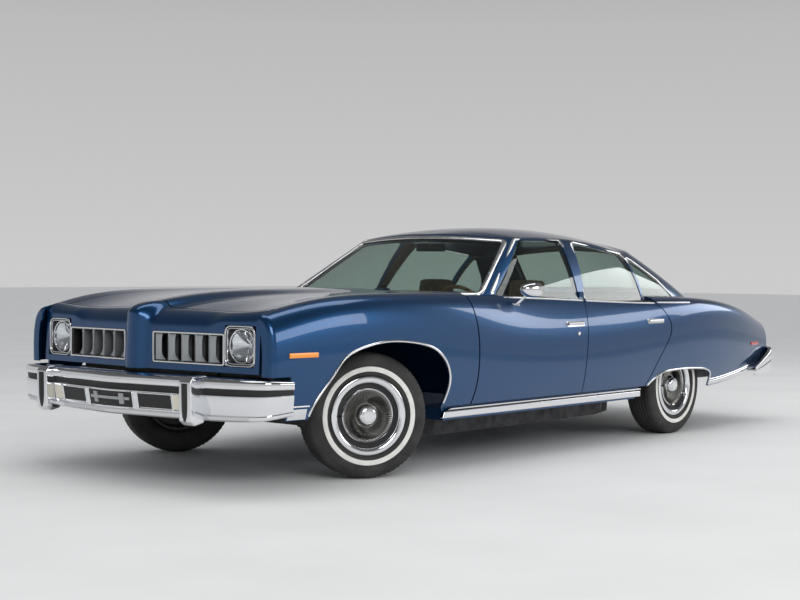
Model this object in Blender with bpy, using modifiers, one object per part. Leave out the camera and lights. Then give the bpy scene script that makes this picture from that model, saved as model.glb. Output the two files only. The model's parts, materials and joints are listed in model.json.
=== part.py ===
"""Four-door midsize sedan of the mid 1970s, as an assembly of separate pieces.

Metres, +X forward, +Y to the car's left, +Z up. The origin is on the floor below the middle of the car.
The front wheels stand turned to the right, as the car was parked.
"""

import math

import bmesh
import bpy
import numpy as np
from mathutils import Matrix, Vector

# Driving dimensions of the whole car
LENGTH = 5.38
HALF_LENGTH = LENGTH / 2
WHEELBASE = 2.946
FRONT_AXLE_X = 1.608
REAR_AXLE_X = FRONT_AXLE_X - WHEELBASE
FIT = 0.0003  # gap between pieces that seat on each other

# Wheels and tyres
TYRE_RADIUS = 0.325
TYRE_HALF_WIDTH = 0.098
TYRE_SEGMENTS = 30
WHEEL_SEGMENTS = 20
RIM_RADIUS = 0.196
COVER_RADIUS = 0.203
HALF_TRACK = 0.775
HUB_Z = TYRE_RADIUS * math.cos(math.pi / TYRE_SEGMENTS)  # a flat of the tyre rests on the floor
HUB_RADIUS = 0.062
HUB_SEAT = 0.085  # from the wheel's middle plane in to the face that seats on its hub

# Steering
KINGPIN_Y = 0.70
STEER_AT_REST = math.radians(-27)

# Body panels
SKIN = 0.012
SHUT_GAP = 0.007
LID_FRONT_GAP = 0.009
SILL_TOP = 0.338
HINGE_LIFTS = (0.46, 0.74)
FRONT_HINGE = (0.885, 0.962)
REAR_HINGE = (-0.215, 0.962)
HOOD_HINGE = (1.040, 0.888)
TRUNK_HINGE = (-1.80, 0.838)
COWL_TOP = 0.930
COWL_FRONT_X = 0.944  # behind the path of the hood's rear edge as it swings down
COWL_HALF_WIDTH = 0.765  # inside the path of the front doors' inner corners
SILL_BOTTOM = 0.268
DOOR_EDGE_TAPER = 0.016  # how far a door's rear edge leans forward from skin to trim, to swing clear
DOOR_BOTTOM = SILL_TOP + 0.009
HOOD_REAR_X = 1.0
HOOD_FRONT_X = 2.352
HOOD_HALF_WIDTH = 0.755
HOOD_THICKNESS = 0.022
NOSE_HALF_WIDTH = 0.832
NOSE_BOTTOM = 0.568
FENDER_FRONT_X = 2.43
TRUNK_FRONT_X = -2.03
TRUNK_REAR_X = -2.585
TRUNK_HALF_WIDTH = 0.69
TAIL_X = -2.60
PILLAR_THICKNESS = 0.032
GLASS_INSET = 0.004
GLASS_THICKNESS = 0.005
GLASS_GAP = 0.0006
DOOR_GLASS_GAP = 0.007

COLOURS = {
    "paint": ((0.02, 0.10, 0.32), 0.25, 0.4),
    "chrome": ((0.80, 0.80, 0.82), 0.08, 1.0),
    "glass": ((0.20, 0.24, 0.24), 0.05, 0.0),
    "lens": ((0.85, 0.87, 0.88), 0.05, 0.0),
    "tail": ((0.55, 0.03, 0.03), 0.15, 0.0),
    "rubber": ((0.03, 0.03, 0.03), 0.75, 0.0),
    "trim": ((0.42, 0.27, 0.15), 0.60, 0.0),
    "chassis": ((0.04, 0.04, 0.045), 0.60, 0.2),
    "iron": ((0.12, 0.12, 0.12), 0.55, 0.6),
    "steel": ((0.35, 0.34, 0.33), 0.45, 0.8),
}


# Scene housekeeping


def clear_scene():
    """Empties the startup scene."""
    for old in list(bpy.data.objects):
        bpy.data.objects.remove(old)


def collection(name):
    """The collection of that name, made when it is first asked for."""
    found = bpy.data.collections.get(name)
    if found is None:
        found = bpy.data.collections.new(name)
        bpy.context.scene.collection.children.link(found)
    return found


def material(name):
    """The Principled material of that name from the table above."""
    found = bpy.data.materials.get(name)
    if found is None:
        colour, roughness, metallic = COLOURS[name]
        found = bpy.data.materials.new(name)
        found.use_nodes = True
        shader = found.node_tree.nodes["Principled BSDF"]
        shader.inputs["Base Color"].default_value = (*colour, 1.0)
        shader.inputs["Roughness"].default_value = roughness
        shader.inputs["Metallic"].default_value = metallic
    return found


def as_object(name, mesh, look="paint", home="sedan"):
    """A new object in the named collection, smooth-shaded with its sharp edges kept."""
    made = bpy.data.objects.new(name, mesh)
    collection(home).objects.link(made)
    mesh.materials.clear()
    mesh.materials.append(material(look))
    mesh.shade_smooth()
    mesh.set_sharp_from_angle(angle=math.radians(35))
    return made


def as_cutter(shape):
    """Marks a shape as a helper: it cuts or joins another and isn't a piece itself."""
    for owner in list(shape.users_collection):
        owner.objects.unlink(shape)
    collection("cutters").objects.link(shape)
    shape.hide_render = True
    shape.display_type = "WIRE"
    return shape


def combine(piece, operation, *others):
    """Puts a Boolean on piece for each other shape, which becomes a helper."""
    for other in others:
        as_cutter(other)
        boolean = piece.modifiers.new(f"{operation} {other.name}", "BOOLEAN")
        boolean.operation = operation
        boolean.solver = "MANIFOLD"
        boolean.object = other
    return piece


def baked(piece):
    """The same object with its modifiers applied, so that its mesh can be copied or cut again."""
    bpy.context.view_layer.update()
    graph = bpy.context.evaluated_depsgraph_get()
    mesh = bpy.data.meshes.new_from_object(piece.evaluated_get(graph))
    piece.modifiers.clear()
    piece.data = mesh
    return piece


def from_bmesh(name, shape, look="paint", home="sedan"):
    """An object from a bmesh with its normals made to point out."""
    bmesh.ops.recalc_face_normals(shape, faces=shape.faces)
    mesh = bpy.data.meshes.new(name)
    shape.to_mesh(mesh)
    shape.free()
    return as_object(name, mesh, look, home)


def box(name, low, high, look="chassis", bevel=0.0):
    """A box between two corners, with bevelled edges when a bevel is given."""
    low, high = Vector(low), Vector(high)
    shape = bmesh.new()
    size = Matrix.Diagonal((*(high - low), 1.0))
    bmesh.ops.create_cube(shape, size=1.0, matrix=Matrix.Translation((low + high) / 2) @ size)
    made = from_bmesh(name, shape, look)
    if bevel:
        rounded = made.modifiers.new("bevel", "BEVEL")
        rounded.width = bevel
        rounded.segments = 1
    return made


def rod(name, start, end, radius, look="chassis", segments=16, end_radius=None):
    """A cylinder or cone between two points."""
    start, end = Vector(start), Vector(end)
    along = end - start
    turn = along.to_track_quat("Z", "Y").to_matrix().to_4x4()
    shape = bmesh.new()
    bmesh.ops.create_cone(
        shape,
        cap_ends=True,
        segments=segments,
        radius1=radius,
        radius2=radius if end_radius is None else end_radius,
        depth=along.length,
        matrix=Matrix.Translation((start + end) / 2) @ turn,
    )
    return from_bmesh(name, shape, look)


def slab(name, outline, low, high, plane="XZ", look="chassis"):
    """A flat outline extruded between two levels across its plane: XZ along Y, YZ along X, XY along Z."""
    data = bpy.data.curves.new(name, "CURVE")
    data.dimensions = "2D"
    data.fill_mode = "BOTH"
    data.extrude = (high - low) / 2
    path = data.splines.new("POLY")
    path.points.add(len(outline) - 1)
    for point, (u, v) in zip(path.points, outline):
        point.co = (u, v, 0.0, 1.0)
    path.use_cyclic_u = True
    drawn = bpy.data.objects.new(name, data)
    bpy.context.scene.collection.objects.link(drawn)
    bpy.context.view_layer.update()
    graph = bpy.context.evaluated_depsgraph_get()
    mesh = bpy.data.meshes.new_from_object(drawn.evaluated_get(graph))
    bpy.data.objects.remove(drawn)
    middle = (low + high) / 2
    axes = {
        "XZ": Matrix(((1, 0, 0, 0), (0, 0, 1, middle), (0, 1, 0, 0), (0, 0, 0, 1))),
        "YZ": Matrix(((0, 0, 1, middle), (1, 0, 0, 0), (0, 1, 0, 0), (0, 0, 0, 1))),
        "XY": Matrix(((1, 0, 0, 0), (0, 1, 0, 0), (0, 0, 1, middle), (0, 0, 0, 1))),
    }
    mesh.transform(axes[plane])
    shape = bmesh.new()
    shape.from_mesh(mesh)
    bpy.data.meshes.remove(mesh)
    bmesh.ops.remove_doubles(shape, verts=shape.verts, dist=1e-5)
    return from_bmesh(name, shape, look)


def turned(name, profile, segments, look="rubber"):
    """A profile of (radius, along) points turned about Y with a Screw modifier, closed by its own shape."""
    shape = bmesh.new()
    ring = [shape.verts.new((radius, along, 0.0)) for radius, along in profile]
    for first, second in zip(ring, ring[1:] + ring[:1]):
        if first is not second:
            shape.edges.new((first, second))
    mesh = bpy.data.meshes.new(name)
    shape.to_mesh(mesh)
    shape.free()
    made = as_object(name, mesh, look)
    screw = made.modifiers.new("turn", "SCREW")
    screw.axis = "Y"
    screw.steps = segments
    screw.render_steps = segments
    screw.use_merge_vertices = True
    screw.merge_threshold = 0.0001
    screw.use_normal_calculate = True
    return made


def grid_shape(rows, loop=False):
    """A bmesh sheet through rows of points, each row closed on itself when loop is set."""
    shape = bmesh.new()
    made = [[shape.verts.new(point) for point in row] for row in rows]
    wrap = 0 if loop else 1
    for lower, upper in zip(made, made[1:]):
        for i in range(len(lower) - wrap):
            j = (i + 1) % len(lower)
            corners = [lower[i], lower[j], upper[j], upper[i]]
            shape.faces.new(corners)
    bmesh.ops.remove_doubles(shape, verts=shape.verts, dist=1e-5)
    return shape


def sheet(name, rows, thickness, outward, look="paint", loop=False):
    """A curved panel: an open sheet through rows of points, made solid away from the outward side."""
    shape = grid_shape(rows, loop)
    bmesh.ops.recalc_face_normals(shape, faces=shape.faces)
    probe = max(shape.faces, key=lambda face: face.calc_area())
    if probe.normal.dot(outward(probe.calc_center_median())) < 0:
        bmesh.ops.reverse_faces(shape, faces=shape.faces)
    mesh = bpy.data.meshes.new(name)
    shape.to_mesh(mesh)
    shape.free()
    made = as_object(name, mesh, look)
    solid = made.modifiers.new("thickness", "SOLIDIFY")
    solid.thickness = thickness
    solid.offset = -1
    solid.use_even_offset = True
    return made


def between(name, outer, inner, look="paint"):
    """A closed solid between two grids of points of the same size, such as a door's skin and its trim."""
    shape = bmesh.new()
    grids = [[[shape.verts.new(point) for point in row] for row in rows] for rows in (outer, inner)]
    for grid in grids:
        for lower, upper in zip(grid, grid[1:]):
            for a, b, c, d in zip(lower, lower[1:], upper[1:], upper):
                shape.faces.new((a, b, c, d))
    rims = []
    for grid in grids:
        left = [row[0] for row in grid[::-1]]
        right = [row[-1] for row in grid]
        rims.append(grid[0][:-1] + right[:-1] + grid[-1][::-1][:-1] + left[:-1])
    for i in range(len(rims[0])):
        j = (i + 1) % len(rims[0])
        shape.faces.new((rims[0][i], rims[0][j], rims[1][j], rims[1][i]))
    return from_bmesh(name, shape, look)


def rounded(outline, radius, steps=3):
    """A polygon with each corner replaced by an arc of that radius, or less where its sides are short."""
    points = []
    count = len(outline)
    for i, corner in enumerate(outline):
        corner = Vector(corner)
        before, after = Vector(outline[i - 1]), Vector(outline[(i + 1) % count])
        towards_before, towards_after = (before - corner), (after - corner)
        half = towards_before.angle(towards_after) / 2
        reach = min(radius / math.tan(half), 0.45 * towards_before.length, 0.45 * towards_after.length)
        start = corner + towards_before.normalized() * reach
        end = corner + towards_after.normalized() * reach
        for k in range(steps + 1):
            share = k / steps
            first = start.lerp(corner, share)
            points.append(tuple(first.lerp(corner.lerp(end, share), share)))
    return points


def inset(outline, amount):
    """A polygon moved in by an amount on every side, for outlines that run either way round."""
    area = sum(a[0] * b[1] - b[0] * a[1] for a, b in zip(outline, outline[1:] + outline[:1])) / 2
    turn = 1 if area > 0 else -1
    moved = []
    for i, point in enumerate(outline):
        before, after = Vector(outline[i - 1]), Vector(outline[(i + 1) % len(outline)])
        point = Vector(point)
        first, second = (point - before).normalized(), (after - point).normalized()
        side = Vector((-first.y, first.x)) + Vector((-second.y, second.x))
        share = side.length_squared / 2
        moved.append(tuple(point + side * (turn * amount / max(share, 0.2))))
    return moved


def mirrored(points):
    """The same points on the car's other side."""
    return [[(x, -y, z) for x, y, z in row] for row in points]


# Smooth curves through a few named stations


class Guide:
    """A natural cubic curve through (x, value) stations, held level past its ends."""

    def __init__(self, *stations):
        stations = sorted(stations)
        self.x = np.array([s[0] for s in stations], float)
        self.value = np.array([s[1] for s in stations], float)
        count = len(stations)
        step = np.diff(self.x)
        matrix = np.eye(count)
        right = np.zeros(count)
        for i in range(1, count - 1):
            matrix[i, i - 1 : i + 2] = step[i - 1], 2 * (step[i - 1] + step[i]), step[i]
            rise = np.diff(self.value[i - 1 : i + 2]) / step[i - 1 : i + 1]
            right[i] = 6 * (rise[1] - rise[0])
        self.bend = np.linalg.solve(matrix, right)

    def __call__(self, x):
        x = min(max(x, self.x[0]), self.x[-1])
        i = min(max(int(np.searchsorted(self.x, x)) - 1, 0), len(self.x) - 2)
        step = self.x[i + 1] - self.x[i]
        a, b = (self.x[i + 1] - x) / step, (x - self.x[i]) / step
        ends = a * self.value[i] + b * self.value[i + 1]
        curve = (a**3 - a) * self.bend[i] + (b**3 - b) * self.bend[i + 1]
        return float(ends + curve * step**2 / 6)


def smooth_step(x):
    """0 to 1 with level ends."""
    x = min(max(x, 0.0), 1.0)
    return x * x * (3 - 2 * x)


# The body's cross-section: a smooth curve pulled by ten points, each with its own run along the car.
# They go from the sill up the side, over the shoulder or fender crest and in to the middle of hood or deck.

SECTION_STATIONS = (-2.62, -2.2, -1.75, -1.3, -0.9, -0.3, 0.4, 0.95, 1.6, 2.15, 2.45)
SECTION_Y = (
    (0.840, 0.885, 0.905, 0.915, 0.920, 0.925, 0.925, 0.925, 0.920, 0.905, 0.885),
    (0.870, 0.925, 0.955, 0.965, 0.970, 0.975, 0.975, 0.975, 0.970, 0.950, 0.920),
    (0.885, 0.950, 0.985, 0.995, 0.995, 0.993, 0.993, 0.995, 0.992, 0.972, 0.940),
    (0.880, 0.945, 0.985, 0.992, 0.982, 0.968, 0.968, 0.982, 0.988, 0.972, 0.940),
    (0.850, 0.920, 0.962, 0.958, 0.925, 0.895, 0.897, 0.942, 0.968, 0.955, 0.925),
    (0.790, 0.860, 0.885, 0.870, 0.850, 0.842, 0.848, 0.875, 0.900, 0.890, 0.865),
    (0.690, 0.750, 0.780, 0.770, 0.770, 0.775, 0.780, 0.790, 0.800, 0.795, 0.780),
    (0.480, 0.520, 0.550, 0.560, 0.570, 0.580, 0.580, 0.580, 0.560, 0.540, 0.520),
    (0.240, 0.260, 0.280, 0.280, 0.290, 0.290, 0.290, 0.290, 0.280, 0.270, 0.260),
    (0.000,) * 11,
)
SECTION_Z = (
    (0.330, 0.290, 0.255, 0.250, 0.250, 0.250, 0.250, 0.250, 0.250, 0.270, 0.290),
    (0.430, 0.410, 0.385, 0.380, 0.380, 0.380, 0.380, 0.380, 0.380, 0.390, 0.400),
    (0.540, 0.550, 0.555, 0.560, 0.560, 0.560, 0.560, 0.560, 0.565, 0.560, 0.545),
    (0.620, 0.690, 0.730, 0.740, 0.740, 0.735, 0.735, 0.750, 0.765, 0.745, 0.690),
    (0.690, 0.785, 0.850, 0.865, 0.862, 0.855, 0.865, 0.888, 0.905, 0.875, 0.805),
    (0.735, 0.830, 0.890, 0.912, 0.915, 0.925, 0.938, 0.952, 0.958, 0.925, 0.860),
    (0.755, 0.842, 0.890, 0.905, 0.915, 0.930, 0.945, 0.952, 0.945, 0.908, 0.850),
    (0.780, 0.862, 0.900, 0.912, 0.920, 0.935, 0.945, 0.940, 0.925, 0.885, 0.835),
    (0.795, 0.872, 0.908, 0.918, 0.925, 0.938, 0.950, 0.950, 0.938, 0.898, 0.850),
    (0.800, 0.876, 0.910, 0.920, 0.926, 0.940, 0.952, 0.955, 0.942, 0.902, 0.852),
)
SECTION_GUIDES = [
    (Guide(*zip(SECTION_STATIONS, ys)), Guide(*zip(SECTION_STATIONS, zs)))
    for ys, zs in zip(SECTION_Y, SECTION_Z)
]
SAMPLES = np.linspace(0.0, 1.0, 241)
CREST_SHARE = 0.60  # share of the section's run below which it is the car's side


def spline_weights(samples, count):
    """Weights of each pull point along a clamped uniform cubic B-spline."""
    knots = np.concatenate([np.zeros(3), np.linspace(0, 1, count - 2), np.ones(3)])
    inside = np.clip(samples, 0, 1 - 1e-9)
    weights = np.array([(knots[i] <= inside) & (inside < knots[i + 1]) for i in range(count + 3)], float)
    for degree in (1, 2, 3):
        raised = np.zeros((count + 3 - degree, len(samples)))
        for i in range(count + 3 - degree):
            rise, fall = knots[i + degree] - knots[i], knots[i + degree + 1] - knots[i + 1]
            if rise > 0:
                raised[i] += (inside - knots[i]) / rise * weights[i]
            if fall > 0:
                raised[i] += (knots[i + degree + 1] - inside) / fall * weights[i + 1]
        weights = raised
    return weights.T


SECTION_WEIGHTS = spline_weights(SAMPLES, len(SECTION_Y))
_sections = {}


def section(x):
    """The (y, z) points of the body's left half section at x, from sill to middle."""
    key = round(x, 5)
    if key not in _sections:
        pulls = np.array([(across(x), up(x)) for across, up in SECTION_GUIDES])
        _sections[key] = SECTION_WEIGHTS @ pulls
    return _sections[key]


def section_point(x, share):
    """The (y, z) point at a share of the section's run."""
    points = section(x)
    return (
        float(np.interp(share, SAMPLES, points[:, 0])),
        float(np.interp(share, SAMPLES, points[:, 1])),
    )


def section_normal(x, share):
    """The outward (y, z) direction of the section there."""
    low, high = section_point(x, max(share - 0.01, 0)), section_point(x, min(share + 0.01, 1))
    along = Vector((high[0] - low[0], high[1] - low[1])).normalized()
    return Vector((along.y, -along.x))


def share_at_z(x, z):
    """Where the side reaches a height."""
    points = section(x)
    side = SAMPLES <= CREST_SHARE
    top = int(np.argmax(points[side, 1])) + 1
    return float(np.interp(z, points[:top, 1], SAMPLES[:top]))


def share_at_y(x, y):
    """Where the top reaches a distance from the middle."""
    points = section(x)
    upper = SAMPLES >= 0.35
    return float(np.interp(-y, -points[upper, 0], SAMPLES[upper]))


def side_y(x, z):
    """Half width of the body side at a height."""
    return section_point(x, share_at_z(x, z))[0]


def inner_reach(x, z):
    """How far out a bracket goes to stop just short of a side panel's inner face."""
    return side_y(x, z) - SKIN - 0.0042


def top_z(x, y):
    """Height of hood, deck or fender top at a distance from the middle."""
    return section_point(x, share_at_y(x, abs(y)))[1]


# Lines on the body side, each a height or a place along the car

BELT_Z = Guide((-1.75, 0.868), (-1.2, 0.871), (-0.6, 0.885), (0.0, 0.908), (0.6, 0.926), (0.95, 0.932))
DOOR_FRONT_CUT = Guide((0.33, 0.984), (0.42, 0.960), (0.55, 0.945), (0.75, 0.940), (0.93, 0.950))
DOOR_MIDDLE_CUT = Guide((0.33, -0.095), (0.50, -0.102), (0.66, -0.135), (0.80, -0.195), (0.91, -0.262))
DOOR_REAR_CUT = Guide(
    (0.33, -0.805), (0.42, -0.868), (0.50, -0.925), (0.60, -1.015), (0.70, -1.085), (0.78, -1.070), (0.88, -0.995)
)
QUARTER_LOW_Z = Guide((-2.60, 0.425), (-2.2, 0.358), (-1.65, 0.300), (-1.30, 0.300), (-0.80, 0.347))
FRONT_ARCH = [
    (2.215, 0.25),
    (2.195, 0.40),
    (2.085, 0.545),
    (1.965, 0.655),
    (1.700, 0.705),
    (1.410, 0.680),
    (1.262, 0.615),
    (1.198, 0.505),
    (1.222, 0.385),
    (1.285, 0.25),
]
REAR_ARCH = [
    (-0.770, 0.25),
    (-0.830, 0.335),
    (-0.985, 0.415),
    (-1.150, 0.432),
    (-1.420, 0.430),
    (-1.600, 0.412),
    (-1.660, 0.365),
    (-1.665, 0.25),
]


def both_sides(build):
    """Calls build for the left and the right side, with the side's name and sign."""
    for side, sign in (("left", 1), ("right", -1)):
        build(side, sign)


def to_side(rows, sign):
    """Rows of left-hand points put on the side asked for."""
    return rows if sign > 0 else mirrored(rows)


def away_from_spine(point):
    """Outward direction for a panel on the body side."""
    return Vector((0, math.copysign(1, point.y), 0.3))


def upward(point):
    """Outward direction for a panel on top."""
    return Vector((0, 0, 1))


# Fenders, hood and nose

FRONT_BUMPER_LOW = 0.345
FRONT_BUMPER_HIGH = 0.552


def fender_rows():
    """The left front fender: its side, crest and top in to the hood, and its rounded front edge."""
    columns, rows_up, corner = 8, 9, 0.035
    rows = []
    for j in range(rows_up + 1):
        row = []
        up = j / rows_up
        for i in range(columns + 1):
            x = FENDER_FRONT_X
            for _ in range(3):
                low = share_at_z(x, DOOR_BOTTOM)
                high = share_at_y(x, HOOD_HALF_WIDTH + SHUT_GAP)
                share = low + (high - low) * up
                y, z = section_point(x, share)
                rear = DOOR_FRONT_CUT(z) + SHUT_GAP
                x = rear + (FENDER_FRONT_X - rear) * i / columns
            y, z = section_point(x, share)
            row.append((x, y, z))
        y, z = section_point(FENDER_FRONT_X, share)
        inward = section_normal(FENDER_FRONT_X, share)
        for turn in (45, 90):
            angle = math.radians(turn)
            depth = corner * (1 - math.cos(angle))
            ahead = FENDER_FRONT_X + corner * math.sin(angle)
            row.append((ahead, y - inward.x * depth, z - inward.y * depth))
        row.append((FENDER_FRONT_X + corner, y - inward.x * 0.07, z - inward.y * 0.07))
        rows.append(row)
    return rows


def build_fender(side, sign):
    """One front fender with its wheel opening."""
    fender = sheet(f"fender_{side}", to_side(fender_rows(), sign), SKIN, away_from_spine)
    arch = slab(f"front arch {side}", rounded(FRONT_ARCH, 0.06), *sorted((sign * 0.70, sign * 1.1)))
    low_y, high_y = sorted((sign * 0.60, sign * (NOSE_HALF_WIDTH + SHUT_GAP)))
    nose_room = box(f"nose room {side}", (HOOD_FRONT_X - SHUT_GAP, low_y, 0.40), (2.60, high_y, 1.0))
    low_y, high_y = sorted((sign * 0.60, sign * 1.1))
    bumper_room = box(f"bumper room {side}", (2.345, low_y, 0.20), (2.60, high_y, FRONT_BUMPER_HIGH + 0.008))
    combine(fender, "DIFFERENCE", arch, nose_room, bumper_room)


def hood_ridge(x, y):
    """Height that the hood's raised middle adds: narrow at the nose and wide at the cowl."""
    back = (HOOD_FRONT_X - x) / (HOOD_FRONT_X - HOOD_REAR_X)
    width = 0.075 + 0.26 * back
    height = 0.036 - 0.026 * back
    return height * math.exp(-((abs(y) / width) ** 4))


def hood_z(x, y):
    """Height of the hood's outer face."""
    return top_z(x, y) + hood_ridge(x, y)


def across(half_width, count):
    """Places across the car, closer together near the middle ridge."""
    spread = np.linspace(-1, 1, count)
    return [float(half_width * (0.55 * s + 0.45 * s**3)) for s in spread]


def build_hood():
    """The hood, one pressed panel with a raised middle."""
    rows = [
        [(x, y, hood_z(x, y)) for y in across(HOOD_HALF_WIDTH, 13)]
        for x in np.linspace(HOOD_REAR_X, HOOD_FRONT_X - SHUT_GAP, 7)
    ]
    hood = sheet("hood", rows, HOOD_THICKNESS, upward)
    x, z = HOOD_HINGE
    for sign in (1, -1):
        low_y, high_y = sorted((sign * 0.690, sign * 0.700))
        lug = box(f"hood lug {sign}", (x - 0.010, low_y, z - 0.002), (x + 0.010, high_y, z + 0.050))
        eye = rod(f"hood eye {sign}", (x, low_y, z), (x, high_y, z), 0.012, segments=8)
        combine(hood, "UNION", lug, eye)


def nose_front_x(y):
    """Front of the nose panel: a prow in the middle and faces that sweep back beside it."""
    y = abs(y)
    return 2.487 - 0.062 * y + 0.05 * math.exp(-((y / 0.062) ** 4))


def brow_z(y):
    """Height where the nose panel's face begins, below the rounded brow."""
    y = abs(y)
    lamp = smooth_step((y - 0.47) / 0.12)
    prow = math.exp(-((y / 0.075) ** 4))
    return 0.770 + 0.038 * lamp + 0.070 * prow


LAMP_INNER_Y = 0.540
LAMP_OUTER_Y = 0.782
LAMP_TOP_Z = 0.798
GRILLE_INNER_Y = 0.105
GRILLE_TOP_Z = 0.757
GRILLE_BOTTOM_Z = 0.598


def nose_opening(sign):
    """Outline of one grille and lamp opening in (y, z)."""
    corners = [
        (GRILLE_INNER_Y, GRILLE_BOTTOM_Z),
        (LAMP_OUTER_Y, GRILLE_BOTTOM_Z),
        (LAMP_OUTER_Y, LAMP_TOP_Z),
        (LAMP_INNER_Y, LAMP_TOP_Z),
        (LAMP_INNER_Y, GRILLE_TOP_Z),
        (GRILLE_INNER_Y, GRILLE_TOP_Z),
    ]
    return [(sign * y, z) for y, z in rounded(corners, 0.010)]


def build_nose():
    """The panel between the fenders that carries grilles and lamps, with its centre prow."""
    rows = []
    ys = across(NOSE_HALF_WIDTH, 19)
    for turn in (0, 35, 65, 90):
        angle = math.radians(turn)
        row = []
        for y in ys:
            top = hood_z(HOOD_FRONT_X, y)
            front = nose_front_x(y)
            low = min(brow_z(y), top - 0.01)
            ahead = HOOD_FRONT_X + (front - HOOD_FRONT_X) * math.sin(angle)
            row.append((ahead, y, low + (top - low) * math.cos(angle)))
        rows.append(row)
    for drop in (0.5, 1.0):
        row = []
        for y in ys:
            low = brow_z(y)
            row.append((nose_front_x(y) + 0.012 * drop, y, low + (NOSE_BOTTOM - low) * drop))
        rows.append(row)
    nose = sheet("nose_panel", rows, 0.02, lambda point: Vector((1, 0, 1)))
    for sign in (1, -1):
        opening = slab(f"nose opening {sign}", nose_opening(sign), 2.36, 2.62, "YZ")
        combine(nose, "DIFFERENCE", opening)


def lean_back(piece, sign):
    """Shears a front-facing piece so that it follows the nose panel's sweep."""
    for vertex in piece.data.vertices:
        vertex.co.x -= 0.062 * (abs(vertex.co.y) - GRILLE_INNER_Y)
    return piece


def build_grille(side, sign):
    """One grille: a bright frame with five bays, each with a curved vane."""
    gap = 0.0008
    inner, outer = GRILLE_INNER_Y + gap, LAMP_INNER_Y - gap
    bottom, top = GRILLE_BOTTOM_Z + gap, GRILLE_TOP_Z - gap
    rim, back, front = 0.010, 2.405, 2.487
    frame = slab(
        f"grille_{side}",
        [(sign * y, z) for y, z in rounded([(inner, bottom), (outer, bottom), (outer, top), (inner, top)], 0.016, 2)],
        back,
        front,
        "YZ",
        "chrome",
    )
    hole_corners = [
        (inner + rim, bottom + rim),
        (outer - rim / 2, bottom + rim),
        (outer - rim / 2, top - rim),
        (inner + rim, top - rim),
    ]
    hole = slab(
        f"grille hole {side}",
        [(sign * y, z) for y, z in rounded(hole_corners, 0.012, 1)],
        back - 0.01,
        front + 0.01,
        "YZ",
    )
    combine(frame, "DIFFERENCE", hole)
    bays = 5
    pitch = (outer - inner - rim) / bays
    for i in range(bays):
        start = inner + rim / 2 + pitch * i
        vane = [
            (front - 0.004, start),
            (front - 0.004, start + 0.007),
            (front - 0.035, start + 0.016),
            (back + 0.012, start + 0.052),
            (back + 0.004, start + 0.050),
            (front - 0.040, start + 0.006),
        ]
        combine(frame, "UNION", slab(f"vane {side} {i}", [(x, sign * y) for x, y in vane], bottom + 0.004, top - 0.004, "XY"))
    lean_back(baked(frame), sign)


def build_headlamp(side, sign):
    """One round sealed lamp in its square bright bezel."""
    gap = 0.0008
    inner, outer = LAMP_INNER_Y, LAMP_OUTER_Y - gap
    bottom, top = GRILLE_BOTTOM_Z + gap, LAMP_TOP_Z - gap
    middle_y, middle_z = (inner + outer) / 2, (bottom + top) / 2
    corners = [(inner, bottom), (outer, bottom), (outer, top), (inner, top)]
    bezel = slab(
        f"headlamp_{side}",
        [(sign * y, z) for y, z in rounded(corners, 0.045, 4)],
        2.405,
        2.487,
        "YZ",
        "chrome",
    )
    well = rod(f"lamp well {side}", (2.45, sign * middle_y, middle_z), (2.50, sign * middle_y, middle_z), 0.088, segments=18, end_radius=0.097)
    lens = rod(f"lens {side}", (2.42, sign * middle_y, middle_z), (2.462, sign * middle_y, middle_z), 0.082, segments=18, end_radius=0.078)
    crown = rod(f"crown {side}", (2.455, sign * middle_y, middle_z), (2.472, sign * middle_y, middle_z), 0.078, segments=18, end_radius=0.045)
    combine(bezel, "DIFFERENCE", well)
    combine(bezel, "UNION", lens, crown)
    lean_back(baked(bezel), sign)


# Doors


def door_grid(front_cut, rear_cut, columns, rows_up, inner):
    """Points of a left door's outer skin, or of its inner face, between two cut lines."""
    rows = []
    for j in range(rows_up + 1):
        up = j / rows_up
        row = []
        for i in range(columns + 1):
            x = 0.0
            for _ in range(3):
                z = DOOR_BOTTOM + (BELT_Z(x) - DOOR_BOTTOM) * up
                ahead, behind = front_cut(z) - SHUT_GAP / 2, rear_cut(z) + SHUT_GAP / 2
                behind += DOOR_EDGE_TAPER if inner else 0.0
                x = ahead + (behind - ahead) * i / columns
            z = DOOR_BOTTOM + (BELT_Z(x) - DOOR_BOTTOM) * up
            y = side_y(x, z)
            if inner:
                lean = smooth_step((z - 0.55) / 0.35)
                y = min(0.872 - 0.090 * lean, y - 0.045)
            row.append((x, y, z))
        rows.append(row)
    return rows


EYE_RADIUS = 0.009
EYE_HALF_HEIGHT = 0.020
ARM_HALF_HEIGHT = 0.015


def build_door(name, front_cut, rear_cut, columns, hinge, sign):
    """One door, skin and trim in one solid as thick as the real door, notched for its two hinges."""
    outer = to_side(door_grid(front_cut, rear_cut, columns, 9, False), sign)
    inner = to_side(door_grid(front_cut, rear_cut, columns, 9, True), sign)
    door = between(name, outer, inner)
    x, y = hinge
    for z in HINGE_LIFTS:
        low_y, high_y = sorted((sign * 0.70, sign * (y + EYE_RADIUS + 0.005)))
        half = EYE_HALF_HEIGHT + FIT
        notch = box(f"{name} notch {z}", (x - EYE_RADIUS - 0.005, low_y, z - half), (x + 0.2, high_y, z + half))
        combine(door, "DIFFERENCE", notch)
    return baked(door)


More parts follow.
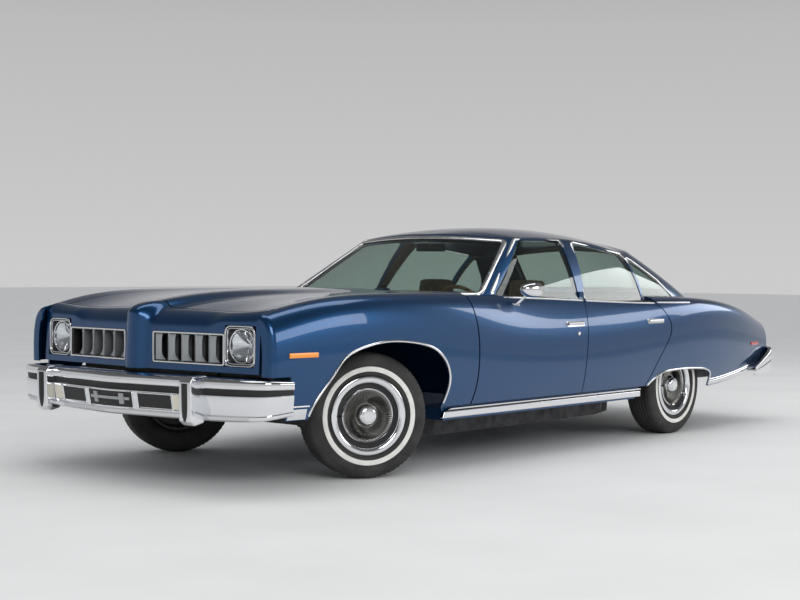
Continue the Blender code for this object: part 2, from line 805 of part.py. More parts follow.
def hinge_arms(body, hinge, inner_y, sign):
    """The two fixed arms of a door's hinges, from a post out to the pin line."""
    x, y = hinge
    for z in HINGE_LIFTS:
        low_y, high_y = sorted((sign * inner_y, sign * y))
        arm = box(
            f"hinge arm {sign} {x} {z}",
            (x - 0.008, low_y, z - ARM_HALF_HEIGHT),
            (x + 0.008, high_y, z + ARM_HALF_HEIGHT),
        )
        eye = rod(
            f"hinge eye {sign} {x} {z}",
            (x, sign * y, z - EYE_HALF_HEIGHT),
            (x, sign * y, z + EYE_HALF_HEIGHT),
            EYE_RADIUS,
            segments=10,
        )
        combine(body, "UNION", arm, eye)


def build_doors(side, sign):
    """Both doors of one side, with their pull handles."""
    doors = (
        (f"front_door_{side}", DOOR_FRONT_CUT, DOOR_MIDDLE_CUT, 8, FRONT_HINGE, 0.048),
        (f"rear_door_{side}", DOOR_MIDDLE_CUT, DOOR_REAR_CUT, 7, REAR_HINGE, -0.826),
    )
    for name, front_cut, rear_cut, columns, hinge, handle_x in doors:
        door = build_door(name, front_cut, rear_cut, columns, hinge, sign)
        z = 0.757
        y = side_y(handle_x, z)
        low = (handle_x - 0.175, min(sign * (y - 0.02), sign * (y + 0.012)), z - 0.014)
        high = (handle_x, max(sign * (y - 0.02), sign * (y + 0.012)), z + 0.014)
        combine(door, "UNION", box(f"{name} handle", low, high, "chrome"))


# Greenhouse: a belt loop and a roof-rail loop joined by gently bowed sides, and the roof between the rails

BELT_LIFT = 0.006
WINDSHIELD_BASE = Vector((0.800, 0.0, 0.936))
A_BASE_INNER = Vector((0.640, 0.700, 0.936))
A_BASE_OUTER = Vector((0.560, 0.846, 0.932))
C_BASE_OUTER = Vector((-1.500, 0.800, 0.878))
C_BASE_INNER = Vector((-1.750, 0.700, 0.905))
BACKLIGHT_BASE = Vector((-1.985, 0.0, 0.925))
WINDSHIELD_HEADER = Vector((0.215, 0.0, 1.292))
A_TOP_INNER = Vector((0.140, 0.525, 1.266))
A_TOP_OUTER = Vector((0.060, 0.628, 1.262))
C_TOP_OUTER = Vector((-1.080, 0.600, 1.190))
C_TOP_INNER = Vector((-1.290, 0.500, 1.212))
BACKLIGHT_HEADER = Vector((-1.385, 0.0, 1.262))
ROOF_CENTRE_Z = Guide((-1.385, 1.262), (-1.0, 1.312), (-0.4, 1.345), (-0.05, 1.330), (0.215, 1.292))
SIDE_BOW = 0.016
SKIRT = 0.030  # how far the greenhouse runs on below the belt, before its seat on the body is cut


def edge_curve(points, bow, count):
    """Points along a run of corners, bowed out between them by a fraction of their distance."""
    made = []
    for first, second, out, steps in zip(points, points[1:], bow, count):
        for k in range(steps):
            share = k / steps
            point = first.lerp(second, share)
            made.append(point + Vector(out) * (4 * share * (1 - share)))
    made.append(points[-1])
    return made


GREENHOUSE_STEPS = (4, 2, 7, 3, 4)


def belt_loop():
    """The left half of the greenhouse's lower edge, from windshield to backlight."""
    corners = [WINDSHIELD_BASE, A_BASE_INNER, A_BASE_OUTER, C_BASE_OUTER, C_BASE_INNER, BACKLIGHT_BASE]
    bows = [(0.035, 0.03, 0), (0.012, 0.012, 0), (0, 0.004, 0), (-0.02, 0.02, 0), (-0.03, 0.02, 0)]
    points = edge_curve(corners, bows, GREENHOUSE_STEPS)
    for point in points:
        on_cowl = smooth_step((point.x - 0.30) / 0.22)
        point.z = top_z(point.x, point.y) - 0.004
        point.z += (COWL_TOP - 0.012 - point.z) * on_cowl
    return points


def rail_loop():
    """The left half of the roof's edge, from windshield header to backlight header."""
    corners = [WINDSHIELD_HEADER, A_TOP_INNER, A_TOP_OUTER, C_TOP_OUTER, C_TOP_INNER, BACKLIGHT_HEADER]
    bows = [(0.012, 0.015, 0.006), (0.006, 0.012, 0.001), (0, 0.020, 0.030), (-0.01, 0.02, 0), (-0.015, 0.02, 0.01)]
    return edge_curve(corners, bows, GREENHOUSE_STEPS)


def roof_spine(count):
    """Points along the roof's middle that match the rail loop."""
    ends = [0.215, 0.10, 0.0, -1.10, -1.28, -1.385]
    xs = []
    for first, second, steps in zip(ends, ends[1:], GREENHOUSE_STEPS):
        xs += [first + (second - first) * k / steps for k in range(steps)]
    xs.append(ends[-1])
    return [Vector((x, 0.0, ROOF_CENTRE_Z(x))) for x in xs]


def greenhouse_rows(inset_by=0.0, side_rows=3, roof_rows=3):
    """Left-half points of the greenhouse from belt to roof middle, moved inward when asked."""
    belt, rail = belt_loop(), rail_loop()
    spine = roof_spine(len(rail))
    rows = [[low + (low - high).normalized() * SKIRT for low, high in zip(belt, rail)]]
    for j in range(side_rows + 1):
        up = j / side_rows
        row = []
        for low, high in zip(belt, rail):
            point = low.lerp(high, up)
            out = Vector((point.x + 0.45, point.y * 1.4, 0.0)).normalized()
            row.append(point + out * SIDE_BOW * 4 * up * (1 - up))
        rows.append(row)
    for j in range(1, roof_rows + 1):
        share = j / roof_rows
        row = []
        for edge, middle in zip(rail, spine):
            point = edge.lerp(middle, share)
            point.z = edge.z + (middle.z - edge.z) * (1 - (1 - share) ** 2.2)
            row.append(point)
        rows.append(row)
    if inset_by:
        centre = Vector((-0.5, 0.0, 0.9))
        for row in rows:
            for point in row:
                point -= (point - centre).normalized() * inset_by
    return rows


def body_below(name, lift, front_x, rear_x, half_width):
    """A block whose top follows the body's upper surface at a lift above it, for seating pieces on the body."""
    xs = np.linspace(front_x, rear_x, 10)
    ys = np.linspace(-half_width, half_width, 23)
    top = [[(x, y, top_z(x, y) + lift) for y in ys] for x in xs]
    bottom = [[(x, y, 0.60) for y in ys] for x in xs]
    return between(name, top, bottom)


def below_belt(name, lift, low_y, high_y):
    """A slab whose top follows the doors' belt line at a lift above it."""
    xs = np.linspace(-1.02, 0.98, 21)
    return slab(name, [(-1.02, 0.5), (0.98, 0.5)] + [(x, BELT_Z(x) + lift) for x in xs[::-1]], low_y, high_y)


def whole_loop(half):
    """A full ring from a left half that starts and ends on the middle line."""
    right = [Vector((p.x, -p.y, p.z)) for p in half[-2:0:-1]]
    return list(half) + right


def greenhouse_outward(point):
    """Outward direction on the greenhouse."""
    return point - Vector((-0.5, 0.0, 0.9))


FRONT_WINDOW = [(0.600, 0.80), (0.600, 0.938), (0.100, 1.249), (-0.305, 1.256), (-0.238, 0.90), (-0.236, 0.80)]
REAR_WINDOW = [(-0.298, 0.80), (-0.298, 0.90), (-0.432, 1.246), (-1.035, 1.178), (-0.985, 0.87), (-0.983, 0.80)]
QUARTER_WINDOW = [(-1.013, 0.882), (-1.064, 1.160), (-1.135, 1.137), (-1.300, 1.020), (-1.400, 0.905), (-1.400, 0.882)]


def windshield_frame():
    """Matrix of the windshield's mean plane: x across the car, y up the glass, z out."""
    up = (WINDSHIELD_HEADER - WINDSHIELD_BASE).normalized()
    across_car = Vector((0, 1, 0))
    out = across_car.cross(up)
    frame = Matrix((across_car, up, out)).transposed().to_4x4()
    frame.translation = WINDSHIELD_BASE
    return frame


def backlight_frame():
    """Matrix of the rear window's mean plane."""
    up = (BACKLIGHT_HEADER - BACKLIGHT_BASE).normalized()
    across_car = Vector((0, -1, 0))
    out = across_car.cross(up)
    frame = Matrix((across_car, up, out)).transposed().to_4x4()
    frame.translation = BACKLIGHT_BASE
    return frame



def surface_point(position, up):
    """A point on the greenhouse's side: a position along its loops, and a share of the way from belt to rail."""
    belt, rail = belt_loop(), rail_loop()
    i = min(int(position), len(belt) - 2)
    low = belt[i].lerp(belt[i + 1], position - i)
    high = rail[i].lerp(rail[i + 1], position - i)
    return low.lerp(high, up)


def pane_outline(frame, centre, corner, low, high):
    """Outline of the windshield or rear window in its own plane, from places on the greenhouse surface."""
    into_plane = frame.inverted()
    shares = (0.0, 0.35, 0.7, 1.0)
    half = [surface_point(centre + (corner - centre) * s, low) for s in shares]
    half += [surface_point(centre + (corner - centre) * s, high) for s in shares[::-1]]
    half = [into_plane @ point for point in half]
    side = math.copysign(1, half[2].x)
    right = [(-point.x, point.y) for point in half[::-1]]
    left = [(point.x, point.y) for point in half]
    outline = left[1:-1] + right[1:-1]
    return rounded(outline, 0.03, 1) if side else outline


def tilted_slab(name, outline, frame, low, high):
    """A slab cut across a tilted plane, such as the windshield's."""
    made = slab(name, outline, low, high, "XY")
    made.data.transform(frame)
    return made


A_CORNER = GREENHOUSE_STEPS[0] * 0.94
C_CORNER = sum(GREENHOUSE_STEPS[:4]) + GREENHOUSE_STEPS[4] * 0.10
LOOP_END = sum(GREENHOUSE_STEPS)


def windshield_outline():
    """Outline of the windshield opening."""
    return pane_outline(windshield_frame(), 0.0, A_CORNER, 0.06, 0.93)


def backlight_outline():
    """Outline of the rear window opening."""
    return pane_outline(backlight_frame(), LOOP_END, C_CORNER, 0.10, 0.93)


def build_roof():
    """Roof, pillars and window frames as one shell, and the posts that stand between the doors."""
    rows = [whole_loop(row) for row in greenhouse_rows()]
    roof = sheet("roof", rows, PILLAR_THICKNESS, greenhouse_outward, loop=True)
    combine(
        roof,
        "DIFFERENCE",
        tilted_slab("windshield opening", windshield_outline(), windshield_frame(), -0.3, 0.2),
        tilted_slab("backlight opening", backlight_outline(), backlight_frame(), -0.3, 0.2),
        slab("front window opening", rounded(FRONT_WINDOW, 0.022, 2), -1.0, 1.0),
        slab("rear window opening", rounded(REAR_WINDOW, 0.022, 2), -1.0, 1.0),
        slab("quarter window opening", rounded(QUARTER_WINDOW, 0.015, 2), -1.0, 1.0),
        body_below("body under roof", 0.0012, -1.0, -2.1, 0.88),
        below_belt("left doors under roof", 0.005, 0.778, 1.0),
        below_belt("right doors under roof", 0.005, -1.0, -0.778),
        box("cowl under windshield", (0.30, -0.95, 0.60), (1.0, 0.95, COWL_TOP + FIT)),
    )
    baked(roof)
    for side, sign in (("left", 1), ("right", -1)):
        foot = [(-0.31, SILL_TOP + FIT), (-0.14, SILL_TOP + FIT), (-0.235, 0.915), (-0.310, 0.915)]
        post = slab(f"post {side}", foot, *sorted((sign * 0.735, sign * 0.772)))
        low_y, high_y = sorted((sign * 0.735, sign * 0.835))
        top = box(f"post top {side}", (-0.290, low_y, 0.905), (-0.246, high_y, 0.945))
        combine(roof, "UNION", post, top)
        hinge_arms(roof, REAR_HINGE, 0.76, sign)


def glass_sheet(name):
    """The greenhouse's glass surface as one thin shell, to be cut to each pane."""
    rows = [whole_loop(row) for row in greenhouse_rows(GLASS_INSET)]
    return sheet(name, rows, GLASS_THICKNESS, greenhouse_outward, "glass", loop=True)


def build_pane(name, cutter):
    """One pane: the part of the glass surface inside a cutter."""
    pane = glass_sheet(name)
    combine(pane, "INTERSECT", cutter)
    if "door" in name:
        combine(pane, "DIFFERENCE", below_belt(f"{name} seat", 0.0006, -1.0, 1.0))
    if "quarter" in name:
        combine(pane, "DIFFERENCE", body_below(f"{name} seat", 0.0012, -1.0, -2.1, 0.88))
    return baked(pane)


def build_glass():
    """All eight panes."""
    build_pane(
        "windshield",
        tilted_slab("windshield trim line", inset(windshield_outline(), GLASS_GAP), windshield_frame(), -0.3, 0.2),
    )
    build_pane(
        "rear_window",
        tilted_slab("backlight trim line", inset(backlight_outline(), GLASS_GAP), backlight_frame(), -0.3, 0.2),
    )
    windows = (
        ("front_door_glass", FRONT_WINDOW, DOOR_GLASS_GAP, 0.022),
        ("rear_door_glass", REAR_WINDOW, DOOR_GLASS_GAP, 0.022),
        ("quarter_glass", QUARTER_WINDOW, GLASS_GAP, 0.015),
    )
    for side, sign in (("left", 1), ("right", -1)):
        for name, outline, gap, corner in windows:
            cutter = slab(f"{name} line {side}", inset(rounded(outline, corner, 2), gap), *sorted((sign * 0.4, sign * 1.0)))
            build_pane(f"{name}_{side}", cutter)


# Rear of the body


def quarter_rows():
    """The left rear quarter panel: side, haunch and top in to the trunk lid."""
    columns, rows_up = 9, 9
    rows = []
    for j in range(rows_up + 1):
        up = j / rows_up
        row = []
        for i in range(columns + 1):
            x = -1.2
            share = 0.0
            for _ in range(4):
                low = share_at_z(x, QUARTER_LOW_Z(x))
                inner_y = TRUNK_HALF_WIDTH + SHUT_GAP
                high = share_at_y(x, inner_y)
                share = low + (high - low) * up
                z = section_point(x, share)[1]
                front = DOOR_REAR_CUT(min(z, 0.872)) - SHUT_GAP
                x = front + (TAIL_X - front) * i / columns
            y, z = section_point(x, share)
            row.append((x, y, z))
        rows.append(row)
    return rows


def build_quarter(side, sign):
    """One rear quarter panel with its low wheel opening."""
    quarter = sheet(f"quarter_panel_{side}", to_side(quarter_rows(), sign), SKIN, away_from_spine)
    arch = slab(f"rear arch {side}", rounded(REAR_ARCH, 0.04), *sorted((sign * 0.70, sign * 1.1)))
    combine(quarter, "DIFFERENCE", arch)


def build_rear_deck():
    """The fixed panel between the rear window's lower edge and the trunk lid."""
    half = TRUNK_HALF_WIDTH + SHUT_GAP - 0.0006
    rows = [
        [(x, y, top_z(x, y)) for y in np.linspace(-half, half, 9)]
        for x in np.linspace(-1.70, TRUNK_FRONT_X + LID_FRONT_GAP, 4)
    ]
    sheet("rear_deck", rows, SKIN, upward)


def build_trunk_lid():
    """The trunk lid, which turns down over the tail."""
    xs = list(np.linspace(TRUNK_FRONT_X, TRUNK_REAR_X + 0.05, 7))
    ys = np.linspace(-TRUNK_HALF_WIDTH, TRUNK_HALF_WIDTH, 11)
    rows = [[(x, y, top_z(x, y)) for y in ys] for x in xs]
    for turn in (45, 90):
        angle = math.radians(turn)
        row = []
        for y in ys:
            z = top_z(TRUNK_REAR_X + 0.05, y)
            row.append((TRUNK_REAR_X + 0.05 - 0.05 * math.sin(angle), y, z - 0.05 * (1 - math.cos(angle))))
        rows.append(row)
    rows.append([(TRUNK_REAR_X, y, 0.665) for y in ys])
    lid = sheet("trunk_lid", rows, 0.02, lambda point: Vector((-0.5, 0, 1)))
    x, z = TRUNK_HINGE
    neck = [(x, z), (-1.945, 0.655), (-2.085, 0.690), (-2.110, 0.868)]
    for sign in (1, -1):
        y = sign * 0.485
        arm = beam(f"lid arm {sign}", [(px, y, pz) for px, pz in neck], 0.012, 0.020)
        eye = rod(f"lid eye {sign}", (x, y - 0.006, z), (x, y + 0.006, z), 0.012, segments=8)
        combine(lid, "UNION", arm, eye)


def build_rear_panel():
    """The fixed tail panel below the trunk lid."""
    half = 0.6977
    panel = box("rear_panel", (TAIL_X, -half, 0.39), (TAIL_X + 0.025, half, 0.655), "paint")
    return panel


def build_tail_lamp(side, sign):
    """One tail lamp at the corner of the tail."""
    outline = [(0.698, 0.552), (0.830, 0.552), (0.835, 0.66), (0.775, 0.720), (0.698, 0.730)]
    points = [(sign * y, z) for y, z in rounded(outline, 0.015)]
    slab(f"tail_lamp_{side}", points, TAIL_X - 0.02, TAIL_X + 0.03, "YZ", "tail")


# Bumpers


def swept(name, plan, profile, thickness, look="chrome"):
    """A bumper bar: a profile of (out, up) points carried along a plan line, then made solid."""
    rows = []
    for i, (x, y, low, high, depth) in enumerate(plan):
        before, after = plan[max(i - 1, 0)], plan[min(i + 1, len(plan) - 1)]
        along = Vector((after[0] - before[0], after[1] - before[1])).normalized()
        out = Vector((along.y, -along.x))
        rows.append(
            [(x + out.x * d * depth, y + out.y * d * depth, low + (high - low) * up) for d, up in profile]
        )
    probe = Vector((1 if plan[len(plan) // 2][0] > 0 else -1, 0, 0.2))
    return sheet(name, rows, thickness, lambda point: probe, look)


BUMPER_PROFILE = [
    (-0.100, 1.00),
    (-0.015, 0.97),
    (0.0, 0.86),
    (0.0, 0.64),
    (-0.008, 0.50),
    (-0.030, 0.04),
    (-0.070, 0.0),
]


def mirrored_plan(half):
    """A plan line over both sides from its left half, which starts on the middle."""
    right = [(x, -y, *rest) for x, y, *rest in half[:0:-1]]
    return right + half


def build_front_bumper():
    """The bright front bumper with its two guards."""
    low, high = FRONT_BUMPER_LOW, FRONT_BUMPER_HIGH
    half = [
        (HALF_LENGTH, 0.0, low, high, 1.0),
        (2.672, 0.18, low, high, 1.0),
        (2.650, 0.36, low, high, 1.0),
        (2.622, 0.54, low, high, 1.0),
        (2.590, 0.70, low, high, 1.0),
        (2.555, 0.84, low + 0.004, high, 0.9),
        (2.510, 0.925, low + 0.01, high - 0.002, 0.7),
        (2.455, 0.962, low + 0.018, high - 0.004, 0.6),
        (2.356, 0.980, low + 0.030, high - 0.010, 0.5),
    ]
    plan = mirrored_plan(half)
    bumper = swept("front_bumper", plan, BUMPER_PROFILE, 0.007)
    for sign in (1, -1):
        y = sign * 0.56
        shape = [(2.580, 0.335), (2.640, 0.322), (2.668, 0.345), (2.672, 0.53), (2.655, 0.556), (2.56, 0.560), (2.56, 0.54)]
        guard = slab(f"front guard {sign}", rounded(shape, 0.012, 1), y - 0.042, y + 0.042, "XZ")
        combine(bumper, "UNION", guard)
    for sign in (1, -1):
        bracket = box(f"front bracket {sign}", (2.33 + FIT, sign * 0.42 - 0.03, 0.40), (2.63, sign * 0.42 + 0.03, 0.46))
        combine(bumper, "UNION", bracket)


def build_rear_bumper():
    """The bright rear bumper, which tapers round the tail's corners."""
    low, high = 0.350, 0.540
    half = [
        (-HALF_LENGTH, 0.0, low, high, 1.0),
        (-HALF_LENGTH + 0.003, 0.30, low, high, 1.0),
        (-HALF_LENGTH + 0.010, 0.58, low, high, 0.7),
        (-HALF_LENGTH + 0.024, 0.78, low, high, 0.5),
        (-2.634, 0.895, low, high - 0.002, 0.4),
        (-2.56, 0.948, low - 0.002, high - 0.02, 0.4),
        (-2.42, 0.966, low - 0.004, high - 0.08, 0.3),
        (-2.27, 0.974, low - 0.004, high - 0.14, 0.3),
    ]
    plan = mirrored_plan(half)
    profile = [
        (-0.065, 1.00),
        (-0.012, 0.97),
        (0.0, 0.88),
        (0.0, 0.58),
        (-0.022, 0.04),
        (-0.050, 0.0),
    ]
    bumper = swept("rear_bumper", plan[::-1], profile, 0.007)
    for sign in (1, -1):
        bracket = box(f"rear bracket {sign}", (-2.67, sign * 0.50 - 0.03, 0.355), (-2.44 - FIT, sign * 0.50 + 0.03, 0.38))
        combine(bumper, "UNION", bracket)


# Floor, firewall and rear shelf

FLOOR_TOP = 0.262
FLOOR_SHEET = 0.016
CABIN_HALF_WIDTH = 0.765


def sheet_outline(line, thickness):
    """A closed outline that follows an open line and comes back below it."""
    below = []
    for i, point in enumerate(line):
        before = Vector(line[max(i - 1, 0)])
        after = Vector(line[min(i + 1, len(line) - 1)])
        along = (after - before).normalized()
        below.append((point[0] + along.y * thickness, point[1] - along.x * thickness))
    return list(line) + below[::-1]


def build_floor_pan():
    """Floor from the toe board to the tail: footwells, kick-up over the rear axle and trunk floor, with sills."""
    line = [
        (TAIL_X + 0.025 + FIT, 0.41),
        (-1.86, 0.41),
        (-1.70, 0.47),
        (-1.52, 0.545),
        (-1.16, 0.545),
        (-1.00, 0.43),
        (-0.845, FLOOR_TOP),
        (0.70, FLOOR_TOP),
        (0.9345, 0.40),
    ]
    floor = slab("floor_pan", sheet_outline(line, FLOOR_SHEET), -CABIN_HALF_WIDTH, CABIN_HALF_WIDTH)
    for sign in (1, -1):
        low_y, high_y = sorted((sign * 0.745, sign * 0.915))
        sill = slab(f"sill {sign}", [(1.165, SILL_BOTTOM), (1.185, SILL_TOP), (-0.80, SILL_TOP), (-0.755, SILL_BOTTOM)], low_y, high_y)
        wheel_room = rod(f"rear wheel room {sign}", (REAR_AXLE_X, sign * 0.61, HUB_Z), (REAR_AXLE_X, sign * 0.9, HUB_Z), 0.375, segments=20)
        combine(floor, "UNION", sill)
        combine(floor, "DIFFERENCE", wheel_room)
        low_y, high_y = sorted((sign * 0.730, sign * 0.95))
        post_room = box(f"hinge post room {sign}", (0.858, low_y, SILL_TOP), (0.98, high_y, 0.5))
        combine(floor, "DIFFERENCE", post_room)
    tunnel = slab(
        "tunnel",
        [(-0.135, 0.255), (-0.095, 0.400), (0.095, 0.400), (0.135, 0.255)],
        -0.93,
        0.934,
        "YZ",
    )
    hollow = slab(
        "tunnel hollow",
        [(-0.118, 0.20), (-0.118, 0.255), (-0.083, 0.388), (0.083, 0.388), (0.118, 0.255), (0.118, 0.20)],
        -1.1,
        1.0,
        "YZ",
    )
    combine(floor, "UNION", tunnel)
    combine(floor, "DIFFERENCE", hollow)
    for sign in (1, -1):
        shell = rod(f"wheelhouse {sign}", (REAR_AXLE_X, sign * 0.595, HUB_Z), (REAR_AXLE_X, sign * 0.93, HUB_Z), 0.395, segments=20)
        room = rod(f"wheelhouse room {sign}", (REAR_AXLE_X, sign * 0.61, HUB_Z), (REAR_AXLE_X, sign * 0.95, HUB_Z), 0.380, segments=20)
        below = box(f"wheelhouse foot {sign}", (-2.0, min(sign * 0.5, sign), -0.2), (-0.6, max(sign * 0.5, sign), 0.44))
        combine(shell, "DIFFERENCE", room, below)
        baked(shell)
        combine(floor, "UNION", shell)


def build_firewall():
    """Firewall with the cowl box on top of it, below the windshield."""
    outline = [
        (0.935, 0.40),
        (0.955, 0.40),
        (0.955, 0.83),
        (COWL_FRONT_X, 0.86),
        (COWL_FRONT_X, COWL_TOP),
        (0.612, COWL_TOP),
        (0.612, 0.915),
        (COWL_FRONT_X - 0.020, 0.890),
        (0.935, 0.83),
    ]
    firewall = slab("firewall", outline, -COWL_HALF_WIDTH, COWL_HALF_WIDTH, look="paint")
    x, z = HOOD_HINGE
    for sign in (1, -1):
        low_y, high_y = sorted((sign * 0.735, sign * COWL_HALF_WIDTH))
        post = box(f"hinge post {sign}", (0.865, low_y, SILL_TOP + FIT), (0.94, high_y, 0.92), "paint")
        low_y, high_y = sorted((sign * (0.700 + FIT), sign * 0.712))
        middle_y = (low_y + high_y) / 2
        arm_path = [(x, middle_y, z), (COWL_FRONT_X, middle_y, z - 0.070)]
        arm = beam(f"hood arm {sign}", arm_path, high_y - low_y, 0.020, "paint")
        eye = rod(f"hood hinge eye {sign}", (x, low_y, z), (x, high_y, z), 0.012, segments=8)
        reach = inner_reach(1.0, 0.66)
        plan = [(0.94, 0.75), (1.02, 0.75), (1.02, reach), (0.953, reach), (0.953, 0.80), (0.94, 0.80)]
        bracket = slab(f"fender bracket {sign}", [(bx, sign * by) for bx, by in plan], 0.64, 0.68, "XY", "paint")
        combine(firewall, "UNION", post, arm, eye, bracket)
        hinge_arms(firewall, FRONT_HINGE, 0.755, sign)


def build_rear_shelf():
    """Bulkhead behind the rear seat and the parcel shelf, out to the front of the trunk opening."""
    low, high = 0.854, 0.864
    shelf = box("rear_shelf", (-1.75, -0.66, low), (-1.425, 0.66, high), "trim")
    behind = box("shelf behind", (-2.00, -0.51, low), (-1.74, 0.51, high), "trim")
    bulkhead = box("bulkhead", (-1.437, -0.585, 0.545 + FIT), (-1.425, 0.585, 0.860), "trim")
    combine(shelf, "UNION", behind, bulkhead)
    x, z = TRUNK_HINGE
    for sign in (1, -1):
        low_y, high_y = sorted((sign * (0.491 + FIT), sign * 0.503))
        plate = box(f"lid plate {sign}", (x - 0.012, low_y, z), (x + 0.012, high_y, 0.860), "trim")
        eye = rod(f"lid hinge eye {sign}", (x, low_y, z), (x, high_y, z), 0.012, segments=8)
        low_y, high_y = sorted((sign * 0.61, sign * inner_reach(-1.61, 0.66)))
        strut = box(f"quarter strut {sign}", (-1.64, low_y, 0.645), (-1.58, high_y, 0.690), "trim")
        low_y, high_y = sorted((sign * 0.61, sign * 0.655))
        hanger = box(f"quarter hanger {sign}", (-1.64, low_y, 0.645), (-1.58, high_y, 0.858), "trim")
        combine(shelf, "UNION", plate, eye, strut, hanger)


# Chassis


def beam(name, path, width, height, look="chassis"):
    """A box-section beam carried along a path of points."""
    rows = []
    for i, point in enumerate(path):
        point = Vector(point)
        before, after = Vector(path[max(i - 1, 0)]), Vector(path[min(i + 1, len(path) - 1)])
        along = (after - before).normalized()
        side = along.cross(Vector((0, 0, 1))).normalized() * (width / 2)
        up = side.cross(along).normalized() * (height / 2)
        rows.append([point - side - up, point + side - up, point + side + up, point - side + up])
    shape = grid_shape(rows, loop=True)
    shape.verts.ensure_lookup_table()
    for ring in (rows[0], rows[-1]):
        corners = [min(shape.verts, key=lambda v: (v.co - p).length) for p in ring]
        shape.faces.new(corners)
    return from_bmesh(name, shape, look)


BALL_JOINT_REACH = 0.100
RAIL_WIDTH = 0.075
RAIL_HEIGHT = 0.085


def build_frame():
    """Perimeter frame: two rails with a kick-up over each axle, cross members and the front suspension arms."""
    path = [
        (2.33, 0.42, 0.43),
        (1.95, 0.42, 0.43),
        (1.35, 0.44, 0.40),
        (1.15, 0.56, 0.28),
        (0.98, 0.665, 0.203),
        (-0.62, 0.665, 0.203),
        (-0.90, 0.57, 0.203),
        (-1.02, 0.50, 0.315),
        (-1.20, 0.49, 0.485),
        (-1.48, 0.49, 0.485),
        (-1.76, 0.50, 0.350),
        (-2.44, 0.50, 0.350),
    ]
    frame = beam("frame", path, RAIL_WIDTH, RAIL_HEIGHT)
    baked(frame)
    right = beam("right rail", [(x, -y, z) for x, y, z in path], RAIL_WIDTH, RAIL_HEIGHT)
    members = [
        box("radiator member", (2.22, -0.44, 0.40), (2.28, 0.44, 0.44)),
        box("gearbox member", (0.12, -0.66, 0.175), (0.20, 0.66, 0.215)),
        box("gearbox mount", (0.14, -0.05, 0.21), (0.19, 0.05, 0.24)),
        box("rear member", (-1.60, -0.50, 0.42), (-1.54, 0.50, 0.46)),
        box("tail member", (-2.42, -0.50, 0.33), (-2.37, 0.50, 0.37)),
        box("front member", (1.53, -0.45, 0.24), (1.70, 0.45, 0.33)),
    ]
    combine(frame, "UNION", right, *members)
    low_joint, high_joint = HUB_Z - BALL_JOINT_REACH, HUB_Z + BALL_JOINT_REACH
    for sign in (1, -1):
        y = sign * KINGPIN_Y
        for x in (1.50, 1.72):
            combine(
                frame,
                "UNION",
                rod(f"lower arm {sign} {x}", (x, sign * 0.38, 0.250), (FRONT_AXLE_X, y, low_joint - 0.024), 0.015, segments=6),
                rod(f"upper arm {sign} {x}", (x, sign * 0.42, 0.44), (FRONT_AXLE_X, y, high_joint + 0.024), 0.012, segments=6),
            )
        post = rod(f"arm tower {sign}", (FRONT_AXLE_X, sign * 0.41, 0.32), (FRONT_AXLE_X, sign * 0.41, 0.47), 0.055, segments=10)
        low_boss = rod(f"low boss {sign}", (FRONT_AXLE_X, y, low_joint - 0.040), (FRONT_AXLE_X, y, low_joint - FIT), 0.017, segments=8)
        high_boss = rod(f"high boss {sign}", (FRONT_AXLE_X, y, high_joint + FIT), (FRONT_AXLE_X, y, high_joint + 0.040), 0.017, segments=8)
        mount = box(f"engine mount {sign}", (1.55, sign * 0.2 - 0.04, 0.32), (1.66, sign * 0.2 + 0.04, 0.36 - FIT))
        combine(frame, "UNION", post, low_boss, high_boss, mount)


def build_engine():
    """The engine and gearbox as plain blocks at their real size and place."""
    engine = box("engine", (1.18, -0.26, 0.36), (1.98, 0.26, 0.80), "iron")
    pan = box("oil pan", (1.20, -0.13, 0.22), (1.51, 0.13, 0.38), "iron")
    bell = rod("bell housing", (1.22, 0, 0.42), (1.00, 0, 0.34), 0.17, "iron", 12, 0.09)
    gearbox = rod("gearbox", (1.03, 0, 0.305), (0.22, 0, 0.300), 0.072, "iron", 10, 0.048)
    tail = box("gearbox tail", (0.16, -0.04, 0.24 + FIT), (0.25, 0.04, 0.335), "iron")
    air_cleaner = rod("air cleaner", (1.60, 0, 0.78), (1.60, 0, 0.855), 0.17, "iron", 16)
    combine(engine, "UNION", pan, bell, gearbox, tail, air_cleaner)


def build_radiator():
    """Radiator core in its support panel behind the grilles."""
    core = box("radiator", (2.23, -0.36, 0.44 + FIT), (2.28, 0.36, 0.80), "chassis")
    wings = box("radiator support", (2.235, -0.72, 0.50), (2.265, 0.72, 0.80), "chassis")
    combine(core, "UNION", wings)
    for sign in (1, -1):
        low_y, high_y = sorted((sign * 0.70, sign * inner_reach(2.28, 0.70)))
        combine(core, "UNION", box(f"fender stay {sign}", (2.235, low_y, 0.68), (2.285, high_y, 0.72)))
        back_x = nose_front_x(0.82) - 0.0158
        low_y, high_y = sorted((sign * 0.795, sign * 0.820))
        combine(core, "UNION", box(f"nose stay {sign}", (2.25, low_y, 0.685), (back_x, high_y, 0.715)))


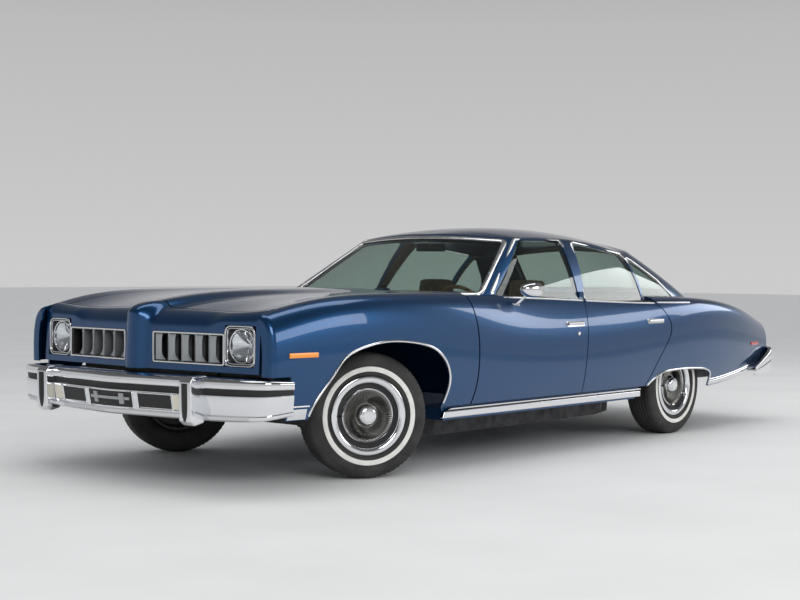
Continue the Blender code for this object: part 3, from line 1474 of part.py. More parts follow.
def build_rear_axle():
    """Rear axle housing with its shafts' flanges, differential and propeller shaft."""
    flange = HALF_TRACK - HUB_SEAT
    axle = rod("rear_axle", (REAR_AXLE_X, -flange + FIT, HUB_Z), (REAR_AXLE_X, flange - FIT, HUB_Z), 0.036, "iron", 10)
    drum = [
        rod(f"flange {sign}", (REAR_AXLE_X, sign * (flange - 0.05), HUB_Z), (REAR_AXLE_X, sign * (flange - FIT), HUB_Z), 0.12, "iron", 14)
        for sign in (1, -1)
    ]
    bowl = rod("differential", (REAR_AXLE_X - 0.115, 0, HUB_Z), (REAR_AXLE_X + 0.10, 0, HUB_Z), 0.09, "iron", 12, 0.135)
    nose = rod("pinion nose", (REAR_AXLE_X + 0.08, 0, HUB_Z), (REAR_AXLE_X + 0.25, 0, HUB_Z - 0.01), 0.09, "iron", 12, 0.04)
    shaft = rod("propeller shaft", (REAR_AXLE_X + 0.23, 0, HUB_Z - 0.01), (0.14, 0, 0.295), 0.036, "iron", 10)
    yoke = box("yoke", (0.11, -0.028, 0.267), (0.16 - FIT, 0.028, 0.323), "iron")
    combine(axle, "UNION", *drum, bowl, nose, shaft, yoke)
    for sign in (1, -1):
        link = rod(f"trailing link {sign}", (REAR_AXLE_X, sign * 0.42, HUB_Z - 0.06), (-0.85, sign * 0.455, 0.212), 0.016, "iron", 6)
        ear = box(f"link ear {sign}", (REAR_AXLE_X - 0.02, sign * 0.42 - 0.015, HUB_Z - 0.085), (REAR_AXLE_X + 0.02, sign * 0.42 + 0.015, HUB_Z))
        coil = rod(f"coil {sign}", (REAR_AXLE_X + 0.0, sign * 0.49, HUB_Z + 0.02), (REAR_AXLE_X, sign * 0.49, 0.4425 - FIT), 0.055, "iron", 10)
        combine(axle, "UNION", ear, link, coil)


def build_exhaust():
    """Exhaust pipe and silencer under the right-hand floor, out to the tail."""
    path = [
        (1.24, -0.21, 0.36 - FIT),
        (1.24, -0.21, 0.31),
        (1.16, -0.22, 0.25),
        (0.95, -0.26, 0.1505),
        (-0.20, -0.33, 0.1505),
        (-0.80, -0.33, 0.165),
        (-1.02, -0.33, 0.28),
        (-1.20, -0.33, 0.425),
        (-1.45, -0.36, 0.425),
        (-1.75, -0.41, 0.30),
        (-2.50, -0.41, 0.27),
    ]
    data = bpy.data.curves.new("pipe", "CURVE")
    data.dimensions = "3D"
    data.bevel_depth = 0.024
    data.bevel_resolution = 1
    data.use_fill_caps = True
    spline = data.splines.new("POLY")
    spline.points.add(len(path) - 1)
    for point, place in zip(spline.points, path):
        point.co = (*place, 1.0)
    drawn = bpy.data.objects.new("pipe", data)
    bpy.context.scene.collection.objects.link(drawn)
    bpy.context.view_layer.update()
    mesh = bpy.data.meshes.new_from_object(drawn.evaluated_get(bpy.context.evaluated_depsgraph_get()))
    bpy.data.objects.remove(drawn)
    shape = bmesh.new()
    shape.from_mesh(mesh)
    bmesh.ops.remove_doubles(shape, verts=shape.verts, dist=1e-5)
    pipe = from_bmesh("exhaust", shape, "steel")
    silencer = rod("silencer", (-0.10, -0.33, 0.180), (-0.72, -0.33, 0.182), 0.058, "steel", 12)
    combine(pipe, "UNION", silencer)


def build_fuel_tank():
    """Fuel tank hung below the trunk floor, between the frame rails."""
    box("fuel_tank", (-2.34, -0.36, 0.205), (-1.80, 0.42, 0.3934), "steel")


# Wheels, hubs and steering


def tyre_profile():
    """Closed (radius, along) outline of a tyre on its rim, outer side at +."""
    return [
        (TYRE_RADIUS, -0.072),
        (TYRE_RADIUS, 0.072),
        (TYRE_RADIUS - 0.016, 0.090),
        (0.265, TYRE_HALF_WIDTH),
        (0.225, 0.094),
        (RIM_RADIUS + 0.002, 0.072),
        (RIM_RADIUS + 0.002, -0.072),
        (0.225, -0.094),
        (0.265, -TYRE_HALF_WIDTH),
        (TYRE_RADIUS - 0.016, -0.090),
    ]


def wheel_profile():
    """Closed (radius, along) outline of the rim with its full cover, outer side at +."""
    return [
        (RIM_RADIUS, -0.066),
        (RIM_RADIUS, 0.072),
        (COVER_RADIUS, 0.090),
        (0.184, 0.093),
        (0.160, 0.070),
        (0.060, 0.062),
        (0.046, 0.086),
        (0.001, 0.092),
        (0.001, -HUB_SEAT),
        (HUB_RADIUS, -HUB_SEAT),
        (HUB_RADIUS, 0.0),
        (0.170, 0.0),
        (0.182, -0.066),
    ]


def place_wheel(piece, x, sign, steer):
    """Puts a wheel or tyre on its axle, turned with its kingpin when it steers."""
    face = Matrix.Rotation(math.radians(180) if sign < 0 else 0.0, 4, "Z")
    facet = Matrix.Rotation((0.5 - TYRE_SEGMENTS / 4 % 1) * math.tau / TYRE_SEGMENTS, 4, "Y")
    if steer:
        pivot = Matrix.Translation((x, sign * KINGPIN_Y, HUB_Z)) @ Matrix.Rotation(STEER_AT_REST, 4, "Z")
        piece.matrix_world = pivot @ Matrix.Translation((0, sign * (HALF_TRACK - KINGPIN_Y), 0)) @ face @ facet
    else:
        piece.matrix_world = Matrix.Translation((x, sign * HALF_TRACK, HUB_Z)) @ face @ facet


def build_wheels():
    """Four wheels with bright full covers, and four tyres."""
    for end, x, steer in (("front", FRONT_AXLE_X, True), ("rear", REAR_AXLE_X, False)):
        for side, sign in (("left", 1), ("right", -1)):
            tyre = turned(f"tyre_{end}_{side}", tyre_profile(), TYRE_SEGMENTS, "rubber")
            wheel = turned(f"wheel_{end}_{side}", wheel_profile(), WHEEL_SEGMENTS, "chrome")
            place_wheel(tyre, x, sign, steer)
            place_wheel(wheel, x, sign, steer)


def build_knuckle(side, sign):
    """One steering knuckle: upright between the ball joints, spindle and steering arm."""
    inner_y = HALF_TRACK - HUB_SEAT
    reach = BALL_JOINT_REACH
    upright = box(f"knuckle_{side}", (-0.025, sign * 0.670 - 0.014, -reach), (0.025, sign * 0.670 + 0.014, reach), "iron")
    face_low, face_high = sorted((sign * 0.660, sign * (inner_y - FIT)))
    spindle = rod(f"spindle {side}", (0, face_low, 0), (0, face_high, 0), 0.055, "iron", 12)
    arm = beam(f"steering arm {side}", [(-0.0, sign * 0.665, -0.06), (-0.13, sign * 0.645, -0.07)], 0.03, 0.025)
    combine(upright, "UNION", spindle, arm)
    for end in (-1, 1):
        low_z, high_z = sorted((end * reach, end * (reach - 0.022)))
        y = sign * KINGPIN_Y
        low_y, high_y = sorted((sign * 0.670, y))
        lug = box(f"knuckle lug {side} {end}", (-0.014, low_y, low_z), (0.014, high_y, high_z), "iron")
        eye = rod(f"knuckle eye {side} {end}", (0, y, low_z), (0, y, high_z), 0.016, "iron", 8)
        combine(upright, "UNION", lug, eye)
    baked(upright)
    for vertex in upright.data.vertices:
        vertex.co.y -= sign * KINGPIN_Y
    pivot = Matrix.Translation((FRONT_AXLE_X, sign * KINGPIN_Y, HUB_Z)) @ Matrix.Rotation(STEER_AT_REST, 4, "Z")
    upright.matrix_world = pivot


# Cabin

STEERING_CENTRE = Vector((0.300, 0.37, 0.795))
COLUMN_FOOT = Vector((0.915, 0.37, 0.53))
STEERING_RADIUS = 0.19


def build_steering_wheel():
    """Two-spoke steering wheel on the axis of its column."""
    bpy.ops.mesh.primitive_torus_add(major_radius=STEERING_RADIUS, minor_radius=0.012, major_segments=20, minor_segments=5)
    wheel = bpy.context.active_object
    wheel.name = "steering_wheel"
    wheel.data.materials.append(material("trim"))
    for owner in list(wheel.users_collection):
        owner.objects.unlink(wheel)
    collection("sedan").objects.link(wheel)
    hub = rod("steering hub", (0, 0, -0.055), (0, 0, 0.012), 0.038, "trim", 10)
    spokes = box("steering spokes", (-STEERING_RADIUS, -0.022, -0.012), (STEERING_RADIUS, 0.022, 0.002), "trim")
    combine(wheel, "UNION", spokes, hub)
    baked(wheel)
    axis = (STEERING_CENTRE - COLUMN_FOOT).normalized()
    turn = axis.to_track_quat("Z", "Y").to_matrix().to_4x4()
    wheel.matrix_world = Matrix.Translation(STEERING_CENTRE) @ turn @ Matrix.Rotation(math.radians(75), 4, "Z")


def build_dashboard():
    """Instrument panel with its padded top, and the steering column below it."""
    outline = [(0.42, 0.60), (0.44, 0.78), (0.40, 0.87), (0.46, 0.903), (0.57, 0.905), (0.70, 0.86), (0.70, 0.70), (0.60, 0.58)]
    dash = slab("dashboard", rounded(outline, 0.03, 1), -0.745, 0.745, look="trim")
    axis = (COLUMN_FOOT - STEERING_CENTRE).normalized()
    column = rod("steering column", STEERING_CENTRE + axis * (0.055 + FIT), COLUMN_FOOT, 0.034, "trim", 10)
    foot = box("column foot", (0.895, 0.32, 0.48), (0.935 - FIT, 0.42, 0.58), "trim")
    combine(dash, "UNION", column, foot)


def build_front_seat():
    """Front bench seat with two headrests."""
    outline = [
        (0.235, 0.33),
        (0.255, 0.47),
        (0.20, 0.52),
        (-0.10, 0.485),
        (-0.19, 0.52),
        (-0.275, 0.84),
        (-0.34, 0.865),
        (-0.40, 0.83),
        (-0.31, 0.46),
        (-0.23, 0.33),
    ]
    seat = slab("front_seat", outline, -0.68, 0.68, look="trim")
    for sign in (1, -1):
        low_y, high_y = sorted((sign * 0.17, sign * 0.55))
        combine(seat, "UNION", box(f"seat base {sign}", (-0.18, low_y, FLOOR_TOP + FIT), (0.18, high_y, 0.34), "trim"))
    combine(seat, "DIFFERENCE", box("seat tunnel", (-0.5, -0.15, 0.2), (0.5, 0.15, 0.41)))
    for y in (-0.37, 0.37):
        post = box(f"headrest post {y}", (-0.352, y - 0.05, 0.84), (-0.332, y + 0.05, 0.92), "trim")
        pad = box(f"headrest {y}", (-0.40, y - 0.13, 0.885), (-0.29, y + 0.13, 1.02), "trim")
        combine(seat, "UNION", post, pad)


def build_rear_seat():
    """Rear bench seat."""
    outline = [
        (-0.70, FLOOR_TOP + FIT),
        (-0.68, 0.47),
        (-0.73, 0.52),
        (-1.04, 0.525),
        (-1.12, 0.575),
        (-1.27, 0.825),
        (-1.33, 0.845),
        (-1.40, 0.830),
        (-1.36, 0.5465),
        (-1.13, 0.5465),
        (-0.98, 0.460),
        (-0.83, FLOOR_TOP + FIT),
    ]
    seat = slab("rear_seat", outline, -0.585, 0.585, look="trim")
    combine(seat, "DIFFERENCE", box("rear seat tunnel", (-1.1, -0.15, 0.2), (-0.6, 0.15, 0.41)))


def build_mirror():
    """Bright mirror on the left front door."""
    head = box("door_mirror", (0.37, 0.925, 0.935), (0.44, 1.030, 1.010), "chrome", bevel=0.012)
    stem = beam("mirror stem", [(0.475, 0.893, 0.878), (0.43, 0.955, 0.945)], 0.03, 0.014)
    combine(head, "UNION", stem)
    outer = [[(x, y + FIT, z) for x, y, z in row] for row in door_grid(DOOR_FRONT_CUT, DOOR_MIDDLE_CUT, 8, 9, False)]
    outer[-1] = [(x, y, z + FIT) for x, y, z in outer[-1]]
    inner = door_grid(DOOR_FRONT_CUT, DOOR_MIDDLE_CUT, 8, 9, True)
    inner[-1] = [(x, y, z + FIT) for x, y, z in inner[-1]]
    combine(head, "DIFFERENCE", between("door under mirror", outer, inner))


def main():
    """Builds every piece."""
    clear_scene()
    build_frame()
    build_floor_pan()
    build_firewall()
    build_rear_shelf()
    build_roof()
    build_glass()
    both_sides(build_fender)
    build_hood()
    build_nose()
    both_sides(build_grille)
    both_sides(build_headlamp)
    both_sides(build_doors)
    both_sides(build_quarter)
    build_rear_deck()
    build_trunk_lid()
    build_rear_panel()
    both_sides(build_tail_lamp)
    build_front_bumper()
    build_rear_bumper()
    build_engine()
    build_radiator()
    build_rear_axle()
    build_exhaust()
    build_fuel_tank()
    build_wheels()
    both_sides(build_knuckle)
    build_steering_wheel()
    build_dashboard()
    build_front_seat()
    build_rear_seat()
    build_mirror()


main()
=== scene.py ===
"""Looks of a mid-1970s midsize sedan: smooth painted panels, bright trim, glass, wheels, lamps and cabin.

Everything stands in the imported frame: metres, +X forward, +Y to the car's left, +Z up.
"""

from __future__ import annotations

import json
import logging
import math
from collections.abc import Callable, Iterable, Sequence
from dataclasses import dataclass, field
from enum import Enum
from functools import partial

import bmesh
import bpy
import numpy as np
from mathutils import Matrix, Vector
from mathutils.bvhtree import BVHTree
from mathutils.interpolate import poly_3d_calc

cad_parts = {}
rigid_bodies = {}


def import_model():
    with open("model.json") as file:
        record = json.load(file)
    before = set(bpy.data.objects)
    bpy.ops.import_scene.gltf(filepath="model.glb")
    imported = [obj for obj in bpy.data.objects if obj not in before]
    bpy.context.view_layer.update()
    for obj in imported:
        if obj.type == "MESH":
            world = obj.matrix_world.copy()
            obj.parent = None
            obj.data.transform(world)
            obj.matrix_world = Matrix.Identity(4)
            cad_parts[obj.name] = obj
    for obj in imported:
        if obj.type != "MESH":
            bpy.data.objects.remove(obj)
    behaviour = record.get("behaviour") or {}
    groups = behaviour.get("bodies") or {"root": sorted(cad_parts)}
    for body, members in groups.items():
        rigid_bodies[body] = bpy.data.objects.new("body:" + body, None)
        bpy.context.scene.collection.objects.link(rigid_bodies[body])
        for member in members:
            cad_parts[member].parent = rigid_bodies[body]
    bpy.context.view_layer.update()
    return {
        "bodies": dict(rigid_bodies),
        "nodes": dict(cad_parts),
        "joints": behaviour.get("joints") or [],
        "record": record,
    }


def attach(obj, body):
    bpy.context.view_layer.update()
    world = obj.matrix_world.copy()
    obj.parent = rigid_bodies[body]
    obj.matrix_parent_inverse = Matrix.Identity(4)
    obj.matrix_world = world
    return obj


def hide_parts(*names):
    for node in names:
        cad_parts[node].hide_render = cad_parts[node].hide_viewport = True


Point = tuple[float, float, float]
Flat = tuple[float, float]
Colour = tuple[float, float, float]
Outward = Callable[[Vector], Vector]
LOG = logging.getLogger("sedan")

# Sizes shared with the CAD model
FRONT_AXLE_X = 1.608
REAR_AXLE_X = -1.338
HUB_Z = 0.32322
HALF_TRACK = 0.775
KINGPIN_Y = 0.70
STEER_AT_REST = math.radians(-27)
SKIN = 0.012
SHUT_GAP = 0.007
LID_FRONT_GAP = 0.009
SILL_TOP = 0.338
DOOR_BOTTOM = SILL_TOP + 0.009
DOOR_EDGE_TAPER = 0.016
HINGE_LIFTS = (0.46, 0.74)
FRONT_HINGE = (0.885, 0.962)
REAR_HINGE = (-0.215, 0.962)
HOOD_HINGE = (1.04, 0.888)
EYE_RADIUS = 0.009
EYE_HALF_HEIGHT = 0.020
HOOD_REAR_X = 1.0
HOOD_FRONT_X = 2.352
HOOD_HALF_WIDTH = 0.755
HOOD_THICKNESS = 0.022
NOSE_HALF_WIDTH = 0.832
NOSE_BOTTOM = 0.568
FENDER_FRONT_X = 2.43
FRONT_BUMPER_HIGH = 0.552
TRUNK_FRONT_X = -2.03
TRUNK_REAR_X = -2.585
TRUNK_HALF_WIDTH = 0.69
TAIL_X = -2.60
COWL_TOP = 0.930
FLOOR_TOP = 0.262
PILLAR_THICKNESS = 0.032
GLASS_INSET = 0.004
GLASS_THICKNESS = 0.005
STEERING_CENTRE = Vector((0.300, 0.37, 0.795))
COLUMN_FOOT = Vector((0.915, 0.37, 0.53))
SIDES = (("left", 1), ("right", -1))


# Finishes

RAMP_START = 0.3
RAMP_END = 0.7
WAVE_DISTORTION = 1.2
FLOAT_SOCKET = "NodeSocketFloat"
COLOUR_SOCKET = "NodeSocketColor"
NORMAL_SOCKET = "NodeSocketVector"


class Pattern(Enum):
    """The textures that vary or raise a finish."""

    NOISE = "ShaderNodeTexNoise"
    CELLS = "ShaderNodeTexVoronoi"
    WAVES = "ShaderNodeTexWave"


@dataclass(frozen=True)
class Drift:
    """A colour or a roughness that follows noise from a low to a high value."""

    scale: float
    detail: float
    low: Colour | float
    high: Colour | float


@dataclass(frozen=True)
class Relief:
    """A pattern raised on the surface."""

    pattern: Pattern
    scale: float
    detail: float
    strength: float
    distance: float


@dataclass(frozen=True)
class Finish:
    """A procedural material: its plain values, and what varies over the surface."""

    colour: Colour
    roughness: float
    metallic: float = 0.0
    tint: Drift | None = None
    gloss: Drift | None = None
    relief: Relief | None = None
    sockets: tuple[tuple[str, float], ...] = ()


class Groups:
    """The shader node groups that several materials use, each built once."""

    def __init__(self) -> None:
        """Starts with no group made."""
        self.made: dict[str, bpy.types.NodeTree] = {}

    def start(self, name: str, inputs: Sequence[tuple[str, str]], output: tuple[str, str]) -> tuple:
        """An empty group with its named sockets.

        Args:
            name: The group's name.
            inputs: Name and type of each input.
            output: Name and type of the output.

        Returns:
            The group, its input node and its output node.
        """
        group = bpy.data.node_groups.new(name, "ShaderNodeTree")
        for label, kind in inputs:
            group.interface.new_socket(name=label, in_out="INPUT", socket_type=kind)
        group.interface.new_socket(name=output[0], in_out="OUTPUT", socket_type=output[1])
        self.made[name] = group
        return group, group.nodes.new("NodeGroupInput"), group.nodes.new("NodeGroupOutput")

    def texture(
        self, group: bpy.types.NodeTree, entry: bpy.types.Node, pattern: Pattern
    ) -> bpy.types.NodeSocket:
        """A texture on object coordinates, with the group's Scale and Detail.

        Args:
            group: The group it stands in.
            entry: The group's input node.
            pattern: Which texture.

        Returns:
            Its grey output.
        """
        place = group.nodes.new("ShaderNodeTexCoord")
        texture = group.nodes.new(pattern.value)
        if pattern is Pattern.WAVES:
            texture.inputs["Distortion"].default_value = WAVE_DISTORTION
        group.links.new(place.outputs["Object"], texture.inputs["Vector"])
        group.links.new(entry.outputs["Scale"], texture.inputs["Scale"])
        group.links.new(entry.outputs["Detail"], texture.inputs["Detail"])
        return texture.outputs["Distance" if pattern is Pattern.CELLS else "Fac"]

    def drifting(self, in_colour: bool) -> bpy.types.NodeTree:
        """The group whose output follows noise between Low and High.

        Args:
            in_colour: Whether Low, High and the output are colours and not values.

        Returns:
            The group.
        """
        name, kind = ("drifting_colour", COLOUR_SOCKET) if in_colour else ("drifting_value", FLOAT_SOCKET)
        if name in self.made:
            return self.made[name]
        inputs = (("Scale", FLOAT_SOCKET), ("Detail", FLOAT_SOCKET), ("Low", kind), ("High", kind))
        group, entry, leave = self.start(name, inputs, ("Result", kind))
        ramp = group.nodes.new("ShaderNodeMapRange")
        ramp.inputs["From Min"].default_value = RAMP_START
        ramp.inputs["From Max"].default_value = RAMP_END
        group.links.new(self.texture(group, entry, Pattern.NOISE), ramp.inputs["Value"])
        if not in_colour:
            group.links.new(entry.outputs["Low"], ramp.inputs["To Min"])
            group.links.new(entry.outputs["High"], ramp.inputs["To Max"])
            group.links.new(ramp.outputs["Result"], leave.inputs["Result"])
            return group
        mix = group.nodes.new("ShaderNodeMix")
        mix.data_type = "RGBA"
        factor, first, second = (
            s for s in mix.inputs if s.identifier in ("Factor_Float", "A_Color", "B_Color")
        )
        group.links.new(ramp.outputs["Result"], factor)
        group.links.new(entry.outputs["Low"], first)
        group.links.new(entry.outputs["High"], second)
        blended = next(s for s in mix.outputs if s.identifier == "Result_Color")
        group.links.new(blended, leave.inputs["Result"])
        return group

    def raised(self, pattern: Pattern) -> bpy.types.NodeTree:
        """The group whose Normal is raised by a pattern.

        Args:
            pattern: Which texture.

        Returns:
            The group.
        """
        name = f"raised_{pattern.name.lower()}"
        if name in self.made:
            return self.made[name]
        inputs = [(label, FLOAT_SOCKET) for label in ("Scale", "Detail", "Strength", "Distance")]
        group, entry, leave = self.start(name, inputs, ("Normal", NORMAL_SOCKET))
        bump = group.nodes.new("ShaderNodeBump")
        group.links.new(self.texture(group, entry, pattern), bump.inputs["Height"])
        for label in ("Strength", "Distance"):
            group.links.new(entry.outputs[label], bump.inputs[label])
        group.links.new(bump.outputs["Normal"], leave.inputs["Normal"])
        return group


class Looks:
    """The procedural materials, each made once from its finish and kept by name."""

    def __init__(self) -> None:
        """Starts with no material made."""
        self.made: dict[str, bpy.types.Material] = {}
        self.groups = Groups()

    def __call__(self, name: str) -> bpy.types.Material:
        """The material of a finish.

        Args:
            name: The finish.

        Returns:
            Its material.
        """
        if name not in self.made:
            self.made[name] = self.make(name, FINISHES[name])
        return self.made[name]

    def make(self, name: str, finish: Finish) -> bpy.types.Material:
        """A new material with the finish's plain values and varying parts.

        Args:
            name: The finish's name.
            finish: What it is like.

        Returns:
            The material.
        """
        made = bpy.data.materials.new(f"look_{name}")
        made.use_nodes = True
        shader = made.node_tree.nodes["Principled BSDF"]
        shader.inputs["Base Color"].default_value = (*finish.colour, 1.0)
        shader.inputs["Roughness"].default_value = finish.roughness
        shader.inputs["Metallic"].default_value = finish.metallic
        for socket, value in finish.sockets:
            shader.inputs[socket].default_value = value
        for socket, drift in (("Base Color", finish.tint), ("Roughness", finish.gloss)):
            if drift is not None:
                group = self.groups.drifting(socket == "Base Color")
                low, high = ((*v, 1.0) if isinstance(v, tuple) else v for v in (drift.low, drift.high))
                values = {"Scale": drift.scale, "Detail": drift.detail, "Low": low, "High": high}
                self.place(made, group, values, "Result", socket)
        relief = finish.relief
        if relief is not None:
            values = {
                "Scale": relief.scale,
                "Detail": relief.detail,
                "Strength": relief.strength,
                "Distance": relief.distance,
            }
            self.place(made, self.groups.raised(relief.pattern), values, "Normal", "Normal")
        return made

    def place(
        self,
        made: bpy.types.Material,
        group: bpy.types.NodeTree,
        values: dict[str, object],
        output: str,
        socket: str,
    ) -> None:
        """Places a group in a material and links it to the shader.

        Args:
            made: The material.
            group: The group.
            values: The group's own values there.
            output: The group's output.
            socket: The shader's input.
        """
        nodes, links = made.node_tree.nodes, made.node_tree.links
        node = nodes.new("ShaderNodeGroup")
        node.node_tree = group
        for label, value in values.items():
            node.inputs[label].default_value = value
        links.new(node.outputs[output], nodes["Principled BSDF"].inputs[socket])


FINISHES = {
    # Deep metallic blue under a clear coat, with fine flake
    "paint": Finish(
        (0.004, 0.050, 0.150),
        0.28,
        0.85,
        tint=Drift(2600.0, 1.0, (0.002, 0.036, 0.118), (0.008, 0.082, 0.225)),
        gloss=Drift(900.0, 2.0, 0.24, 0.34),
        sockets=(("Coat Weight", 0.9), ("Coat Roughness", 0.03), ("Coat IOR", 1.45)),
    ),
    # Bright plating with faint polishing haze
    "chrome": Finish((0.80, 0.81, 0.83), 0.07, 1.0, gloss=Drift(14.0, 6.0, 0.035, 0.11)),
    # Satin bright metal of the window frames and belt lines
    "bright": Finish((0.90, 0.91, 0.92), 0.22, 1.0, gloss=Drift(30.0, 5.0, 0.17, 0.28)),
    # Silver-grey paint of the grille vanes and the tail band
    "argent": Finish(
        (0.36, 0.38, 0.39), 0.38, 0.55, tint=Drift(700.0, 2.0, (0.30, 0.32, 0.33), (0.42, 0.44, 0.45))
    ),
    # Silver of the finned wheel centres, made darker as painted shade
    "fins": Finish((0.27, 0.265, 0.25), 0.20, 1.0, gloss=Drift(300.0, 3.0, 0.15, 0.27)),
    # Clear, faintly green window glass
    "glass": Finish(
        (0.56, 0.66, 0.62),
        0.02,
        gloss=Drift(5.0, 3.0, 0.0, 0.03),
        sockets=(("Transmission Weight", 1.0), ("IOR", 1.45)),
    ),
    # Pressed clear glass of the lamps
    "lens": Finish(
        (0.95, 0.97, 0.99),
        0.02,
        relief=Relief(Pattern.CELLS, 110.0, 1.0, 0.16, 0.001),
        sockets=(("Transmission Weight", 1.0), ("IOR", 1.42)),
    ),
    # Amber marker lens
    "amber": Finish(
        (0.90, 0.30, 0.03),
        0.12,
        relief=Relief(Pattern.CELLS, 260.0, 1.0, 0.4, 0.001),
        sockets=(("Coat Weight", 0.6),),
    ),
    # Red tail lens
    "red": Finish(
        (0.50, 0.015, 0.012),
        0.10,
        relief=Relief(Pattern.CELLS, 240.0, 1.0, 0.4, 0.001),
        sockets=(("Coat Weight", 0.8),),
    ),
    # Pale lens of the parking lamps
    "milky": Finish(
        (0.74, 0.70, 0.56),
        0.16,
        relief=Relief(Pattern.CELLS, 220.0, 1.0, 0.4, 0.001),
        sockets=(("Coat Weight", 0.5),),
    ),
    # Tyre black with a little dust
    "rubber": Finish(
        (0.022, 0.022, 0.023),
        0.72,
        tint=Drift(9.0, 8.0, (0.014, 0.014, 0.015), (0.045, 0.044, 0.041)),
        relief=Relief(Pattern.NOISE, 420.0, 4.0, 0.25, 0.0006),
    ),
    # White rubber band of the tyre
    "whitewall": Finish(
        (0.78, 0.77, 0.73), 0.55, tint=Drift(22.0, 6.0, (0.70, 0.69, 0.64), (0.83, 0.82, 0.79))
    ),
    # Soft black of rubber strips and seals, also laid on recesses and openings as painted shade
    "black": Finish((0.012, 0.012, 0.013), 0.55, relief=Relief(Pattern.NOISE, 500.0, 3.0, 0.2, 0.0005)),
    # Black frame paint
    "chassis": Finish((0.020, 0.020, 0.022), 0.48, 0.1, gloss=Drift(18.0, 8.0, 0.35, 0.75)),
    # Rough cast iron
    "iron": Finish(
        (0.10, 0.098, 0.095),
        0.60,
        0.7,
        tint=Drift(12.0, 6.0, (0.07, 0.068, 0.066), (0.15, 0.14, 0.13)),
        relief=Relief(Pattern.NOISE, 240.0, 6.0, 0.5, 0.0012),
    ),
    # Dull bare steel
    "steel": Finish((0.34, 0.33, 0.32), 0.42, 0.9, gloss=Drift(20.0, 8.0, 0.30, 0.62)),
    # Tan grained trim
    "vinyl": Finish(
        (0.40, 0.235, 0.120),
        0.52,
        tint=Drift(7.0, 5.0, (0.35, 0.20, 0.10), (0.44, 0.265, 0.14)),
        relief=Relief(Pattern.CELLS, 620.0, 2.0, 0.35, 0.0007),
        sockets=(("Coat Weight", 0.05),),
    ),
    # Tan knitted seat cloth
    "cloth": Finish(
        (0.42, 0.26, 0.14),
        0.85,
        tint=Drift(60.0, 4.0, (0.33, 0.20, 0.10), (0.47, 0.30, 0.17)),
        relief=Relief(Pattern.WAVES, 330.0, 1.0, 0.4, 0.0008),
        sockets=(("Sheen Weight", 0.35),),
    ),
    # Silvered mirror glass
    "mirror": Finish((0.86, 0.87, 0.88), 0.01, 1.0, gloss=Drift(6.0, 4.0, 0.0, 0.02)),
    # Blue-green engine enamel over castings
    "block": Finish(
        (0.03, 0.09, 0.13),
        0.5,
        0.2,
        tint=Drift(10.0, 6.0, (0.02, 0.07, 0.10), (0.05, 0.13, 0.17)),
        relief=Relief(Pattern.NOISE, 180.0, 6.0, 0.5, 0.0015),
    ),
    # Pale tan perforated headliner
    "headliner": Finish((0.50, 0.36, 0.22), 0.9, relief=Relief(Pattern.CELLS, 260.0, 1.0, 0.3, 0.0008)),
    # Brown cut-pile carpet
    "carpet": Finish(
        (0.16, 0.09, 0.045),
        0.95,
        relief=Relief(Pattern.NOISE, 700.0, 3.0, 0.8, 0.002),
        sockets=(("Sheen Weight", 0.4),),
    ),
    # Pale studio floor
    "floor": Finish(
        (0.72, 0.72, 0.71),
        0.7,
        tint=Drift(1.5, 4.0, (0.70, 0.70, 0.69), (0.74, 0.74, 0.73)),
        sockets=(("Specular IOR Level", 0.2),),
    ),
}
LOOK = Looks()


class Guide:
    """A natural cubic curve through (x, value) stations, held level past its ends."""

    def __init__(self, *stations: Flat) -> None:
        """Solves the curve.

        Args:
            stations: The (x, value) pairs, in any order.
        """
        ordered = sorted(stations)
        self.x = np.array([s[0] for s in ordered], float)
        self.value = np.array([s[1] for s in ordered], float)
        step = np.diff(self.x)
        matrix = np.eye(len(ordered))
        right = np.zeros(len(ordered))
        for i in range(1, len(ordered) - 1):
            matrix[i, i - 1 : i + 2] = step[i - 1], 2 * (step[i - 1] + step[i]), step[i]
            rise = np.diff(self.value[i - 1 : i + 2]) / step[i - 1 : i + 1]
            right[i] = 6 * (rise[1] - rise[0])
        self.bend = np.linalg.solve(matrix, right)

    def __call__(self, x: float) -> float:
        """The curve's value at a place.

        Args:
            x: Where along the curve.

        Returns:
            The curve's value there.
        """
        x = min(max(x, self.x[0]), self.x[-1])
        i = min(max(int(np.searchsorted(self.x, x)) - 1, 0), len(self.x) - 2)
        step = self.x[i + 1] - self.x[i]
        a, b = (self.x[i + 1] - x) / step, (x - self.x[i]) / step
        ends = a * self.value[i] + b * self.value[i + 1]
        curve = (a**3 - a) * self.bend[i] + (b**3 - b) * self.bend[i + 1]
        return float(ends + curve * step**2 / 6)


def smooth_step(x: float) -> float:
    """0 to 1 with level ends."""
    x = min(max(x, 0.0), 1.0)
    return x * x * (3 - 2 * x)


def spline_weights(samples: np.ndarray, count: int) -> np.ndarray:
    """Weights of each pull point along a clamped uniform cubic B-spline.

    Args:
        samples: Where along the curve, from 0 to 1.
        count: How many pull points.

    Returns:
        One row of weights for each sample.
    """
    knots = np.concatenate([np.zeros(3), np.linspace(0, 1, count - 2), np.ones(3)])
    inside = np.clip(samples, 0, 1 - 1e-9)
    weights = np.array([(knots[i] <= inside) & (inside < knots[i + 1]) for i in range(count + 3)], float)
    for degree in (1, 2, 3):
        raised = np.zeros((count + 3 - degree, len(samples)))
        for i in range(count + 3 - degree):
            rise, fall = knots[i + degree] - knots[i], knots[i + degree + 1] - knots[i + 1]
            if rise > 0:
                raised[i] += (inside - knots[i]) / rise * weights[i]
            if fall > 0:
                raised[i] += (knots[i + degree + 1] - inside) / fall * weights[i + 1]
        weights = raised
    return weights.T


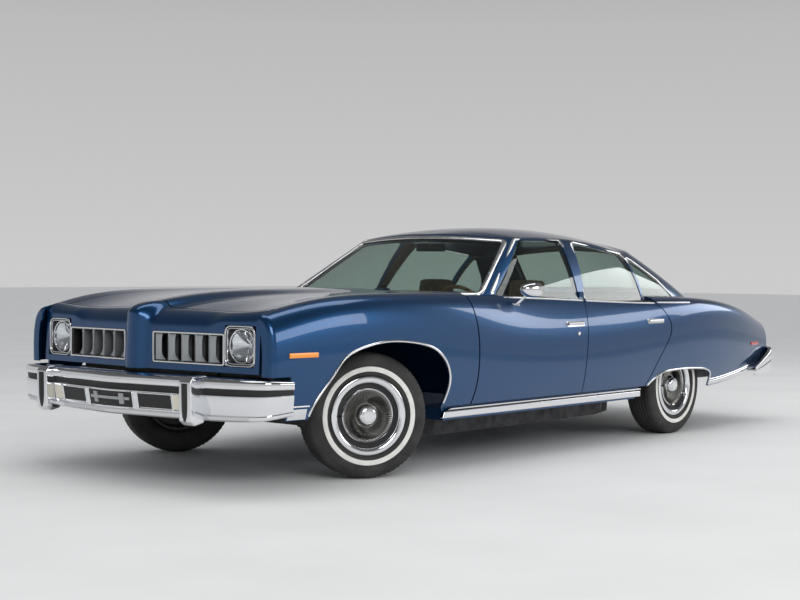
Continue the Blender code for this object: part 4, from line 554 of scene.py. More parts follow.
class BodySurface:
    """The body's outer form: a cross-section pulled by ten points, each with its own run along the car."""

    STATIONS = (-2.62, -2.2, -1.75, -1.3, -0.9, -0.3, 0.4, 0.95, 1.6, 2.15, 2.45)
    ACROSS = (
        (0.840, 0.885, 0.905, 0.915, 0.920, 0.925, 0.925, 0.925, 0.920, 0.905, 0.885),
        (0.870, 0.925, 0.955, 0.965, 0.970, 0.975, 0.975, 0.975, 0.970, 0.950, 0.920),
        (0.885, 0.950, 0.985, 0.995, 0.995, 0.993, 0.993, 0.995, 0.992, 0.972, 0.940),
        (0.880, 0.945, 0.985, 0.992, 0.982, 0.968, 0.968, 0.982, 0.988, 0.972, 0.940),
        (0.850, 0.920, 0.962, 0.958, 0.925, 0.895, 0.897, 0.942, 0.968, 0.955, 0.925),
        (0.790, 0.860, 0.885, 0.870, 0.850, 0.842, 0.848, 0.875, 0.900, 0.890, 0.865),
        (0.690, 0.750, 0.780, 0.770, 0.770, 0.775, 0.780, 0.790, 0.800, 0.795, 0.780),
        (0.480, 0.520, 0.550, 0.560, 0.570, 0.580, 0.580, 0.580, 0.560, 0.540, 0.520),
        (0.240, 0.260, 0.280, 0.280, 0.290, 0.290, 0.290, 0.290, 0.280, 0.270, 0.260),
        (0.000,) * 11,
    )
    UP = (
        (0.330, 0.290, 0.255, 0.250, 0.250, 0.250, 0.250, 0.250, 0.250, 0.270, 0.290),
        (0.430, 0.410, 0.385, 0.380, 0.380, 0.380, 0.380, 0.380, 0.380, 0.390, 0.400),
        (0.540, 0.550, 0.555, 0.560, 0.560, 0.560, 0.560, 0.560, 0.565, 0.560, 0.545),
        (0.620, 0.690, 0.730, 0.740, 0.740, 0.735, 0.735, 0.750, 0.765, 0.745, 0.690),
        (0.690, 0.785, 0.850, 0.865, 0.862, 0.855, 0.865, 0.888, 0.905, 0.875, 0.805),
        (0.735, 0.830, 0.890, 0.912, 0.915, 0.925, 0.938, 0.952, 0.958, 0.925, 0.860),
        (0.755, 0.842, 0.890, 0.905, 0.915, 0.930, 0.945, 0.952, 0.945, 0.908, 0.850),
        (0.780, 0.862, 0.900, 0.912, 0.920, 0.935, 0.945, 0.940, 0.925, 0.885, 0.835),
        (0.795, 0.872, 0.908, 0.918, 0.925, 0.938, 0.950, 0.950, 0.938, 0.898, 0.850),
        (0.800, 0.876, 0.910, 0.920, 0.926, 0.940, 0.952, 0.955, 0.942, 0.902, 0.852),
    )
    CREST_SHARE = 0.60

    def __init__(self) -> None:
        """Works out the section's weights and the guides of its ten points."""
        self.samples = np.linspace(0.0, 1.0, 1921)
        self.weights = spline_weights(self.samples, len(self.ACROSS))
        self.guides = [
            (
                Guide(*zip(self.STATIONS, ys)), Guide(*zip(self.STATIONS, zs))
            ) for ys, zs in zip(self.ACROSS, self.UP)
        ]
        self.cache: dict[float, np.ndarray] = {}

    def section(self, x: float) -> np.ndarray:
        """The (y, z) points of the left half section at x, from sill to middle.

        Args:
            x: Where along the car.

        Returns:
            The section's points.
        """
        key = round(x, 6)
        if key not in self.cache:
            self.cache[key] = self.weights @ np.array([(across(x), up(x)) for across, up in self.guides])
        return self.cache[key]

    def point(self, x: float, share: float) -> Flat:
        """The (y, z) point at a share of the section's run.

        Args:
            x: Where along the car.
            share: Share of the section's run, 0 at the sill.

        Returns:
            The point.
        """
        points = self.section(x)
        return (
            float(np.interp(share, self.samples, points[:, 0])),
            float(np.interp(share, self.samples, points[:, 1])),
        )

    def normal(self, x: float, share: float) -> Vector:
        """The outward (y, z) direction of the section there.

        Args:
            x: Where along the car.
            share: Share of the section's run, 0 at the sill.

        Returns:
            The direction.
        """
        low, high = self.point(x, max(share - 0.01, 0)), self.point(x, min(share + 0.01, 1))
        along = Vector((high[0] - low[0], high[1] - low[1])).normalized()
        return Vector((along.y, -along.x))

    def share_at_z(self, x: float, z: float) -> float:
        """Where the side reaches a height.

        Args:
            x: Where along the car.
            z: The height.

        Returns:
            Share of the section's run.
        """
        points = self.section(x)
        top = int(np.argmax(points[self.samples <= self.CREST_SHARE, 1])) + 1
        return float(np.interp(z, points[:top, 1], self.samples[:top]))

    def share_at_y(self, x: float, y: float) -> float:
        """Where the top reaches a distance from the middle.

        Args:
            x: Where along the car.
            y: The distance from the middle.

        Returns:
            Share of the section's run.
        """
        points = self.section(x)
        upper = self.samples >= 0.35
        return float(np.interp(-y, -points[upper, 0], self.samples[upper]))

    def side_y(self, x: float, z: float) -> float:
        """Half width of the body side at a height."""
        return self.point(x, self.share_at_z(x, z))[0]

    def top_z(self, x: float, y: float) -> float:
        """Height of hood, deck or fender top at a distance from the middle."""
        return self.point(x, self.share_at_y(x, abs(y)))[1]


BODY = BodySurface()

BELT_Z = Guide((-1.75, 0.868), (-1.2, 0.871), (-0.6, 0.885), (0.0, 0.908), (0.6, 0.926), (0.95, 0.932))
DOOR_FRONT_CUT = Guide((0.33, 0.984), (0.42, 0.960), (0.55, 0.945), (0.75, 0.940), (0.93, 0.950))
DOOR_MIDDLE_CUT = Guide((0.33, -0.095), (0.50, -0.102), (0.66, -0.135), (0.80, -0.195), (0.91, -0.262))
DOOR_REAR_CUT = Guide(
    (0.33, -0.805),
    (0.42, -0.868),
    (0.50, -0.925),
    (0.60, -1.015),
    (0.70, -1.085),
    (0.78, -1.070),
    (0.88, -0.995),
)
QUARTER_LOW_Z = Guide((-2.60, 0.425), (-2.2, 0.358), (-1.65, 0.300), (-1.30, 0.300), (-0.80, 0.347))
FRONT_ARCH = [
    (2.215, 0.25),
    (2.195, 0.40),
    (2.085, 0.545),
    (1.965, 0.655),
    (1.700, 0.705),
    (1.410, 0.680),
    (1.262, 0.615),
    (1.198, 0.505),
    (1.222, 0.385),
    (1.285, 0.25),
]
REAR_ARCH = [
    (-0.770, 0.25),
    (-0.830, 0.335),
    (-0.985, 0.415),
    (-1.150, 0.432),
    (-1.420, 0.430),
    (-1.600, 0.412),
    (-1.660, 0.365),
    (-1.665, 0.25),
]


# Mesh building


def smooth_line(
    points: Sequence[Sequence[float]], steps: int, closed: bool = False
) -> list[tuple[float, ...]]:
    """A Catmull-Rom line through the points, flat or in space.

    Args:
        points: The points to pass through.
        steps: How many steps from one to the next.
        closed: Whether it closes on itself.

    Returns:
        The line's points.
    """
    array = [np.array(p, float) for p in points]
    count = len(array)
    line = []
    for i in range(count if closed else count - 1):
        if closed:
            a, b, c, d = (array[(i + k) % count] for k in (-1, 0, 1, 2))
        else:
            b, c = array[i], array[i + 1]
            a = array[i - 1] if i > 0 else 2 * b - c
            d = array[i + 2] if i + 2 < count else 2 * c - b
        for k in range(steps):
            t = k / steps
            blend = 2 * b + (c - a) * t + (
                2 * a - 5 * b + 4 * c - d
            ) * t**2 + (3 * b - a - 3 * c + d) * t**3
            line.append(tuple(float(v) for v in blend / 2))
    if not closed:
        line.append(tuple(float(v) for v in array[-1]))
    return line


def rounded(outline: Sequence[Flat], radius: float, steps: int = 6) -> list[Flat]:
    """A polygon with each corner replaced by an arc of that radius, or less where its sides are short.

    Args:
        outline: The polygon's corners.
        radius: The arcs' radius.
        steps: How many steps in each arc.

    Returns:
        The rounded polygon.
    """
    points: list[Flat] = []
    count = len(outline)
    for i, place in enumerate(outline):
        corner = Vector(place)
        back, onward = Vector(outline[i - 1]) - corner, Vector(outline[(i + 1) % count]) - corner
        half = back.angle(onward) / 2
        reach = min(radius / math.tan(half), 0.45 * back.length, 0.45 * onward.length)
        start, end = corner + back.normalized() * reach, corner + onward.normalized() * reach
        for k in range(steps + 1):
            share = k / steps
            points.append(tuple(start.lerp(corner, share).lerp(corner.lerp(end, share), share)))
    return points


def inset(outline: Sequence[Flat], amount: float) -> list[Flat]:
    """A polygon moved in by an amount on every side.

    Args:
        outline: The polygon's points.
        amount: How far in, or out when negative.

    Returns:
        The moved points.
    """
    area = sum(a[0] * b[1] - b[0] * a[1] for a, b in zip(outline, [*outline[1:], outline[0]])) / 2
    turn = 1 if area > 0 else -1
    moved = []
    for i, place in enumerate(outline):
        point = Vector(place)
        first = (point - Vector(outline[i - 1])).normalized()
        second = (Vector(outline[(i + 1) % len(outline)]) - point).normalized()
        side = Vector((-first.y, first.x)) + Vector((-second.y, second.x))
        moved.append(tuple(point + side * (turn * amount / max(side.length_squared / 2, 0.2))))
    return moved


def to_object(name: str, mesh: bpy.types.Mesh, look: str) -> bpy.types.Object:
    """A linked object of that mesh with one material.

    Args:
        name: The object's name.
        mesh: Its mesh.
        look: The finish.

    Returns:
        The object.
    """
    made = bpy.data.objects.new(name, mesh)
    bpy.context.scene.collection.objects.link(made)
    mesh.materials.clear()
    mesh.materials.append(LOOK(look))
    return made


def from_faces(
    name: str,
    points: Iterable[Sequence[float]],
    faces: Iterable[Sequence[int]],
    look: str,
    angle: float = 40,
) -> bpy.types.Object:
    """A smooth-shaded object from points and faces, with its sharp edges kept and its normals pointing out.

    Args:
        name: The object's name.
        points: The corners.
        faces: The faces, as corner numbers.
        look: The finish.
        angle: Edges sharper than these degrees stay sharp.

    Returns:
        The object.
    """
    mesh = bpy.data.meshes.new(name)
    mesh.from_pydata([tuple(p) for p in points], [], [tuple(f) for f in faces])
    shape = bmesh.new()
    shape.from_mesh(mesh)
    bmesh.ops.remove_doubles(shape, verts=shape.verts, dist=1e-6)
    bmesh.ops.recalc_face_normals(shape, faces=shape.faces)
    shape.to_mesh(mesh)
    shape.free()
    mesh.shade_smooth()
    mesh.set_sharp_from_angle(angle=math.radians(angle))
    return to_object(name, mesh, look)


def grid_faces(
    rows: int, columns: int, start: int = 0, wrap: bool = False, flip: bool = False
) -> list[tuple[int, ...]]:
    """Quads over a grid of numbered points.

    Args:
        rows: How many rows of points.
        columns: How many points in a row.
        start: Number of the first point.
        wrap: Whether each row closes on itself.
        flip: Whether the faces look the other way.

    Returns:
        The quads.
    """
    faces = []
    for j in range(rows - 1):
        for i in range(columns if wrap else columns - 1):
            k = (i + 1) % columns
            a, b = start + j * columns + i, start + j * columns + k
            quad = (a, b, b + columns, a + columns)
            faces.append(quad[::-1] if flip else quad)
    return faces


def edge_faces(rows: int, columns: int) -> list[tuple[int, ...]]:
    """Quads round the edge of a grid, down to the same grid's copy behind it.

    Args:
        rows: How many rows of points.
        columns: How many points in a row.

    Returns:
        The quads.
    """
    size = rows * columns
    rim = list(range(columns)) + [j * columns + columns - 1 for j in range(1, rows)]
    rim += [(rows - 1) * columns + i for i in range(columns - 2, -1, -1)]
    rim += [j * columns for j in range(rows - 2, 0, -1)]
    return [(a, b, b + size, a + size) for a, b in zip(rim, [*rim[1:], rim[0]])]


def plate_faces(rows: int, columns: int) -> list[tuple[int, ...]]:
    """The faces of a closed plate between a grid and its copy.

    Args:
        rows: How many rows of points.
        columns: How many points in a row.

    Returns:
        The quads.
    """
    size = rows * columns
    faces = grid_faces(rows, columns) + grid_faces(rows, columns, size, flip=True)
    return faces + edge_faces(rows, columns)


def prism(
    name: str,
    outline: Sequence[Flat],
    low: float,
    high: float,
    plane: str = "XZ",
    look: str = "black",
    bevel: float = 0.0,
) -> bpy.types.Object:
    """A flat outline extruded between two levels across its plane: XZ along Y, YZ along X, XY along Z.

    Args:
        name: The object's name.
        outline: The flat points.
        low: The lower level.
        high: The upper level.
        plane: The plane that the outline lies in.
        look: The finish.
        bevel: Width of its rounded edges, or 0.

    Returns:
        The solid.
    """
    place = {
        "XZ": lambda u, v, w: (u, w, v),
        "YZ": lambda u, v, w: (w, u, v),
        "XY": lambda u, v, w: (u, v, w),
    }[plane]
    count = len(outline)
    points = [place(u, v, w) for w in (low, high) for u, v in outline]
    faces = [tuple(range(count)), tuple(range(count, 2 * count))]
    faces += [(i, (i + 1) % count, count + (i + 1) % count, count + i) for i in range(count)]
    made = from_faces(name, points, faces, look)
    if bevel:
        add_bevel(made, bevel)
    return made


def add_bevel(piece: bpy.types.Object, width: float, segments: int = 2) -> bpy.types.Object:
    """Rounds the piece's sharp edges.

    Args:
        piece: The object.
        width: The bevel's width.
        segments: Its steps.

    Returns:
        The same object.
    """
    bevel = piece.modifiers.new("bevel", "BEVEL")
    bevel.width = width
    bevel.segments = segments
    bevel.limit_method = "ANGLE"
    bevel.angle_limit = math.radians(40)
    bevel.harden_normals = True
    return piece


def applied(piece: bpy.types.Object) -> bpy.types.Object:
    """The same object with its modifiers applied.

    Args:
        piece: The object.

    Returns:
        The same object.
    """
    bpy.context.view_layer.update()
    graph = bpy.context.evaluated_depsgraph_get()
    mesh = bpy.data.meshes.new_from_object(piece.evaluated_get(graph))
    piece.modifiers.clear()
    piece.data = mesh
    return piece


def cut(
    piece: bpy.types.Object, *cutters: bpy.types.Object, operation: str = "DIFFERENCE"
) -> bpy.types.Object:
    """Applies a Boolean with each cutter, which is then thrown away.

    Args:
        piece: The object.
        cutters: The shapes to cut with.
        operation: The Boolean's kind.

    Returns:
        The same object.
    """
    for cutter in cutters:
        boolean = piece.modifiers.new("cut", "BOOLEAN")
        boolean.operation = operation
        boolean.solver = "MANIFOLD"
        boolean.object = cutter
    applied(piece)
    for cutter in cutters:
        bpy.data.objects.remove(cutter)
    return piece


def turned(
    name: str, profile: Sequence[Flat], segments: int, look: str, closed: bool = True, angle: float = 35
) -> bpy.types.Object:
    """A profile of (radius, along) points turned about the Y axis.

    Args:
        name: The object's name.
        profile: The (radius, along) points.
        segments: How many steps round the axis.
        look: The finish.
        closed: Whether the profile closes on itself.
        angle: Edges sharper than these degrees stay sharp.

    Returns:
        The object.
    """
    turns = np.linspace(0, math.tau, segments, endpoint=False)
    points = [(r * math.cos(t), along, r * math.sin(t)) for r, along in profile for t in turns]
    faces = grid_faces(len(profile), segments, wrap=True)
    if closed:
        last = (len(profile) - 1) * segments
        for i in range(segments):
            k = (i + 1) % segments
            faces.append((last + i, last + k, k, i))
    return from_faces(name, points, faces, look, angle)


def swept(
    name: str,
    path: Sequence[Sequence[float]],
    outward: Outward | list[Vector],
    profile: Sequence[Flat],
    look: str,
    closed: bool = False,
    angle: float = 35,
) -> bpy.types.Object:
    """A closed profile of (across, out) points carried along a path.

    Args:
        name: The object's name.
        path: The points to follow.
        outward: Out direction at a point, or one for each point.
        profile: The (across, out) points.
        look: The finish.
        closed: Whether the path closes on itself.
        angle: Edges sharper than these degrees stay sharp.

    Returns:
        The object.
    """
    line = [Vector(p) for p in path]
    count = len(line)
    points = []
    for i, place in enumerate(line):
        before = line[i - 1] if closed or i else line[i]
        after = line[(i + 1) % count] if closed or i < count - 1 else line[i]
        along = (after - before).normalized()
        out = Vector(outward[i] if isinstance(outward, list) else outward(place)).normalized()
        side = along.cross(out).normalized()
        out = side.cross(along).normalized()
        points += [place + side * a + out * b for a, b in profile]
    across = len(profile)
    faces = grid_faces(count, across, wrap=True)
    if closed:
        last = (count - 1) * across
        faces += [(last + i, last + (i + 1) % across, (i + 1) % across, i) for i in range(across)]
    else:
        faces += [tuple(range(across)), tuple(range((count - 1) * across, count * across))]
    return from_faces(name, points, faces, look, angle)


def dome(width: float, height: float, sink: float = 0.002, steps: int = 6) -> list[Flat]:
    """A bright moulding's section: a low dome on a base that sinks a little below its line.

    Args:
        width: Its width.
        height: Its height.
        sink: How far its base sinks.
        steps: How many steps in its arc.

    Returns:
        The section's points.
    """
    arc = [
        (width / 2 * math.cos(math.pi * k / steps), height * math.sin(math.pi * k / steps))
        for k in range(steps + 1)
    ]
    return [(width / 2, -sink), *arc, (-width / 2, -sink)]


def ring(radius: float, steps: int = 8) -> list[Flat]:
    """A round section."""
    return [
        (radius * math.cos(math.tau * k / steps), radius * math.sin(math.tau * k / steps))
        for k in range(steps)
    ]


def joined(name: str, pieces: Sequence[bpy.types.Object]) -> bpy.types.Object:
    """Several objects as one, each part keeping its material.

    Args:
        name: The object's name.
        pieces: The objects, which are used up.

    Returns:
        The joined object.
    """
    points: list[Vector] = []
    faces, looks, slots, smooth = [], [], [], []
    for piece in pieces:
        applied(piece)
        base = len(points)
        points += [piece.matrix_world @ v.co for v in piece.data.vertices]
        for face in piece.data.polygons:
            material = piece.data.materials[face.material_index]
            if material not in looks:
                looks.append(material)
            faces.append(tuple(base + v for v in face.vertices))
            slots.append(looks.index(material))
        bpy.data.objects.remove(piece)
    mesh = bpy.data.meshes.new(name)
    mesh.from_pydata([tuple(p) for p in points], [], faces)
    for material in looks:
        mesh.materials.append(material)
    mesh.polygons.foreach_set("material_index", slots)
    mesh.shade_smooth()
    mesh.set_sharp_from_angle(angle=math.radians(35))
    made = bpy.data.objects.new(name, mesh)
    bpy.context.scene.collection.objects.link(made)
    return made


class Panel:
    """A body panel over a dense grid of points, which keeps that grid's smooth normals after it is cut."""

    def __init__(
        self, name: str, rows: Sequence[Sequence[Point]], outward: Outward, loop: bool = False
    ) -> None:
        """Works out the grid's normals.

        Args:
            name: The object's name.
            rows: The outer points, row by row.
            outward: Rough outward direction at a point.
            loop: Whether each row closes on itself.
        """
        self.name = name
        self.loop = loop
        self.grid = np.array(rows, float)
        ahead = np.gradient(self.grid, axis=0)
        if loop:
            beside = np.roll(self.grid, -1, axis=1) - np.roll(self.grid, 1, axis=1)
        else:
            beside = np.gradient(self.grid, axis=1)
        normals = np.cross(beside, ahead)
        lengths = np.linalg.norm(normals, axis=2, keepdims=True)
        normals = normals / np.maximum(lengths, 1e-12)
        middle = (self.grid.shape[0] // 2, self.grid.shape[1] // 2)
        if Vector(normals[middle]).dot(outward(Vector(self.grid[middle]))) < 0:
            normals = -normals
        self.normals = normals
        self.tree: BVHTree | None = None

    def moved(self, points: Sequence[Sequence[float]]) -> list[Point]:
        """Rows flattened to one list."""
        return [tuple(p) for p in np.asarray(points).reshape(-1, 3)]

    def solid(self, thickness: float, look: str, inner: np.ndarray | None = None) -> bpy.types.Object:
        """The panel as a closed solid, down to its thickness or to a given inner grid.

        Args:
            thickness: How thick it is.
            look: The finish.
            inner: The inner points, where it isn't of even thickness.

        Returns:
            The solid.
        """
        if inner is None:
            inner = self.grid - self.normals * thickness
        rows, columns = self.grid.shape[:2]
        points = self.moved(self.grid) + self.moved(inner)
        size = rows * columns
        faces = grid_faces(rows, columns, 0, self.loop) + grid_faces(
            rows, columns, size, self.loop, flip=True
        )
        if self.loop:
            for j in (0, rows - 1):
                for i in range(columns):
                    a, b = j * columns + i, j * columns + (i + 1) % columns
                    faces.append((a, b, b + size, a + size))
        else:
            faces += edge_faces(rows, columns)
        return from_faces(self.name, points, faces, look)

    def index(self) -> BVHTree:
        """A search tree of the outer grid.

        Returns:
            The tree.
        """
        if self.tree is None:
            rows, columns = self.grid.shape[:2]
            quads = grid_faces(rows, columns, 0, self.loop)
            self.corners = [t for a, b, c, d in quads for t in ((a, b, c), (a, c, d))]
            self.places = [Vector(p) for p in self.grid.reshape(-1, 3)]
            self.directions = [Vector(n) for n in self.normals.reshape(-1, 3)]
            self.tree = BVHTree.FromPolygons(self.places, self.corners)
        return self.tree

    def at(self, place: Vector) -> tuple[Vector, Vector, float]:
        """Nearest outer point, its smooth normal and its distance.

        Args:
            place: Where to look from.

        Returns:
            The point, the normal and the distance.
        """
        found, _, index, distance = self.index().find_nearest(place)
        corners = self.corners[index]
        weights = poly_3d_calc([self.places[c] for c in corners], found)
        normal = sum((self.directions[c] * w for c, w in zip(corners, weights)), Vector())
        return found, normal.normalized(), distance

    def hit(self, start: Vector, along: Vector) -> tuple[Vector, Vector]:
        """Where a ray meets the outer surface, with the smooth normal there.

        Args:
            start: Where the ray starts.
            along: Its direction.

        Returns:
            The point and the normal.
        """
        found, _, index, _ = self.index().ray_cast(start, along.normalized())
        if found is None:
            found = self.index().find_nearest(start)[0]
        return self.at(found)[:2]

    def dress(self, piece: bpy.types.Object) -> bpy.types.Object:
        """Gives the cut piece the smooth normals of the outer surface, and flat ones round its edges.

        Args:
            piece: The cut piece.

        Returns:
            The same piece.
        """
        mesh = piece.data
        found = [self.at(v.co) for v in mesh.vertices]
        normals = []
        for face in mesh.polygons:
            own = face.normal
            for corner in face.vertices:
                _, smooth, distance = found[corner]
                facing = own.dot(smooth)
                if distance < 4e-4 and facing > 0.7:
                    normals.append(smooth)
                elif facing < -0.7:
                    normals.append(-smooth)
                else:
                    normals.append(own)
        mesh.shade_smooth()
        mesh.normals_split_custom_set(normals)
        return piece


def to_side(rows: Sequence[Sequence[Point]], sign: int) -> list[list[Point]]:
    """Rows of left-hand points put on the side asked for."""
    return [[(x, sign * y, z) for x, y, z in row] for row in rows]


def away(point: Vector) -> Vector:
    """Outward direction on the body side."""
    return Vector((0, math.copysign(1, point.y), 0.3))


def upward(point: Vector) -> Vector:
    """Outward direction on top."""
    return Vector((0, 0, 1))


def block(name: str, low: Sequence[float], high: Sequence[float], look: str = "black") -> bpy.types.Object:
    """A box between two corners, for cutting and as the base of bevelled shapes.

    Args:
        name: The object's name.
        low: One corner.
        high: The opposite corner.
        look: The finish.

    Returns:
        The box.
    """
    (x0, y0, z0), (x1, y1, z1) = low, high
    y0, y1 = sorted((y0, y1))
    return prism(name, [(x0, z0), (x1, z0), (x1, z1), (x0, z1)], y0, y1, "XZ", look)


def set_on(piece: bpy.types.Object, body: str, *nodes: str, slot: str | None = None) -> bpy.types.Object:
    """Lets a piece ride on a body and stand for CAD nodes.

    Args:
        piece: The object.
        body: The body that it rides on.
        nodes: The CAD nodes that it stands for.
        slot: Not used.

    Returns:
        The same object.
    """
    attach(piece, body)
    if nodes:
        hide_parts(*nodes)
    return piece


# Body panels


def side_place(
    low_z: Callable[[float], float],
    front: Callable[[float], float],
    rear: Callable[[float], float],
    inner_y: float | None,
    along: float,
    up: float,
) -> tuple[float, float, float, float]:
    """A point of a side panel, between its two cut lines and between its lower and upper edge.

    Args:
        low_z: Height of the lower edge at an x.
        front: The front cut line's x at a height.
        rear: The rear cut line's x at a height.
        inner_y: Where across the car the top ends, or None for the belt.
        along: Share of its length, 0 at the front.
        up: Share of the way up.

    Returns:
        The point, and its share of the section's run.
    """
    x, share, z = -0.5, 0.0, 0.6
    x = front(z) + (rear(z) - front(z)) * along
    for _ in range(4):
        low = BODY.share_at_z(x, low_z(x))
        high = BODY.share_at_y(x, inner_y) if inner_y is not None else BODY.share_at_z(x, BELT_Z(x))
        share = low + (high - low) * up
        z = BODY.point(x, share)[1]
        x = front(z) + (rear(z) - front(z)) * along
    y, z = BODY.point(x, share)
    return x, y, z, share


def fender_rows() -> list[list[Point]]:
    """The left front fender, with its rounded front edge.

    Returns:
        Rows of points from the sill up.
    """
    corner, reach = 0.035, HOOD_HALF_WIDTH + SHUT_GAP
    rows = []
    for j in range(41):
        row = []
        share = 0.0
        for i in range(45):
            x, y, z, share = side_place(
                lambda x: DOOR_BOTTOM,
                lambda z: DOOR_FRONT_CUT(z) + SHUT_GAP,
                lambda z: FENDER_FRONT_X,
                reach,
                i / 44,
                j / 40,
            )
            row.append((x, y, z))
        y, z = BODY.point(FENDER_FRONT_X, share)
        across = BODY.normal(FENDER_FRONT_X, share)
        for k in range(1, 7):
            angle = math.radians(15 * k)
            depth, ahead = corner * (1 - math.cos(angle)), FENDER_FRONT_X + corner * math.sin(angle)
            row.append((ahead, y - across.x * depth, z - across.y * depth))
        row.append((FENDER_FRONT_X + corner, y - across.x * 0.07, z - across.y * 0.07))
        rows.append(row)
    return rows


def hood_ridge(x: float, y: float) -> float:
    """Height that the hood's raised middle adds: narrow at the nose and wide at the cowl.

    Args:
        x: Where along the car.
        y: Where across the car.

    Returns:
        The added height.
    """
    back = (HOOD_FRONT_X - x) / (HOOD_FRONT_X - HOOD_REAR_X)
    width = 0.075 + 0.26 * back
    height = 0.036 - 0.026 * back
    return height * math.exp(-((abs(y) / width) ** 4))


def hood_z(x: float, y: float) -> float:
    """Height of the hood's outer face."""
    return BODY.top_z(x, y) + hood_ridge(x, y)


def across(half_width: float, count: int) -> list[float]:
    """Places across the car, closer together near the middle ridge."""
    return [float(half_width * (0.55 * s + 0.45 * s**3)) for s in np.linspace(-1, 1, count)]


def nose_front_x(y: float) -> float:
    """Front of the nose panel: a prow in the middle and faces that sweep back beside it.

    Args:
        y: Where across the car.

    Returns:
        Its x.
    """
    y = abs(y)
    return 2.487 - 0.062 * y + 0.05 * math.exp(-((y / 0.062) ** 4))


def brow_z(y: float) -> float:
    """Height where the nose panel's face begins, below the rounded brow.

    Args:
        y: Where across the car.

    Returns:
        The height.
    """
    y = abs(y)
    return 0.770 + 0.038 * smooth_step((y - 0.47) / 0.12) + 0.070 * math.exp(-((y / 0.075) ** 4))


LAMP_INNER_Y = 0.600
LAMP_OUTER_Y = 0.803
LAMP_TOP_Z = 0.798
GRILLE_INNER_Y = 0.105
GRILLE_TOP_Z = 0.757
GRILLE_BOTTOM_Z = 0.598
NOSE_SWEEP = 0.062


def front_room(sign: int) -> list[bpy.types.Object]:
    """Shapes that keep the fender clear of nose panel and bumper.

    Args:
        sign: 1 on the left and -1 on the right.

    Returns:
        The shapes.
    """
    return [
        block(
            "nose room",
            (HOOD_FRONT_X - SHUT_GAP, sign * 0.60, 0.40),
            (2.60, sign * (NOSE_HALF_WIDTH + SHUT_GAP), 1.0),
        ),
        block("bumper room", (2.345, sign * 0.60, 0.20), (2.60, sign * 1.1, FRONT_BUMPER_HIGH + 0.008)),
    ]


class Moulding:
    """Bright strips and small patches laid on a panel."""

    @staticmethod
    def along(
        name: str,
        panel: Panel,
        path: Sequence[Flat],
        sign: int,
        width: float,
        height: float,
        look: str = "chrome",
        closed: bool = False,
    ) -> bpy.types.Object:
        """A domed strip that follows (x, z) points on a side panel.

        Args:
            name: The object's name.
            panel: The panel below it.
            path: The (x, z) points.
            sign: 1 on the left and -1 on the right.
            width: Its width.
            height: Its height.
            look: The finish.
            closed: Whether it closes on itself.

        Returns:
            The strip.
        """
        places, outs = [], []
        for x, z in path:
            place, out = panel.hit(Vector((x, sign * 2.0, z)), Vector((0, -sign, 0)))
            places.append(place)
            outs.append(out)
        return swept(name, places, outs, dome(width, height), look, closed)

    @staticmethod
    def patch(
        name: str,
        panel: Panel,
        low: Flat,
        high: Flat,
        sign: int,
        rise: float,
        look: str,
        bulge: float = 0.0,
        columns: int = 10,
        rows: int = 4,
    ) -> bpy.types.Object:
        """A raised plate between two (x, z) corners that follows a side panel.

        Args:
            name: The object's name.
            panel: The panel below it.
            low: Its lower rear corner.
            high: Its upper front corner.
            sign: 1 on the left and -1 on the right.
            rise: How proud it stands.
            look: The finish.
            bulge: How much more its middle stands out.
            columns: How many steps along.
            rows: How many steps up.

        Returns:
            The plate.
        """
        tops, feet = [], []
        for j in range(rows + 1):
            for i in range(columns + 1):
                x = low[0] + (high[0] - low[0]) * i / columns
                z = low[1] + (high[1] - low[1]) * j / rows
                place, out = panel.hit(Vector((x, sign * 2.0, z)), Vector((0, -sign, 0)))
                edge = 4 * (j / rows) * (1 - j / rows)
                tops.append(place + out * (rise + bulge * edge))
                feet.append(place - out * 0.001)
        faces = plate_faces(rows + 1, columns + 1)
        return add_bevel(from_faces(name, [*tops, *feet], faces, look), 0.0015)


